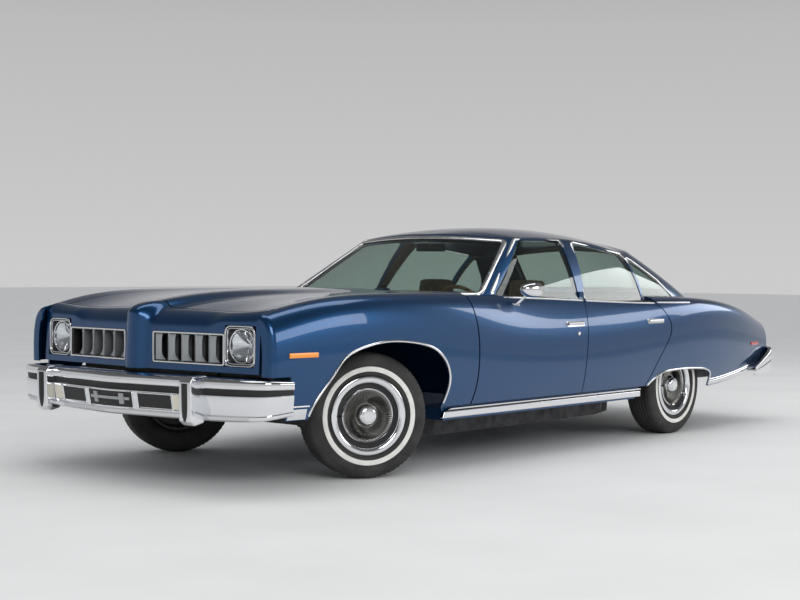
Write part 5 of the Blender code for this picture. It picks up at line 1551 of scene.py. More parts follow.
@dataclass
class Shell:
    """The painted outer panels of the body and the bright lines on them."""

    panels: dict[str, Panel] = field(default_factory=dict)
    front_lip: Flat = (0.014, 0.007)
    rear_lip: Flat = (0.013, 0.006)
    belt: Flat = (0.012, 0.006)
    lip_shift: float = 0.004
    handle_z: float = 0.757
    lock_z: float = 0.700
    quarter_bands: tuple[tuple[str, float, float], ...] = (("line", 0.046, 0.008), ("band", 0.018, 0.034))
    hood_lug: tuple[Point, Point] = ((1.030, 0.690, 0.886), (1.050, 0.700, 0.928))
    hood_eye_radius: float = 0.012
    front_marker: tuple[Flat, Flat] = ((2.186, 0.648), (2.362, 0.672))
    rear_marker: tuple[Flat, Flat] = ((-2.40, 0.556), (-2.26, 0.578))
    trough: tuple[Point, Point] = ((0.936, -0.735, 0.812), (1.025, 0.735, 0.820))

    def panel(self, name: str, rows: Sequence[Sequence[Point]], outward: Outward = away) -> Panel:
        """Keeps a panel by name for the trim that lies on it."""
        self.panels[name] = Panel(name, rows, outward)
        return self.panels[name]

    def build(self) -> None:
        """Makes every panel."""
        self.front()
        self.doors()
        self.rear()

    def front(self) -> None:
        """Fenders, hood and nose."""
        rows = fender_rows()
        for side, sign in SIDES:
            panel = self.panel(f"fender_skin_{side}", to_side(rows, sign))
            arch = smooth_line(FRONT_ARCH, 8)
            piece = cut(
                panel.solid(SKIN, "paint"), prism("arch", arch, sign * 0.5, sign * 1.2), *front_room(sign)
            )
            set_on(panel.dress(piece), "body", f"fender_{side}", slot="paint")
            lip = smooth_line(inset(FRONT_ARCH, -self.lip_shift), 8)
            lip = [p for p in lip if p[1] > DOOR_BOTTOM + self.lip_shift]
            set_on(
                Moulding.along(f"front_arch_lip_{side}", panel, lip, sign, *self.front_lip),
                "body",
                slot="chrome",
            )
            marker = Moulding.patch(
                f"side_marker_{side}", panel, *self.front_marker, sign, 0.004, "amber", 0.002
            )
            set_on(marker, "body")
            band = Moulding.patch(
                f"front_lower_band_{side}",
                panel,
                (2.232, 0.352),
                (2.344, 0.402),
                sign,
                0.005,
                "chrome",
                0.001,
            )
            set_on(band, "body", slot="chrome")
            line = [(x, 0.414) for x in np.linspace(2.218, 2.344, 6)]
            set_on(
                Moulding.along(f"front_lower_line_{side}", panel, line, sign, 0.009, 0.005),
                "body",
                slot="chrome",
            )
        xs = np.linspace(HOOD_REAR_X, HOOD_FRONT_X - SHUT_GAP, 57)
        hood = self.panel(
            "hood_skin", [[(x, y, hood_z(x, y)) for y in across(HOOD_HALF_WIDTH, 81)] for x in xs], upward
        )
        skin = hood.dress(hood.solid(HOOD_THICKNESS, "paint"))
        set_on(skin, "hood_lid", "hood", slot="paint")
        (x0, y0, z0), (x1, y1, z1) = self.hood_lug
        for sign in (1, -1):
            lug = block(f"hood_lug_{sign}", (x0, sign * y0, z0), (x1, sign * y1, z1), "chassis")
            set_on(add_bevel(lug, 0.002), "hood_lid", slot="chassis")
            ends = [(HOOD_HINGE[0], sign * y, HOOD_HINGE[1]) for y in (y0, y1)]
            eye = swept(f"hood_eye_{sign}", ends, upward, ring(self.hood_eye_radius, 16), "chassis")
            set_on(eye, "hood_lid", slot="chassis")
        trough = block("cowl_trough", *self.trough, "black")
        set_on(add_bevel(trough, 0.002), "body", slot="chassis")
        self.nose()

    def nose(self) -> None:
        """The panel between the fenders, with its centre prow and two openings."""
        ys = across(NOSE_HALF_WIDTH, 97)
        rows = []
        for k in range(13):
            angle = math.radians(7.5 * k)
            row = []
            for y in ys:
                top, front = hood_z(HOOD_FRONT_X, y), nose_front_x(y)
                low = min(brow_z(y), top - 0.01)
                row.append(
                    (
                        HOOD_FRONT_X + (front - HOOD_FRONT_X) * math.sin(angle),
                        y,
                        low + (top - low) * math.cos(angle),
                    )
                )
            rows.append(row)
        for k in range(1, 9):
            rows.append(
                [
                    (nose_front_x(y) + 0.0015 * k, y, brow_z(y) + (NOSE_BOTTOM - brow_z(y)) * k / 8)
                    for y in ys
                ]
            )
        nose = self.panel("nose_skin", rows, lambda p: Vector((1, 0, 1)))
        openings = []
        for sign in (1, -1):
            corners = [
                (GRILLE_INNER_Y, GRILLE_BOTTOM_Z),
                (LAMP_OUTER_Y, GRILLE_BOTTOM_Z),
                (LAMP_OUTER_Y, LAMP_TOP_Z),
                (LAMP_INNER_Y, LAMP_TOP_Z),
                (LAMP_INNER_Y, GRILLE_TOP_Z),
                (GRILLE_INNER_Y, GRILLE_TOP_Z),
            ]
            outline = [(sign * y, z) for y, z in rounded(corners, 0.014)]
            openings.append(prism(f"nose opening {sign}", outline, 2.36, 2.62, "YZ"))
        piece = cut(nose.solid(0.02, "paint"), *openings)
        set_on(nose.dress(piece), "body", "nose_panel", slot="paint")

    def door_rows(self, front_cut: Guide, rear_cut: Guide, inner: bool) -> list[list[Point]]:
        """Points of a left door's outer skin, or of its inner face.

        Args:
            front_cut: The front cut line.
            rear_cut: The rear cut line.
            inner: Whether the inner face is asked for.

        Returns:
            Rows of points from sill to belt.
        """
        rows = []
        for j in range(37):
            row = []
            for i in range(37):
                x = 0.0
                for _ in range(4):
                    z = DOOR_BOTTOM + (BELT_Z(x) - DOOR_BOTTOM) * j / 36
                    ahead, behind = front_cut(z) - SHUT_GAP / 2, rear_cut(z) + SHUT_GAP / 2
                    behind += DOOR_EDGE_TAPER if inner else 0.0
                    x = ahead + (behind - ahead) * i / 36
                z = DOOR_BOTTOM + (BELT_Z(x) - DOOR_BOTTOM) * j / 36
                y = BODY.side_y(x, z)
                if inner:
                    y = min(0.872 - 0.090 * smooth_step((z - 0.55) / 0.35), y - 0.045)
                row.append((x, y, z))
            rows.append(row)
        return rows

    def doors(self) -> None:
        """Four doors with their trim cards, handles and belt lines."""
        kinds = (
            ("front", DOOR_FRONT_CUT, DOOR_MIDDLE_CUT, FRONT_HINGE, 0.048),
            ("rear", DOOR_MIDDLE_CUT, DOOR_REAR_CUT, REAR_HINGE, -0.826),
        )
        for end, front_cut, rear_cut, hinge, handle_x in kinds:
            outer, inner = self.door_rows(
                front_cut, rear_cut, False
            ), self.door_rows(front_cut, rear_cut, True)
            for side, sign in SIDES:
                body = f"door_{end}_{side}"
                panel = self.panel(f"{end}_door_skin_{side}", to_side(outer, sign))
                notches = []
                x, y = hinge
                for z in HINGE_LIFTS:
                    half = EYE_HALF_HEIGHT + 0.0003
                    skin_y = min(
                        BODY.side_y(x + shift, z + up)
                        for shift in (-0.014, 0.02, 0.05)
                        for up in (-half, half)
                    )
                    reach = min(y + EYE_RADIUS + 0.005, skin_y - 0.0008)
                    low, high = (
                        x - EYE_RADIUS - 0.005, sign * 0.70, z - half
                    ), (x + 0.2, sign * reach, z + half)
                    notches.append(block("notch", low, high))
                piece = cut(panel.solid(0, "paint", np.array(to_side(inner, sign))), *notches)
                set_on(panel.dress(piece), body, f"{end}_door_{side}", slot="paint")
                self.card(end, side, sign, inner, body)
                self.handle(end, side, sign, panel, handle_x, body)
                xs = np.linspace(front_cut(0.90) - 0.010, rear_cut(0.88) + 0.010, 30)
                start = 0.575 if end == "front" else xs[0]
                belt = [(x, BELT_Z(x) - 0.006) for x in xs if x <= start]
                set_on(
                    Moulding.along(f"belt_line_{end}_{side}", panel, belt, sign, *self.belt, "bright"),
                    body,
                    slot="chrome",
                )

    def card(self, end: str, side: str, sign: int, inner: Sequence[Sequence[Point]], body: str) -> None:
        """The tan trim card inside a door, with its armrest.

        Args:
            end: front or rear.
            side: The word for the side.
            sign: 1 on the left and -1 on the right.
            inner: The inner face's points on the left.
            body: The body that it rides on.
        """
        grid = np.array(to_side(inner, sign))[2:-1, 2:-2]
        shift = np.array([0, -sign, 0])
        card = Panel(f"{end}_door_card_{side}", grid + shift * 0.004, lambda p: Vector((0, -p.y, 0)))
        set_on(card.dress(card.solid(0.003, "vinyl")), body, slot="trim")
        middle = grid[:, grid.shape[1] // 2]
        x, z = float(middle[len(middle) // 2][0]), 0.60
        y = sign * 0.866
        shape = rounded(
            [(x - 0.20, z - 0.03), (x + 0.20, z - 0.03), (x + 0.22, z + 0.03), (x - 0.16, z + 0.035)],
            0.02,
            4,
        )
        rest = prism(f"{end}_armrest_{side}", shape, *sorted((y - sign * 0.055, y)), "XZ", "vinyl")
        set_on(add_bevel(rest, 0.012, 3), body, slot="trim")

    def handle(self, end: str, side: str, sign: int, panel: Panel, x: float, body: str) -> None:
        """A pull handle: a bright flap in a bezel, with the key lock below it on the front doors.

        Args:
            end: front or rear.
            side: The word for the side.
            sign: 1 on the left and -1 on the right.
            panel: The panel below it.
            x: Its front end.
            body: The body that it rides on.
        """
        z = self.handle_z
        base = Moulding.patch(
            f"{end}_handle_base_{side}",
            panel,
            (x - 0.175, z - 0.016),
            (x, z + 0.014),
            sign,
            0.003,
            "chrome",
        )
        set_on(base, body, slot="chrome")
        flap = Moulding.patch(
            f"{end}_handle_flap_{side}",
            panel,
            (x - 0.168, z - 0.010),
            (x - 0.010, z + 0.011),
            sign,
            0.008,
            "chrome",
            0.006,
        )
        set_on(flap, body, slot="chrome")
        if end == "front":
            place, out = panel.hit(Vector((x - 0.10, sign * 2, self.lock_z)), Vector((0, -sign, 0)))
            rings = [
                (0.0005, 0.005),
                (0.004, 0.0052),
                (0.0065, 0.006),
                (0.010, 0.0055),
                (0.0125, 0.001),
                (0.0125, -0.003),
                (0.0005, -0.003),
            ]
            lock = turned(f"door_lock_{side}", rings, 24, "chrome")
            lock.matrix_world = Matrix.Translation(place) @ out.to_track_quat("Y", "Z").to_matrix().to_4x4()
            set_on(lock, body, slot="chrome")

    def rear(self) -> None:
        """Quarter panels, deck, trunk lid and tail."""
        rows = []
        for j in range(41):
            row = []
            for i in range(57):
                x, y, z, _ = side_place(
                    QUARTER_LOW_Z,
                    lambda z: DOOR_REAR_CUT(min(z, 0.872)) - SHUT_GAP,
                    lambda z: TAIL_X,
                    TRUNK_HALF_WIDTH + SHUT_GAP,
                    i / 56,
                    j / 40,
                )
                row.append((x, y, z))
            rows.append(row)
        for side, sign in SIDES:
            panel = self.panel(f"quarter_skin_{side}", to_side(rows, sign))
            arch = prism("rear arch", smooth_line(REAR_ARCH, 8), sign * 0.6, sign * 1.2)
            piece = cut(panel.solid(SKIN, "paint"), arch)
            set_on(panel.dress(piece), "body", f"quarter_panel_{side}", slot="paint")
            lip = smooth_line(inset(REAR_ARCH, -self.lip_shift), 8)
            lip = [p for p in lip if p[1] > QUARTER_LOW_Z(p[0]) + self.lip_shift]
            set_on(
                Moulding.along(f"rear_arch_lip_{side}", panel, lip, sign, *self.rear_lip),
                "body",
                slot="chrome",
            )
            marker = Moulding.patch(
                f"rear_marker_{side}", panel, *self.rear_marker, sign, 0.004, "red", 0.002
            )
            set_on(marker, "body")
            xs = np.linspace(-1.672, -2.26, 16)
            for name, lift, width in self.quarter_bands:
                path = [(x, QUARTER_LOW_Z(x) + lift) for x in xs]
                strip = Moulding.along(f"rear_lower_{name}_{side}", panel, path, sign, width, 0.006)
                set_on(strip, "body", slot="chrome")
            belt = [(x, BELT_Z(x) - 0.001) for x in np.linspace(-1.02, -1.39, 14)]
            set_on(
                Moulding.along(f"belt_line_quarter_{side}", panel, belt, sign, *self.belt, "bright"),
                "body",
                slot="chrome",
            )
        half = TRUNK_HALF_WIDTH + SHUT_GAP - 0.0006
        xs = np.linspace(-1.70, TRUNK_FRONT_X + LID_FRONT_GAP, 13)
        deck = self.panel(
            "deck_skin",
            [[(x, y, BODY.top_z(x, y)) for y in np.linspace(-half, half, 49)] for x in xs],
            upward,
        )
        set_on(deck.dress(deck.solid(SKIN, "paint")), "body", "rear_deck", slot="paint")
        ys = np.linspace(-TRUNK_HALF_WIDTH, TRUNK_HALF_WIDTH, 57)
        rows = [
            [(x, y, BODY.top_z(x, y)) for y in ys]
            for x in np.linspace(TRUNK_FRONT_X, TRUNK_REAR_X + 0.05, 25)
        ]
        for k in range(1, 9):
            angle = math.radians(11.25 * k)
            edge = TRUNK_REAR_X + 0.05
            rows.append(
                [
                    (edge - 0.05 * math.sin(angle), y, BODY.top_z(edge, y) - 0.05 * (1 - math.cos(angle)))
                    for y in ys
                ]
            )
        for k in range(1, 5):
            rows.append(
                [
                    (
                        TRUNK_REAR_X,
                        y,
                        (BODY.top_z(TRUNK_REAR_X + 0.05, y) - 0.05) * (1 - k / 4) + 0.665 * k / 4,
                    )
                    for y in ys
                ]
            )
        lid = self.panel("trunk_skin", rows, lambda p: Vector((-0.5, 0, 1)))
        set_on(lid.dress(lid.solid(0.02, "paint")), "trunk", "trunk_lid", slot="paint")


# Greenhouse

WINDSHIELD_BASE = Vector((0.800, 0.0, 0.936))
WINDSHIELD_HEADER = Vector((0.215, 0.0, 1.292))
BACKLIGHT_BASE = Vector((-1.985, 0.0, 0.925))
BACKLIGHT_HEADER = Vector((-1.385, 0.0, 1.262))
FRONT_WINDOW = [
    (0.560, 0.80), (0.560, 0.938), (0.104, 1.249), (-0.305, 1.256), (-0.238, 0.90), (-0.236, 0.80)
]
REAR_WINDOW = [
    (-0.298, 0.80), (-0.298, 0.90), (-0.432, 1.246), (-1.035, 1.178), (-0.985, 0.87), (-0.983, 0.80)
]
QUARTER_WINDOW = [
    (-1.013, 0.882), (-1.064, 1.160), (-1.135, 1.137), (-1.300, 1.020), (-1.400, 0.905), (-1.400, 0.882)
]


@dataclass
class Greenhouse:
    """Roof, pillars, glass and window trim over one smooth surface between the belt and the roof's middle."""

    belt_corners: tuple = (
        WINDSHIELD_BASE,
        (0.640, 0.700, 0.936),
        (0.560, 0.846, 0.932),
        (-1.500, 0.800, 0.878),
        (-1.750, 0.700, 0.905),
        BACKLIGHT_BASE,
    )
    belt_bows: tuple[Point, ...] = (
        (0.035, 0.03, 0), (0.012, 0.012, 0), (0, 0.004, 0), (-0.02, 0.02, 0), (-0.03, 0.02, 0)
    )
    rail_corners: tuple = (
        WINDSHIELD_HEADER,
        (0.140, 0.525, 1.266),
        (0.060, 0.628, 1.262),
        (-1.080, 0.600, 1.190),
        (-1.290, 0.500, 1.212),
        BACKLIGHT_HEADER,
    )
    rail_bows: tuple[Point, ...] = (
        (0.012, 0.015, 0.006),
        (0.006, 0.012, 0.001),
        (0, 0.020, 0.030),
        (-0.01, 0.02, 0),
        (-0.015, 0.02, 0.01),
    )
    spine: tuple[float, ...] = (0.215, 0.10, 0.0, -1.10, -1.28, -1.385)
    steps: tuple[int, ...] = (16, 6, 36, 8, 16)
    centre_stations: tuple[Flat, ...] = (
        (-1.385, 1.262), (-1.0, 1.312), (-0.4, 1.345), (-0.05, 1.330), (0.215, 1.292)
    )
    side_bow: float = 0.016
    skirt: float = 0.030
    headliner_gap: float = 0.006
    trims: tuple[tuple[str, float, float, float, str], ...] = (
        ("trim", -0.011, 0.032, 0.007, "bright"),
        ("seal", 0.008, 0.010, 0.003, "black"),
    )

    def __post_init__(self) -> None:
        """Works out belt, rail and outer surface."""
        self.belt = self.edge(self.belt_corners, self.belt_bows)
        for point in self.belt:
            on_cowl = smooth_step((point.x - 0.30) / 0.22)
            point.z = BODY.top_z(point.x, point.y) - 0.004
            point.z += (COWL_TOP - 0.012 - point.z) * on_cowl
        self.rail = self.edge(self.rail_corners, self.rail_bows)
        self.belt, self.rail = self.eased(self.belt), self.eased(self.rail)
        self.outer = Panel("roof_skin", self.rows(0.0), self.outward, loop=True)

    def edge(self, corners: Sequence[Sequence[float]], bows: Sequence[Point]) -> list[Vector]:
        """Points along a run of corners, bowed out between them.

        Args:
            corners: The corners.
            bows: How far each stretch bows out.

        Returns:
            The points.
        """
        points = [Vector(c) for c in corners]
        made = []
        for first, second, out, steps in zip(points, points[1:], bows, self.steps):
            for k in range(steps):
                share = k / steps
                made.append(first.lerp(second, share) + Vector(out) * (4 * share * (1 - share)))
        made.append(points[-1].copy())
        return made

    def eased(self, points: list[Vector]) -> list[Vector]:
        """The same edge with its corners softened a little.

        Args:
            points: The points.

        Returns:
            The softened points.
        """
        for _ in range(5):
            moved = [p.copy() for p in points]
            for i in range(1, len(points) - 1):
                moved[i] = points[i] * 0.5 + (points[i - 1] + points[i + 1]) * 0.25
            points = moved
        return points

    def outward(self, point: Vector) -> Vector:
        """Outward direction on the greenhouse."""
        return point - Vector((-0.5, 0.0, 0.9))

    def rows(self, inset_by: float, side_rows: int = 18, roof_rows: int = 18) -> list[list[Vector]]:
        """Whole rings of points from belt to roof middle, moved inward when asked.

        Args:
            inset_by: How far inward.
            side_rows: Steps from belt to rail.
            roof_rows: Steps from rail to middle.

        Returns:
            The rings.
        """
        spine = []
        for first, second, steps in zip(self.spine, self.spine[1:], self.steps):
            spine += [first + (second - first) * k / steps for k in range(steps)]
        centre_z = Guide(*self.centre_stations)
        middles = [Vector((x, 0.0, centre_z(x))) for x in [*spine, self.spine[-1]]]
        rows = [[low + (low - high).normalized() * self.skirt for low, high in zip(self.belt, self.rail)]]
        for j in range(side_rows + 1):
            up = j / side_rows
            row = []
            for low, high in zip(self.belt, self.rail):
                point = low.lerp(high, up)
                out = Vector((point.x + 0.45, point.y * 1.4, 0.0)).normalized()
                row.append(point + out * self.side_bow * 4 * up * (1 - up))
            rows.append(row)
        for j in range(1, roof_rows + 1):
            share = j / roof_rows
            row = []
            for edge, middle in zip(self.rail, middles):
                point = edge.lerp(middle, share)
                point.z = edge.z + (middle.z - edge.z) * (1 - (1 - share) ** 2.2)
                row.append(point)
            rows.append(row)
        centre = Vector((-0.5, 0.0, 0.9))
        whole = []
        for row in rows:
            row = [p - (p - centre).normalized() * inset_by for p in row]
            whole.append(row + [Vector((p.x, -p.y, p.z)) for p in row[-2:0:-1]])
        return whole

    def plane(self, base: Vector, header: Vector, across_y: int) -> Matrix:
        """Matrix of a screen's mean plane: x across the car, y up the glass, z out.

        Args:
            base: The screen's foot in the middle.
            header: Its top in the middle.
            across_y: 1 or -1, which way its x runs.

        Returns:
            The matrix.
        """
        up = (header - base).normalized()
        across_car = Vector((0, across_y, 0))
        frame = Matrix((across_car, up, across_car.cross(up))).transposed().to_4x4()
        frame.translation = base
        return frame

    def surface(self, position: float, up: float) -> Vector:
        """A point on the side at a share of the way round the half loop.

        Args:
            position: Where round the half loop.
            up: Share of the way up.

        Returns:
            The point.
        """
        i = min(int(position), len(self.belt) - 2)
        low = self.belt[i].lerp(self.belt[i + 1], position - i)
        high = self.rail[i].lerp(self.rail[i + 1], position - i)
        return low.lerp(high, up)

    def pane(self, frame: Matrix, centre: float, corner: float, low: float, high: float) -> list[Flat]:
        """Outline of a screen in its own plane.

        Args:
            frame: The screen's plane.
            centre: Where its middle is on the half loop.
            corner: Where its side is.
            low: Share of the way up to its foot.
            high: Share of the way up to its top.

        Returns:
            The outline.
        """
        into = frame.inverted()
        shares = np.linspace(0, 1, 7)
        half = [self.surface(centre + (corner - centre) * s, low) for s in shares]
        half += [self.surface(centre + (corner - centre) * s, high) for s in shares[::-1]]
        half = [into @ p for p in half]
        outline = [(p.x, p.y) for p in half[1:-1]] + [(-p.x, p.y) for p in half[::-1][1:-1]]
        return rounded(outline, 0.035, 5)

    def screens(self) -> tuple[tuple[str, list[Flat], Matrix], ...]:
        """Both screens: name, outline and plane.

        Returns:
            One row for each screen.
        """
        front = self.plane(WINDSHIELD_BASE, WINDSHIELD_HEADER, 1)
        rear = self.plane(BACKLIGHT_BASE, BACKLIGHT_HEADER, -1)
        a_corner = 17.2
        c_corner = sum(self.steps[:4]) + self.steps[4] * 0.10
        return (
            ("windshield", self.pane(front, 0.0, a_corner, 0.06, 0.93), front),
            ("rear_window", self.pane(rear, float(sum(self.steps)), c_corner, 0.15, 0.93), rear),
        )

    def door_seat(self, low: float, high: float, lift: float) -> bpy.types.Object:
        """A block up to the belt over both doors.

        Args:
            low: Its lower place across the car.
            high: Its higher place across the car.
            lift: How far above the belt it reaches.

        Returns:
            The block.
        """
        line = np.linspace(-1.02, 0.98, 41)
        outline = [(-1.02, 0.5), (0.98, 0.5)] + [(x, BELT_Z(x) + lift) for x in line[::-1]]
        return prism("door seat", outline, low, high)

    def seats(self, quarter_only: bool = False) -> list[bpy.types.Object]:
        """Blocks that trim the greenhouse where it stands on body, doors and cowl.

        Args:
            quarter_only: Whether only the block over the quarters and deck is made.

        Returns:
            The blocks.
        """
        xs, ys = np.linspace(-1.0, -2.1, 34), np.linspace(-0.88, 0.88, 61)
        top = [[(x, y, BODY.top_z(x, y) + 0.0012) for y in ys] for x in xs]
        under = Panel("under", top, upward)
        low = under.grid.copy()
        low[:, :, 2] = 0.60
        blocks = [under.solid(0, "black", low)]
        if quarter_only:
            return blocks
        blocks += [self.door_seat(*sorted((s * 0.778, s * 1.0)), 0.005) for s in (1, -1)]
        blocks.append(block("cowl seat", (0.30, -0.95, 0.60), (1.0, 0.95, COWL_TOP + 0.0003)))
        return blocks

    def side_windows(self) -> tuple[tuple[str, list[Flat], float, float, str | None], ...]:
        """The side windows: glass node, outline, corner radius, gap round the glass and the glass's bodies.

        Returns:
            One row for each window.
        """
        return (
            ("front_door_glass", FRONT_WINDOW, 0.030, 0.007, "door_front"),
            ("rear_door_glass", REAR_WINDOW, 0.026, 0.007, "door_rear"),
            ("quarter_glass", QUARTER_WINDOW, 0.016, 0.0006, None),
        )

    def build(self) -> None:
        """Roof, headliner, glass and trim."""
        self.roof()
        self.headliner()
        self.glass()
        self.trim()

    def openings(self, grow: float = 0.0) -> list[bpy.types.Object]:
        """Cutters of every window.

        Args:
            grow: How much wider they are cut.

        Returns:
            The cutters.
        """
        cutters = [
            prism("window", inset(rounded(o, r), -grow), -1.0, 1.0) for _, o, r, _, _ in self.side_windows()
        ]
        for name, outline, frame in self.screens():
            cutter = prism(name, inset(outline, -grow), -0.3, 0.2, "XY")
            cutter.data.transform(frame)
            cutters.append(cutter)
        return cutters

    def roof(self) -> None:
        """The painted roof shell with its pillars, and the posts between the doors."""
        piece = cut(self.outer.solid(PILLAR_THICKNESS, "paint"), *self.openings(), *self.seats())
        set_on(self.outer.dress(piece), "body", "roof", slot="paint")
        for side, sign in SIDES:
            foot = [
                (-0.31, SILL_TOP + 0.0003), (-0.14, SILL_TOP + 0.0003), (-0.235, 0.915), (-0.310, 0.915)
            ]
            post = prism(f"door_post_{side}", foot, *sorted((sign * 0.735, sign * 0.772)), "XZ", "paint")
            set_on(add_bevel(post, 0.004), "body", slot="paint")
            top = block(
                f"door_post_top_{side}",
                (-0.290, sign * 0.735, 0.905),
                (-0.246, sign * 0.835, 0.945),
                "paint",
            )
            set_on(top, "body", slot="paint")
            x, y = REAR_HINGE
            for i, z in enumerate(HINGE_LIFTS):
                hidden = BODY.side_y(x, z) < y + EYE_RADIUS
                end = 0.895 if hidden else y
                arm = block(
                    f"rear_hinge_arm_{side}_{i}",
                    (x - 0.008, sign * 0.76, z - 0.015),
                    (x + 0.008, sign * end, z + 0.015),
                    "paint",
                )
                set_on(arm, "body", slot="paint")
                if hidden:
                    continue
                ends = [(x, sign * y, z - EYE_HALF_HEIGHT), (x, sign * y, z + EYE_HALF_HEIGHT)]
                eye = swept(
                    f"rear_hinge_eye_{side}_{i}",
                    ends,
                    lambda p: Vector((1, 0, 0)),
                    ring(EYE_RADIUS, 16),
                    "steel",
                )
                set_on(eye, "body", slot="steel")

    def headliner(self) -> None:
        """Cloth inside the roof and on the pillars."""
        inner = Panel(
            "headliner", self.rows(PILLAR_THICKNESS + self.headliner_gap), self.outward, loop=True
        )
        floor = block("below cabin", (-3, -2, 0), (3, 2, 0.965), "black")
        piece = cut(inner.solid(0.003, "headliner"), *self.openings(0.004), floor)
        set_on(inner.dress(piece), "body", slot="trim")

    def glass(self) -> None:
        """All eight panes."""
        surface = self.rows(GLASS_INSET)
        for name, outline, frame in self.screens():
            pane = Panel(f"{name}_pane", surface, self.outward, loop=True)
            cutter = prism("pane line", inset(outline, 0.0006), -0.3, 0.2, "XY")
            cutter.data.transform(frame)
            piece = cut(pane.solid(GLASS_THICKNESS, "glass"), cutter, operation="INTERSECT")
            set_on(pane.dress(piece), "body", name, slot="glass")
        for side, sign in SIDES:
            for name, outline, radius, gap, body in self.side_windows():
                pane = Panel(f"{name}_pane_{side}", surface, self.outward, loop=True)
                line = prism(
                    "pane line", inset(rounded(outline, radius), gap), *sorted((sign * 0.4, sign * 1.0))
                )
                piece = cut(pane.solid(GLASS_THICKNESS, "glass"), line, operation="INTERSECT")
                cut(piece, self.door_seat(-1.0, 1.0, 0.0006) if body else self.seats(True)[0])
                set_on(
                    pane.dress(piece), f"{body}_{side}" if body else "body", f"{name}_{side}", slot="glass"
                )

    def trim(self) -> None:
        """Bright mouldings round the windows and black seals inside them."""
        for name, outline, frame in self.screens():
            for part, offset, width, height, look in self.trims:
                places, outs = [], []
                for u, v in inset(outline, offset):
                    start = frame @ Vector((u, v, 0.4))
                    place, out = self.outer.hit(start, -(frame.to_3x3() @ Vector((0, 0, 1))))
                    places.append(place - out * (0.003 if part == "seal" else 0.0))
                    outs.append(out)
                strip = swept(f"{name}_{part}", places, outs, dome(width, height), look, closed=True)
                set_on(strip, "body", slot="chrome" if look == "bright" else None)
        for side, sign in SIDES:
            for name, outline, radius, _, body in self.side_windows():
                kind = name.replace("_glass", "")
                width = {"front_door_glass": 0.024, "rear_door_glass": 0.017, "quarter_glass": 0.014}[name]
                line = inset(rounded(outline, radius), -width * 0.4)
                belt = (lambda x: BELT_Z(x) + 0.006) if body else (lambda x: 0.0)
                open_line = body is not None
                if open_line:
                    start = next(i for i, (x, z) in enumerate(line) if z < belt(x))
                    line = line[start:] + line[:start]
                    line = [p for p in line if p[1] > belt(p[0])]
                strip = Moulding.along(
                    f"{kind}_trim_{side}",
                    self.outer,
                    line,
                    sign,
                    width,
                    0.006,
                    "bright",
                    closed=not open_line,
                )
                set_on(strip, "body", slot="chrome")


# Tail and trunk gear


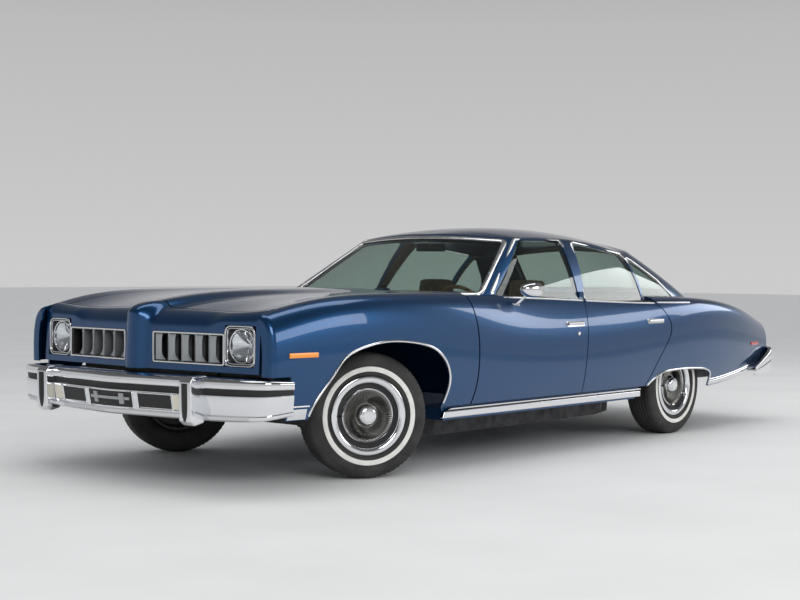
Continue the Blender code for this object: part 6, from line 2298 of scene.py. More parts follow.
@dataclass
class Tail:
    """The tail panel between the quarter panels, its lamps and the trunk lid's goosenecks."""

    panel_half_width: float = 0.6977
    panel_low: float = 0.39
    panel_high: float = 0.655
    panel_depth: Flat = (-2.60, -2.575)
    lamp_depth: Flat = (-2.62, -2.57)
    lamp_outline: tuple[Flat, ...] = (
        (0.698, 0.552), (0.830, 0.552), (0.835, 0.66), (0.775, 0.720), (0.698, 0.730)
    )
    arm_y: float = 0.485
    arm_path: tuple[Flat, ...] = ((-1.80, 0.838), (-1.945, 0.655), (-2.085, 0.690), (-2.110, 0.868))

    def build(self) -> None:
        """Makes the panel, lamps and goosenecks."""
        self.back()
        for side, sign in SIDES:
            self.lamp(side, sign)
            self.gooseneck(side, sign)

    def back(self) -> None:
        """The painted tail panel with a bright frame line."""
        half, low, high = self.panel_half_width, self.panel_low, self.panel_high
        face = rounded([(-half, low), (half, low), (half, high), (-half, high)], 0.004, 2)
        panel = add_bevel(prism("rear_panel_skin", face, *self.panel_depth, "YZ", "paint"), 0.002)
        set_on(panel, "body", "rear_panel", slot="paint")
        x = self.panel_depth[0] - 0.0005
        for name, z, width in (("upper", high - 0.022, 0.012), ("lower", 0.560, 0.010)):
            line = [(x, y, z) for y in np.linspace(-half + 0.01, half - 0.01, 20)]
            strip = swept(
                f"tail_line_{name}", line, lambda p: Vector((-1, 0, 0)), dome(width, 0.005), "chrome"
            )
            set_on(strip, "body", slot="chrome")
        rows = [
            [(x - 0.002, y, z) for y in np.linspace(-half + 0.02, half - 0.02, 60)]
            for z in np.linspace(0.570, 0.624, 8)
        ]
        applique = Panel("tail_band", rows, lambda p: Vector((-1, 0, 0)))
        set_on(applique.solid(0.0018, "argent"), "body", slot="chrome")

    def lamp(self, side: str, sign: int) -> None:
        """One tail lamp: a bright housing, a red lens and a pale reversing lens.

        Args:
            side: The word for the side.
            sign: 1 on the left and -1 on the right.
        """
        outline = [(sign * y, z) for y, z in rounded(list(self.lamp_outline), 0.015, 5)]
        rear, front = self.lamp_depth
        housing = add_bevel(
            prism(f"tail_housing_{side}", inset(outline, 0.0006), rear + 0.012, front, "YZ", "chrome"),
            0.002,
        )
        rim = add_bevel(rim_prism("rim", outline, 0.006, rear + 0.002, rear + 0.014, "chrome"), 0.0015)
        lens_line = inset(outline, 0.0065)
        lens = add_bevel(prism("lens", lens_line, rear, rear + 0.011, "YZ", "red"), 0.004, 3)
        pale = [
            (sign * y, z)
            for y, z in rounded([(0.712, 0.566), (0.818, 0.566), (0.821, 0.600), (0.712, 0.600)], 0.006)
        ]
        reverse = add_bevel(prism("reverse", pale, rear - 0.0025, rear + 0.004, "YZ", "milky"), 0.002)
        ribs = [
            block(
                "rib", (rear - 0.003, sign * 0.708, z), (rear + 0.004, sign * 0.824, z + 0.004), "chrome"
            ) for z in (0.604, 0.640)
        ]
        whole = joined(
            f"tail_lamp_skin_{side}", [housing, rim, lens, reverse, *(add_bevel(r, 0.001) for r in ribs)]
        )
        set_on(whole, "body", f"tail_lamp_{side}", slot="tail_lens")

    def gooseneck(self, side: str, sign: int) -> None:
        """One of the lid's bent arms with its eye.

        Args:
            side: The word for the side.
            sign: 1 on the left and -1 on the right.
        """
        y = sign * self.arm_y
        path = [(x, y, z) for x, z in smooth_line(self.arm_path, 8)]
        section = [(-0.006, -0.010), (0.006, -0.010), (0.006, 0.010), (-0.006, 0.010)]
        arm = swept(f"trunk_arm_{side}", path, upward, [(b, a) for a, b in section], "chassis")
        set_on(add_bevel(arm, 0.0015), "trunk", slot="chassis")
        x, z = self.arm_path[0]
        eye = swept(
            f"trunk_eye_{side}", [(x, y - 0.0055, z), (x, y + 0.0055, z)], upward, ring(0.012, 20), "steel"
        )
        set_on(eye, "trunk", slot="steel")


def rim_prism(
    name: str, outline: Sequence[Flat], rim: float, low: float, high: float, look: str
) -> bpy.types.Object:
    """A flat frame of even width round an outline in YZ, between two levels along X.

    Args:
        name: The object's name.
        outline: The outer (y, z) points.
        rim: How wide the frame is.
        low: Its rear level.
        high: Its front level.
        look: The finish.

    Returns:
        The frame as a closed object.
    """
    inner = inset(outline, rim)
    count = len(outline)
    points = [(x, y, z) for line in (outline, inner) for x in (low, high) for y, z in line]
    loops = [0, count, 3 * count, 2 * count]
    faces = []
    for a, b in zip(loops, [*loops[1:], loops[0]]):
        faces += [(a + i, a + (i + 1) % count, b + (i + 1) % count, b + i) for i in range(count)]
    return from_faces(name, points, faces, look)


# Bumpers


@dataclass
class Bumper:
    """A bright bumper bar carried round the car's end, with its guards and brackets."""

    name: str
    facing: int
    low: float
    high: float
    plan: tuple[tuple[float, ...], ...]
    section: tuple[Flat, ...]
    slot_segment: int
    guard_outline: tuple[Flat, ...]
    guard_strip: tuple[Flat, ...]
    guard_y: float
    guard_half: float
    bracket: tuple[Point, Point]
    bracket_bevel: float
    thickness: float = 0.007

    def stations(self) -> list[tuple[float, ...]]:
        """Stations of (x, y, low shift, high shift, depth) round the whole bar.

        Returns:
            The stations.
        """
        half = list(self.plan)
        other = [(x, -y, a, b, d) for x, y, a, b, d in half[:0:-1]]
        whole = [*other, *half] if self.facing > 0 else [
            *((x, -y, a, b, d) for x, y, a, b, d in other), *((x, -y, a, b, d) for x, y, a, b, d in half)
        ]
        return smooth_line(whole, 10)

    def surface(self, index: int, out: float, up: float) -> Vector:
        """A point of the bar.

        Args:
            index: Which station.
            out: How far the section stands out there.
            up: Its share of the bar's height.

        Returns:
            The point in space.
        """
        line = self.line
        x, y, low, high, depth = line[index]
        before, after = line[max(index - 1, 0)], line[min(index + 1, len(line) - 1)]
        along = Vector((after[0] - before[0], after[1] - before[1])).normalized()
        bottom, top = self.low + low, self.high + high
        return Vector((x + along.y * out * depth, y - along.x * out * depth, bottom + (top - bottom) * up))

    def build(self) -> None:
        """Makes bar, guards and brackets, and what its own end of the car adds."""
        self.bar()
        end = self.name.split("_")[0]
        for side, sign in SIDES:
            y = sign * self.guard_y
            guard = bright_guard(
                f"{end}_guard_{side}", self.guard_outline, y, self.guard_half, self.guard_strip, self.facing
            )
            set_on(guard, "body", slot="chrome")
            self.gear(side, sign)
            (x0, y0, z0), (x1, y1, z1) = self.bracket
            bracket = block(f"{end}_bracket_{side}", (x0, sign * y0, z0), (x1, sign * y1, z1), "chassis")
            set_on(add_bevel(bracket, self.bracket_bevel), "body", slot="chassis")
        self.plate_place()

    def gear(self, side: str, sign: int) -> None:
        """What else one half of the bar carries.

        Args:
            side: The word for the side.
            sign: 1 on the left and -1 on the right.
        """

    def plate_place(self) -> None:
        """The place of the number plate."""

    def bar(self) -> bpy.types.Object:
        """The bar itself as a hollow closed shell.

        Returns:
            The bar.
        """
        self.line = self.stations()
        outer = list(self.section)
        wall = self.thickness
        inner = [(o - wall, min(max(u, 0.045), 0.955)) for o, u in outer[::-1]]
        section = outer + inner
        points = [self.surface(i, o, u) for i in range(len(self.line)) for o, u in section]
        count = len(section)
        faces = grid_faces(len(self.line), count, wrap=True)
        half = len(outer)
        for base in (0, (len(self.line) - 1) * count):
            faces += [
                (base + i, base + i + 1, base + count - 2 - i, base + count - 1 - i)
                for i in range(half - 1)
            ]
        piece = from_faces(f"{self.name}_bar", points, faces, "chrome", 50)
        piece.data.materials.append(LOOK("black"))
        for face in piece.data.polygons:
            if face.index < (len(self.line) - 1) * count and face.index % count == self.slot_segment:
                face.material_index = 1
        return set_on(piece, "body", self.name, slot="chrome")

    def place(self, y: float, up: float, out: float = 0.0) -> Vector:
        """A point on the bar's face by distance across the car.

        Args:
            y: Where across.
            up: Share of the bar's height.
            out: How far before the face.

        Returns:
            The point.
        """
        ys = [s[1] for s in self.line]
        order = np.argsort(ys)
        ordered = [ys[i] for i in order]
        spot = float(np.interp(y, ordered, order))
        first = int(spot)
        face = float(np.interp(up, [u for _, u in self.section][::-1], [o for o, _ in self.section][::-1]))
        a = self.surface(first, face + out, up)
        b = self.surface(min(first + 1, len(self.line) - 1), face + out, up)
        return a.lerp(b, spot - first)

    def patch(
        self, name: str, span: Flat, ups: Flat, rise: float, look: str, bevel: float = 0.002
    ) -> bpy.types.Object:
        """A plate laid on the bar's face.

        Args:
            name: The object's name.
            span: Its two ends across the car.
            ups: Its lower and upper share of the bar's height.
            rise: How proud it stands.
            look: The finish.
            bevel: Width of its rounded edge.

        Returns:
            The plate.
        """
        columns, rows = 14, 5
        places = [(y, up) for up in np.linspace(*ups, rows) for y in np.linspace(*span, columns)]
        points = [self.place(y, up, rise) for y, up in places] + [
            self.place(y, up, -0.003) for y, up in places
        ]
        return add_bevel(from_faces(name, points, plate_faces(rows, columns), look), bevel)

    def frame(self, name: str, span: Flat, ups: Flat, width: float) -> bpy.types.Object:
        """A bright bead round a place on the bar's face.

        Args:
            name: The object's name.
            span: Its two ends across the car.
            ups: Its lower and upper share of the bar's height.
            width: The bead's width.

        Returns:
            The bead.
        """
        corners = [(span[0], ups[0]), (span[1], ups[0]), (span[1], ups[1]), (span[0], ups[1])]
        tall = self.high - self.low
        flat = rounded([(y, u * tall) for y, u in corners], 0.010, 5)
        line = [self.place(y, u / tall, 0.001) for y, u in flat]
        return swept(
            name, line, lambda p: Vector((self.facing, 0, 0)), dome(width, width * 0.6), "chrome", True
        )


def bright_guard(
    name: str, outline: Sequence[Flat], y: float, half: float, strip: Sequence[Flat], facing: int
) -> bpy.types.Object:
    """An upright bumper guard with a black strip down its leading edge.

    Args:
        name: The object's name.
        outline: Its (x, z) side view.
        y: Its middle.
        half: Half its width.
        strip: The strip's (x, z) path.
        facing: 1 at the front and -1 at the rear.

    Returns:
        The guard as one object.
    """
    horn = add_bevel(
        prism("horn", rounded(list(outline), 0.012, 4), y - half, y + half, "XZ", "chrome"), 0.009, 4
    )
    path = [(x, y, z) for x, z in smooth_line(strip, 6)]
    rubber = swept("rubber", path, lambda p: Vector((facing, 0, 0)), dome(half * 0.9, 0.006), "black")
    return joined(name, [horn, rubber])


class FrontBumper(Bumper):
    """The V-shaped front bumper with guards, parking lamps, and black patches of painted shade for its air
    openings and plate place.
    """

    def __init__(self) -> None:
        """Gives the bar the front's sizes."""
        super().__init__(
            name="front_bumper",
            facing=1,
            low=0.345,
            high=FRONT_BUMPER_HIGH,
            plan=(
                (2.690, 0.0, 0, 0, 1),
                (2.672, 0.18, 0, 0, 1),
                (2.650, 0.36, 0, 0, 1),
                (2.622, 0.54, 0, 0, 1),
                (2.590, 0.70, 0, 0, 1),
                (2.555, 0.84, 0.004, 0, 0.9),
                (2.510, 0.925, 0.010, -0.002, 0.7),
                (2.455, 0.962, 0.018, -0.004, 0.6),
                (2.356, 0.980, 0.030, -0.010, 0.5),
            ),
            section=(
                (-0.182, 1.000),
                (-0.024, 0.985),
                (-0.010, 0.968),
                (-0.002, 0.935),
                (0.000, 0.905),
                (0.000, 0.790),
                (-0.003, 0.765),
                (-0.016, 0.745),
                (-0.019, 0.620),
                (-0.006, 0.600),
                (-0.005, 0.580),
                (-0.008, 0.500),
                (-0.020, 0.190),
                (-0.026, 0.130),
                (-0.017, 0.112),
                (-0.016, 0.050),
                (-0.026, 0.010),
                (-0.070, 0.000),
            ),
            slot_segment=7,
            guard_outline=(
                (2.580, 0.335),
                (2.640, 0.322),
                (2.668, 0.345),
                (2.672, 0.53),
                (2.655, 0.556),
                (2.56, 0.560),
                (2.56, 0.54),
            ),
            guard_strip=((2.662, 0.345), (2.670, 0.40), (2.6725, 0.47), (2.6735, 0.525)),
            guard_y=0.56,
            guard_half=0.042,
            bracket=((2.335, 0.39, 0.40), (2.60, 0.45, 0.46)),
            bracket_bevel=0.004,
        )

    def gear(self, side: str, sign: int) -> None:
        """Parking lamp, air opening and plate tab of one half.

        Args:
            side: The word for the side.
            sign: 1 on the left and -1 on the right.
        """
        lamp, air = sorted((sign * 0.432, sign * 0.515)), sorted((sign * 0.205, sign * 0.424))
        set_on(self.patch(f"parking_lens_{side}", lamp, (0.22, 0.545), 0.003, "milky"), "body")
        set_on(self.frame(f"parking_rim_{side}", lamp, (0.19, 0.570), 0.005), "body", slot="chrome")
        # The air opening is a flat black patch on the bar: painted shade for the dark inside the opening.
        set_on(self.patch(f"air_opening_shade_{side}", air, (0.22, 0.545), 0.0008, "black", 0.0004), "body")
        set_on(self.frame(f"air_rim_{side}", air, (0.19, 0.570), 0.005), "body", slot="chrome")
        tab = self.patch(
            f"front_plate_tab_{side}",
            sorted((sign * 0.085, sign * 0.115)),
            (0.26, 0.52),
            0.009,
            "argent",
            0.001,
        )
        set_on(tab, "body")

    def plate_place(self) -> None:
        """The plate place as a flat black patch of painted shade for its recess, with its bracket and rim."""
        set_on(
            self.patch("front_plate_shade", (-0.17, 0.17), (0.19, 0.56), 0.0008, "black", 0.0004), "body"
        )
        set_on(
            self.patch("front_plate_bracket", (-0.15, 0.15), (0.36, 0.43), 0.006, "argent", 0.001), "body"
        )
        set_on(self.frame("front_plate_rim", (-0.17, 0.17), (0.17, 0.575), 0.005), "body", slot="chrome")


class RearBumper(Bumper):
    """The rear bumper that wraps round to the wheels, with its guards."""

    def __init__(self) -> None:
        """Gives the bar the rear's sizes."""
        super().__init__(
            name="rear_bumper",
            facing=-1,
            low=0.350,
            high=0.540,
            plan=(
                (-2.690, 0.0, 0, 0, 1),
                (-2.687, 0.30, 0, 0, 1),
                (-2.680, 0.58, 0, 0, 0.7),
                (-2.666, 0.78, 0, 0, 0.5),
                (-2.634, 0.895, 0, -0.002, 0.4),
                (-2.560, 0.948, -0.002, -0.020, 0.4),
                (-2.420, 0.966, -0.004, -0.080, 0.3),
                (-2.270, 0.974, -0.004, -0.140, 0.3),
            ),
            section=(
                (-0.065, 1.000),
                (-0.020, 0.985),
                (-0.008, 0.965),
                (-0.001, 0.925),
                (0.000, 0.880),
                (0.000, 0.620),
                (-0.004, 0.580),
                (-0.010, 0.565),
                (-0.012, 0.500),
                (-0.022, 0.060),
                (-0.030, 0.020),
                (-0.050, 0.000),
            ),
            slot_segment=7,
            guard_outline=(
                (-2.600, 0.335),
                (-2.655, 0.332),
                (-2.676, 0.36),
                (-2.678, 0.52),
                (-2.665, 0.546),
                (-2.62, 0.548),
            ),
            guard_strip=((-2.670, 0.352), (-2.6785, 0.40), (-2.680, 0.47), (-2.680, 0.515)),
            guard_y=0.44,
            guard_half=0.036,
            bracket=((-2.665, 0.47, 0.356), (-2.45, 0.53, 0.379)),
            bracket_bevel=0.003,
        )

    def plate_place(self) -> None:
        """The plate place as a flat black patch of painted shade for its recess, with its bracket and rim."""
        set_on(self.patch("rear_plate_shade", (-0.17, 0.17), (0.10, 0.55), 0.0008, "black", 0.0004), "body")
        set_on(
            self.patch("rear_plate_bracket", (-0.14, 0.14), (0.28, 0.38), 0.006, "argent", 0.001), "body"
        )
        set_on(self.frame("rear_plate_rim", (-0.17, 0.17), (0.09, 0.565), 0.005), "body", slot="chrome")


# Grilles and headlamps


def leaned(piece: bpy.types.Object) -> bpy.types.Object:
    """The piece swept back with the nose, away from the car's middle.

    Args:
        piece: The object.

    Returns:
        The same object.
    """
    for vertex in piece.data.vertices:
        vertex.co.x -= NOSE_SWEEP * (abs(vertex.co.y) - GRILLE_INNER_Y)
    return piece


def beaded(
    name: str, start: Vector, end: Vector, radius: float, pitch: float, look: str
) -> bpy.types.Object:
    """A thin rod whose surface swells into a row of beads.

    Args:
        name: The object's name.
        start: Its lower end.
        end: Its upper end.
        radius: The beads' radius.
        pitch: Distance from bead to bead.
        look: The finish.

    Returns:
        The rod.
    """
    count = int((end - start).length / pitch) * 4
    points = []
    for i in range(count + 1):
        swell = radius * (0.55 + 0.45 * abs(math.sin(math.pi * i / 4)))
        place = start.lerp(end, i / count)
        points += [
            place + Vector((swell * math.cos(t), swell * math.sin(t), 0))
            for t in np.linspace(0, math.tau, 6, endpoint=False)
        ]
    faces = grid_faces(count + 1, 6, wrap=True) + [tuple(range(6)), tuple(range(count * 6, count * 6 + 6))]
    return from_faces(name, points, faces, look, 60)


@dataclass
class Grille:
    """One grille: a bright frame, five openings with a curved vane in each, and beaded dividers."""

    inner: float = 0.1058
    outer: float = 0.5992
    low: float = 0.5988
    high: float = 0.7562
    back: float = 2.405
    front: float = 2.487
    rim: float = 0.013
    openings: int = 5
    divider: float = 0.0022

    def build(self, side: str, sign: int) -> None:
        """Makes one grille.

        Args:
            side: The word for the side.
            sign: 1 on the left and -1 on the right.
        """
        corners = [
            (self.inner, self.low), (self.outer, self.low), (self.outer, self.high), (self.inner, self.high)
        ]
        outline = rounded(corners, 0.013, 5)
        pieces = [
            add_bevel(
                rim_prism("frame", outline, self.rim * 0.7, self.back + 0.02, self.front, "chrome"),
                0.002,
                3,
            ),
            add_bevel(
                rim_prism(
                    "step",
                    inset(outline, self.rim * 0.7),
                    0.005,
                    self.back + 0.02,
                    self.front - 0.010,
                    "black",
                ),
                0.001,
            ),
            prism("back", inset(outline, 0.003), self.back, self.back + 0.006, "YZ", "black"),
        ]
        width = (self.outer - self.inner - 2 * self.rim) / self.openings
        for i in range(self.openings):
            start = self.inner + self.rim + i * width
            pieces.append(self.vane(start, width))
            if i:
                bar = block(
                    "bar",
                    (self.back + 0.010, start - self.divider, self.low + 0.008),
                    (self.front - 0.012, start + self.divider, self.high - 0.008),
                    "argent",
                )
                pieces.append(add_bevel(bar, 0.001))
                for shift in (-0.0034, 0.0034):
                    foot = Vector((self.front - 0.011, start + shift, self.low + 0.009))
                    head = Vector((self.front - 0.011, start + shift, self.high - 0.009))
                    pieces.append(beaded("beads", foot, head, 0.0022, 0.0042, "chrome"))
        whole = leaned(joined(f"grille_skin_{side}", pieces))
        for vertex in whole.data.vertices:
            vertex.co.y *= sign
        if sign < 0:
            whole.data.flip_normals()
        set_on(whole, "body", f"grille_{side}", slot="chrome")

    def vane(self, start: float, width: float) -> bpy.types.Object:
        """A vane that curves back from its divider, narrow in the middle and flared at the foot.

        Args:
            start: Where its opening begins.
            width: The opening's width.

        Returns:
            The vane.
        """
        rows, front, back = [], [], []
        for z in np.linspace(self.low + 0.009, self.high - 0.009, 21):
            up = (z - self.low) / (self.high - self.low)
            reach = width * (
                0.34 + 0.40 * (1 - smooth_step(up / 0.42)) ** 2 + 0.10 * smooth_step((up - 0.70) / 0.30)
            )
            row = []
            for s in np.linspace(0, 1, 13):
                depth = 0.010 + 0.014 * s**0.7 - 0.003 * math.sin(math.pi * s)
                row.append((self.front - depth, start + 0.003 + (reach - 0.006) * s, z))
            rows.append(row)
        panel = Panel("vane", rows, lambda p: Vector((1, 0.4, 0)))
        return panel.solid(0.002, "argent")


@dataclass
class Headlamp:
    """A round lamp in a square bezel with a double bright ring."""

    inner: float = 0.6008
    outer: float = 0.8022
    low: float = 0.5988
    high: float = 0.7972
    back: float = 2.405
    front: float = 2.487
    middle: Flat = (0.7015, 0.698)
    well: float = 0.0842
    scale: float = 0.93
    cup: tuple[Flat, ...] = (
        (0.100, -0.045),
        (0.094, 0.0),
        (0.0905, 0.0),
        (0.088, -0.030),
        (0.001, -0.058),
        (0.001, -0.062),
    )
    collar: tuple[Flat, ...] = (
        (0.0905, -0.006),
        (0.0905, 0.004),
        (0.088, 0.007),
        (0.084, 0.006),
        (0.083, 0.0),
        (0.083, -0.006),
    )

    def build(self, side: str, sign: int) -> None:
        """Makes one lamp with its bezel.

        Args:
            side: The word for the side.
            sign: 1 on the left and -1 on the right.
        """
        corners = [
            (self.inner, self.low), (self.outer, self.low), (self.outer, self.high), (self.inner, self.high)
        ]
        outline = rounded(corners, 0.046, 14)
        pieces = [
            add_bevel(
                rim_prism("bezel", outline, 0.007, self.back + 0.02, self.front, "chrome"), 0.0025, 3
            ),
            add_bevel(
                rim_prism(
                    "groove", inset(outline, 0.007), 0.004, self.back + 0.02, self.front - 0.010, "black"
                ),
                0.0008,
            ),
            add_bevel(
                rim_prism(
                    "second", inset(outline, 0.011), 0.005, self.back + 0.02, self.front - 0.005, "chrome"
                ),
                0.002,
                3,
            ),
            self.surround(inset(outline, 0.016)),
            self.part("cup", self.cup, "chrome"),
            self.part("collar", self.collar, "chrome"),
            self.part("bowl", self.bowl(), "chrome"),
            self.part("lens", self.dome(), "lens"),
        ]
        whole = leaned(joined(f"headlamp_skin_{side}", pieces))
        for vertex in whole.data.vertices:
            vertex.co.y *= sign
        if sign < 0:
            whole.data.flip_normals()
        set_on(whole, "body", f"headlamp_{side}", slot="chrome")

    def part(self, name: str, profile: Sequence[Flat], look: str) -> bpy.types.Object:
        """A turned part of the lamp about its own axis.

        Args:
            name: The object's name.
            profile: The (radius, along) points.
            look: The finish.

        Returns:
            The part.
        """
        piece = turned(name, [(r * self.scale, along) for r, along in profile], 72, look)
        piece.data.transform(
            Matrix.Translation((self.front - 0.022, *self.middle)) @ Matrix.Rotation(-math.pi / 2, 4, "Z")
        )
        return piece

    def bowl(self) -> list[Flat]:
        """The reflector's section."""
        front = [(0.004 + 0.076 * s, -0.052 + 0.046 * s**2) for s in np.linspace(0, 1, 12)]
        return [(0.0815, -0.0055), *front[::-1], (0.004, -0.056)]

    def dome(self) -> list[Flat]:
        """The lens's section: a shallow crown of even thickness.

        Returns:
            The section's points.
        """
        shares = np.linspace(0, 1, 9)
        outer = [(0.0825 * s + 0.0005, 0.003 + 0.010 * (1 - s**2.4)) for s in shares]
        return [*outer[::-1], *((r, z - 0.004) for r, z in outer)]

    def surround(self, outline: Sequence[Flat]) -> bpy.types.Object:
        """The dished surface between the square bezel and the round lamp.

        Args:
            outline: The bezel's inner (y, z) points.

        Returns:
            The surround.
        """
        cy, cz = self.middle
        rows, steps = [], 7
        for k in range(steps + 1):
            share = k / steps
            row = []
            for y, z in outline:
                turn = math.atan2(z - cz, y - cy)
                ty, tz = cy + self.well * math.cos(turn), cz + self.well * math.sin(turn)
                depth = 0.012 + 0.016 * math.sin(share * math.pi / 2)
                row.append((self.front - depth, y + (ty - y) * share, z + (tz - z) * share))
            rows.append(row)
        return Panel("surround", rows, lambda p: Vector((1, 0, 0)), loop=True).solid(0.002, "black")


# Wheels and tyres


@dataclass
class Wheel:
    """A wheel with its bright trim ring, dark step, fine radial fins and hub cone, and its whitewall tyre."""

    fins: int = 84
    fin_height: float = 0.0035
    tread_radius: float = 0.3229
    tread_half: float = 0.072
    grooves: tuple[float, ...] = (-0.048, -0.024, 0.0, 0.024, 0.048)
    groove_half: float = 0.0032
    groove_depth: float = 0.007
    white_band: Flat = (0.228, 0.252)
    barrel: tuple[Flat, ...] = (
        (0.196, -0.066),
        (0.196, 0.080),
        (0.190, 0.082),
        (0.186, 0.036),
        (0.060, 0.030),
        (0.001, 0.030),
        (0.001, -0.085),
        (0.062, -0.085),
        (0.062, 0.0),
        (0.170, 0.0),
        (0.182, -0.066),
    )
    trim_ring: tuple[Flat, ...] = (
        (0.190, 0.070),
        (0.2035, 0.084),
        (0.203, 0.0895),
        (0.197, 0.0925),
        (0.184, 0.093),
        (0.172, 0.088),
        (0.1655, 0.078),
        (0.1645, 0.066),
    )
    dark_step: tuple[Flat, ...] = (
        (0.166, 0.060),
        (0.166, 0.0665),
        (0.158, 0.0655),
        (0.148, 0.0665),
        (0.139, 0.071),
        (0.139, 0.060),
    )
    bead_ring: tuple[Flat, ...] = (
        (0.1395, 0.060),
        (0.1395, 0.0735),
        (0.1365, 0.076),
        (0.1330, 0.0735),
        (0.1330, 0.060),
    )
    hub_cone: tuple[Flat, ...] = (
        (0.0575, 0.040),
        (0.0575, 0.054),
        (0.0545, 0.060),
        (0.050, 0.074),
        (0.044, 0.0845),
        (0.037, 0.0885),
        (0.0335, 0.0885),
        (0.0325, 0.0905),
        (0.026, 0.0915),
        (0.001, 0.092),
        (0.001, 0.040),
    )
    sidewall: tuple[Flat, ...] = (
        (0.3185, 0.0790),
        (0.3105, 0.0865),
        (0.2990, 0.0915),
        (0.2890, 0.0945),
        (0.2885, 0.0955),
        (0.2790, 0.0970),
        (0.2640, 0.0978),
        (0.2545, 0.0977),
        (0.2525, 0.0985),
        (0.2400, 0.0988),
        (0.2275, 0.0977),
        (0.2255, 0.0966),
        (0.2165, 0.0935),
        (0.2155, 0.0945),
        (0.2115, 0.0925),
        (0.2070, 0.0870),
        (0.2020, 0.0800),
        (0.1975, 0.0715),
    )
    valve_stem: tuple[Flat, ...] = (
        (0.0004, 0.060),
        (0.0042, 0.060),
        (0.0042, 0.100),
        (0.0036, 0.104),
        (0.0004, 0.1045),
    )

    def build(self, end: str, side: str, sign: int) -> None:
        """Makes one wheel and tyre in place.

        Args:
            end: front or rear.
            side: The word for the side.
            sign: 1 on the left and -1 on the right.
        """
        place = self.place(end, sign)
        body = f"roll_{end}_{side}"
        pieces = [
            turned("barrel", self.barrel, 72, "iron"),
            turned("trim ring", smooth_open(self.trim_ring), 144, "chrome", angle=60),
            turned("step", self.dark_step, 120, "black"),
            turned("bead", self.bead_ring, 120, "chrome"),
            self.fan(),
            turned("cone", smooth_open(self.hub_cone), 96, "chrome", angle=50),
            self.valve(),
        ]
        wheel = joined(f"wheel_skin_{end}_{side}", pieces)
        wheel.data.transform(place)
        set_on(wheel, body, f"wheel_{end}_{side}", slot="chrome")
        tyre = self.tyre(f"tyre_skin_{end}_{side}")
        tyre.data.transform(place)
        set_on(tyre, body, f"tyre_{end}_{side}", slot="tyre")

    def place(self, end: str, sign: int) -> Matrix:
        """Where a wheel stands: steered at the front, straight at the rear.

        Args:
            end: front or rear.
            sign: 1 on the left and -1 on the right.

        Returns:
            Its place as a matrix.
        """
        face = Matrix.Identity(4) if sign > 0 else Matrix.Rotation(math.pi, 4, "Z")
        if end == "rear":
            return Matrix.Translation((REAR_AXLE_X, sign * HALF_TRACK, HUB_Z)) @ face
        pin = Matrix.Translation((FRONT_AXLE_X, sign * KINGPIN_Y, HUB_Z))
        out = Matrix.Translation((0, sign * (HALF_TRACK - KINGPIN_Y), 0))
        return pin @ Matrix.Rotation(STEER_AT_REST, 4, "Z") @ out @ face

    def fan(self) -> bpy.types.Object:
        """The dished ring of radial fins.

        Returns:
            The ring about its own axis.
        """
        turns = self.fins * 6
        radii = np.linspace(0.0565, 0.1335, 12)
        points, lows = [], []
        for r in radii:
            share = (r - radii[0]) / (radii[-1] - radii[0])
            dish = 0.052 + 0.019 * share**2 - 0.004 * math.sin(math.pi * share)
            lift = self.fin_height * min(1, 6 * share, 8 * (1 - share))
            for k in range(turns):
                wave = abs(2 * ((k / 6) % 1) - 1)
                angle = math.tau * k / turns
                points.append((r * math.cos(angle), dish + lift * (1 - wave) ** 0.8, r * math.sin(angle)))
        size = len(points)
        for r in radii[[0, -1]]:
            lows += [
                (r * math.cos(math.tau * k / turns), 0.040, r * math.sin(math.tau * k / turns))
                for k in range(turns)
            ]
        faces = grid_faces(len(radii), turns, wrap=True)
        last = (len(radii) - 1) * turns
        for k in range(turns):
            n = (k + 1) % turns
            faces += [(k, n, size + n, size + k), (last + k, last + n, size + turns + n, size + turns + k)]
            faces.append((size + k, size + n, size + turns + n, size + turns + k))
        fan = from_faces("fins", [*points, *lows], faces, "fins", 25)
        # Faces in the valleys between the fins take the black finish: painted shade in the valleys.
        fan.data.materials.append(LOOK("black"))
        for face in fan.data.polygons:
            turn = math.atan2(face.center.z, face.center.x) / math.tau * self.fins
            if abs((turn + 0.5) % 1 - 0.5) < 0.2:
                face.material_index = 1
        return fan

    def valve(self) -> bpy.types.Object:
        """The tyre valve through the trim ring.

        Returns:
            The valve.
        """
        piece = turned("valve", [(r, z - 0.012) for r, z in self.valve_stem], 16, "black")
        piece.data.transform(Matrix.Translation((0.150, 0, 0.0)))
        return piece

    def tyre(self, name: str) -> bpy.types.Object:
        """The tyre: grooved tread with notched shoulders, ribbed sidewalls and the white band.

        Args:
            name: The object's name.

        Returns:
            The tyre about its own axis.
        """
        top = self.tread_radius
        tread = [(top - 0.0015, -self.tread_half)]
        for groove in self.grooves:
            low, high = groove - self.groove_half, groove + self.groove_half
            tread += [
                (top, low),
                (top - self.groove_depth, low + 0.0008),
                (top - self.groove_depth, high - 0.0008),
                (top, high),
            ]
        tread.append((top - 0.0015, self.tread_half))
        inner = [(r, -w) for r, w in self.sidewall]
        profile = [*inner[::-1], *tread, *self.sidewall]
        turns = 288
        shoulder = len(inner)
        points = []
        for index, (r, along) in enumerate(profile):
            edge = index in (shoulder - 1, shoulder, shoulder + len(tread) - 1, shoulder + len(tread))
            for k in range(turns):
                notch = 0.004 if edge and k % 4 == 0 else 0.0
                angle = math.tau * k / turns
                points.append(((r - notch) * math.cos(angle), along, (r - notch) * math.sin(angle)))
        faces = grid_faces(len(profile), turns, wrap=True)
        last = (len(profile) - 1) * turns
        faces += [(last + k, last + (k + 1) % turns, (k + 1) % turns, k) for k in range(turns)]
        piece = from_faces(name, points, faces, "rubber", 40)
        piece.data.materials.append(LOOK("whitewall"))
        white_low, white_high = self.white_band
        for face in piece.data.polygons:
            radius = math.hypot(face.center.x, face.center.z)
            if face.center.y > 0.09 and white_low - 0.001 < radius < white_high + 0.001:
                face.material_index = 1
        return piece


def smooth_open(profile: Sequence[Flat]) -> list[Flat]:
    """A turned profile with its outer points joined smoothly."""
    return [profile[0], *smooth_line(profile[1:-1], 3), profile[-1]]


# Mirror and sills


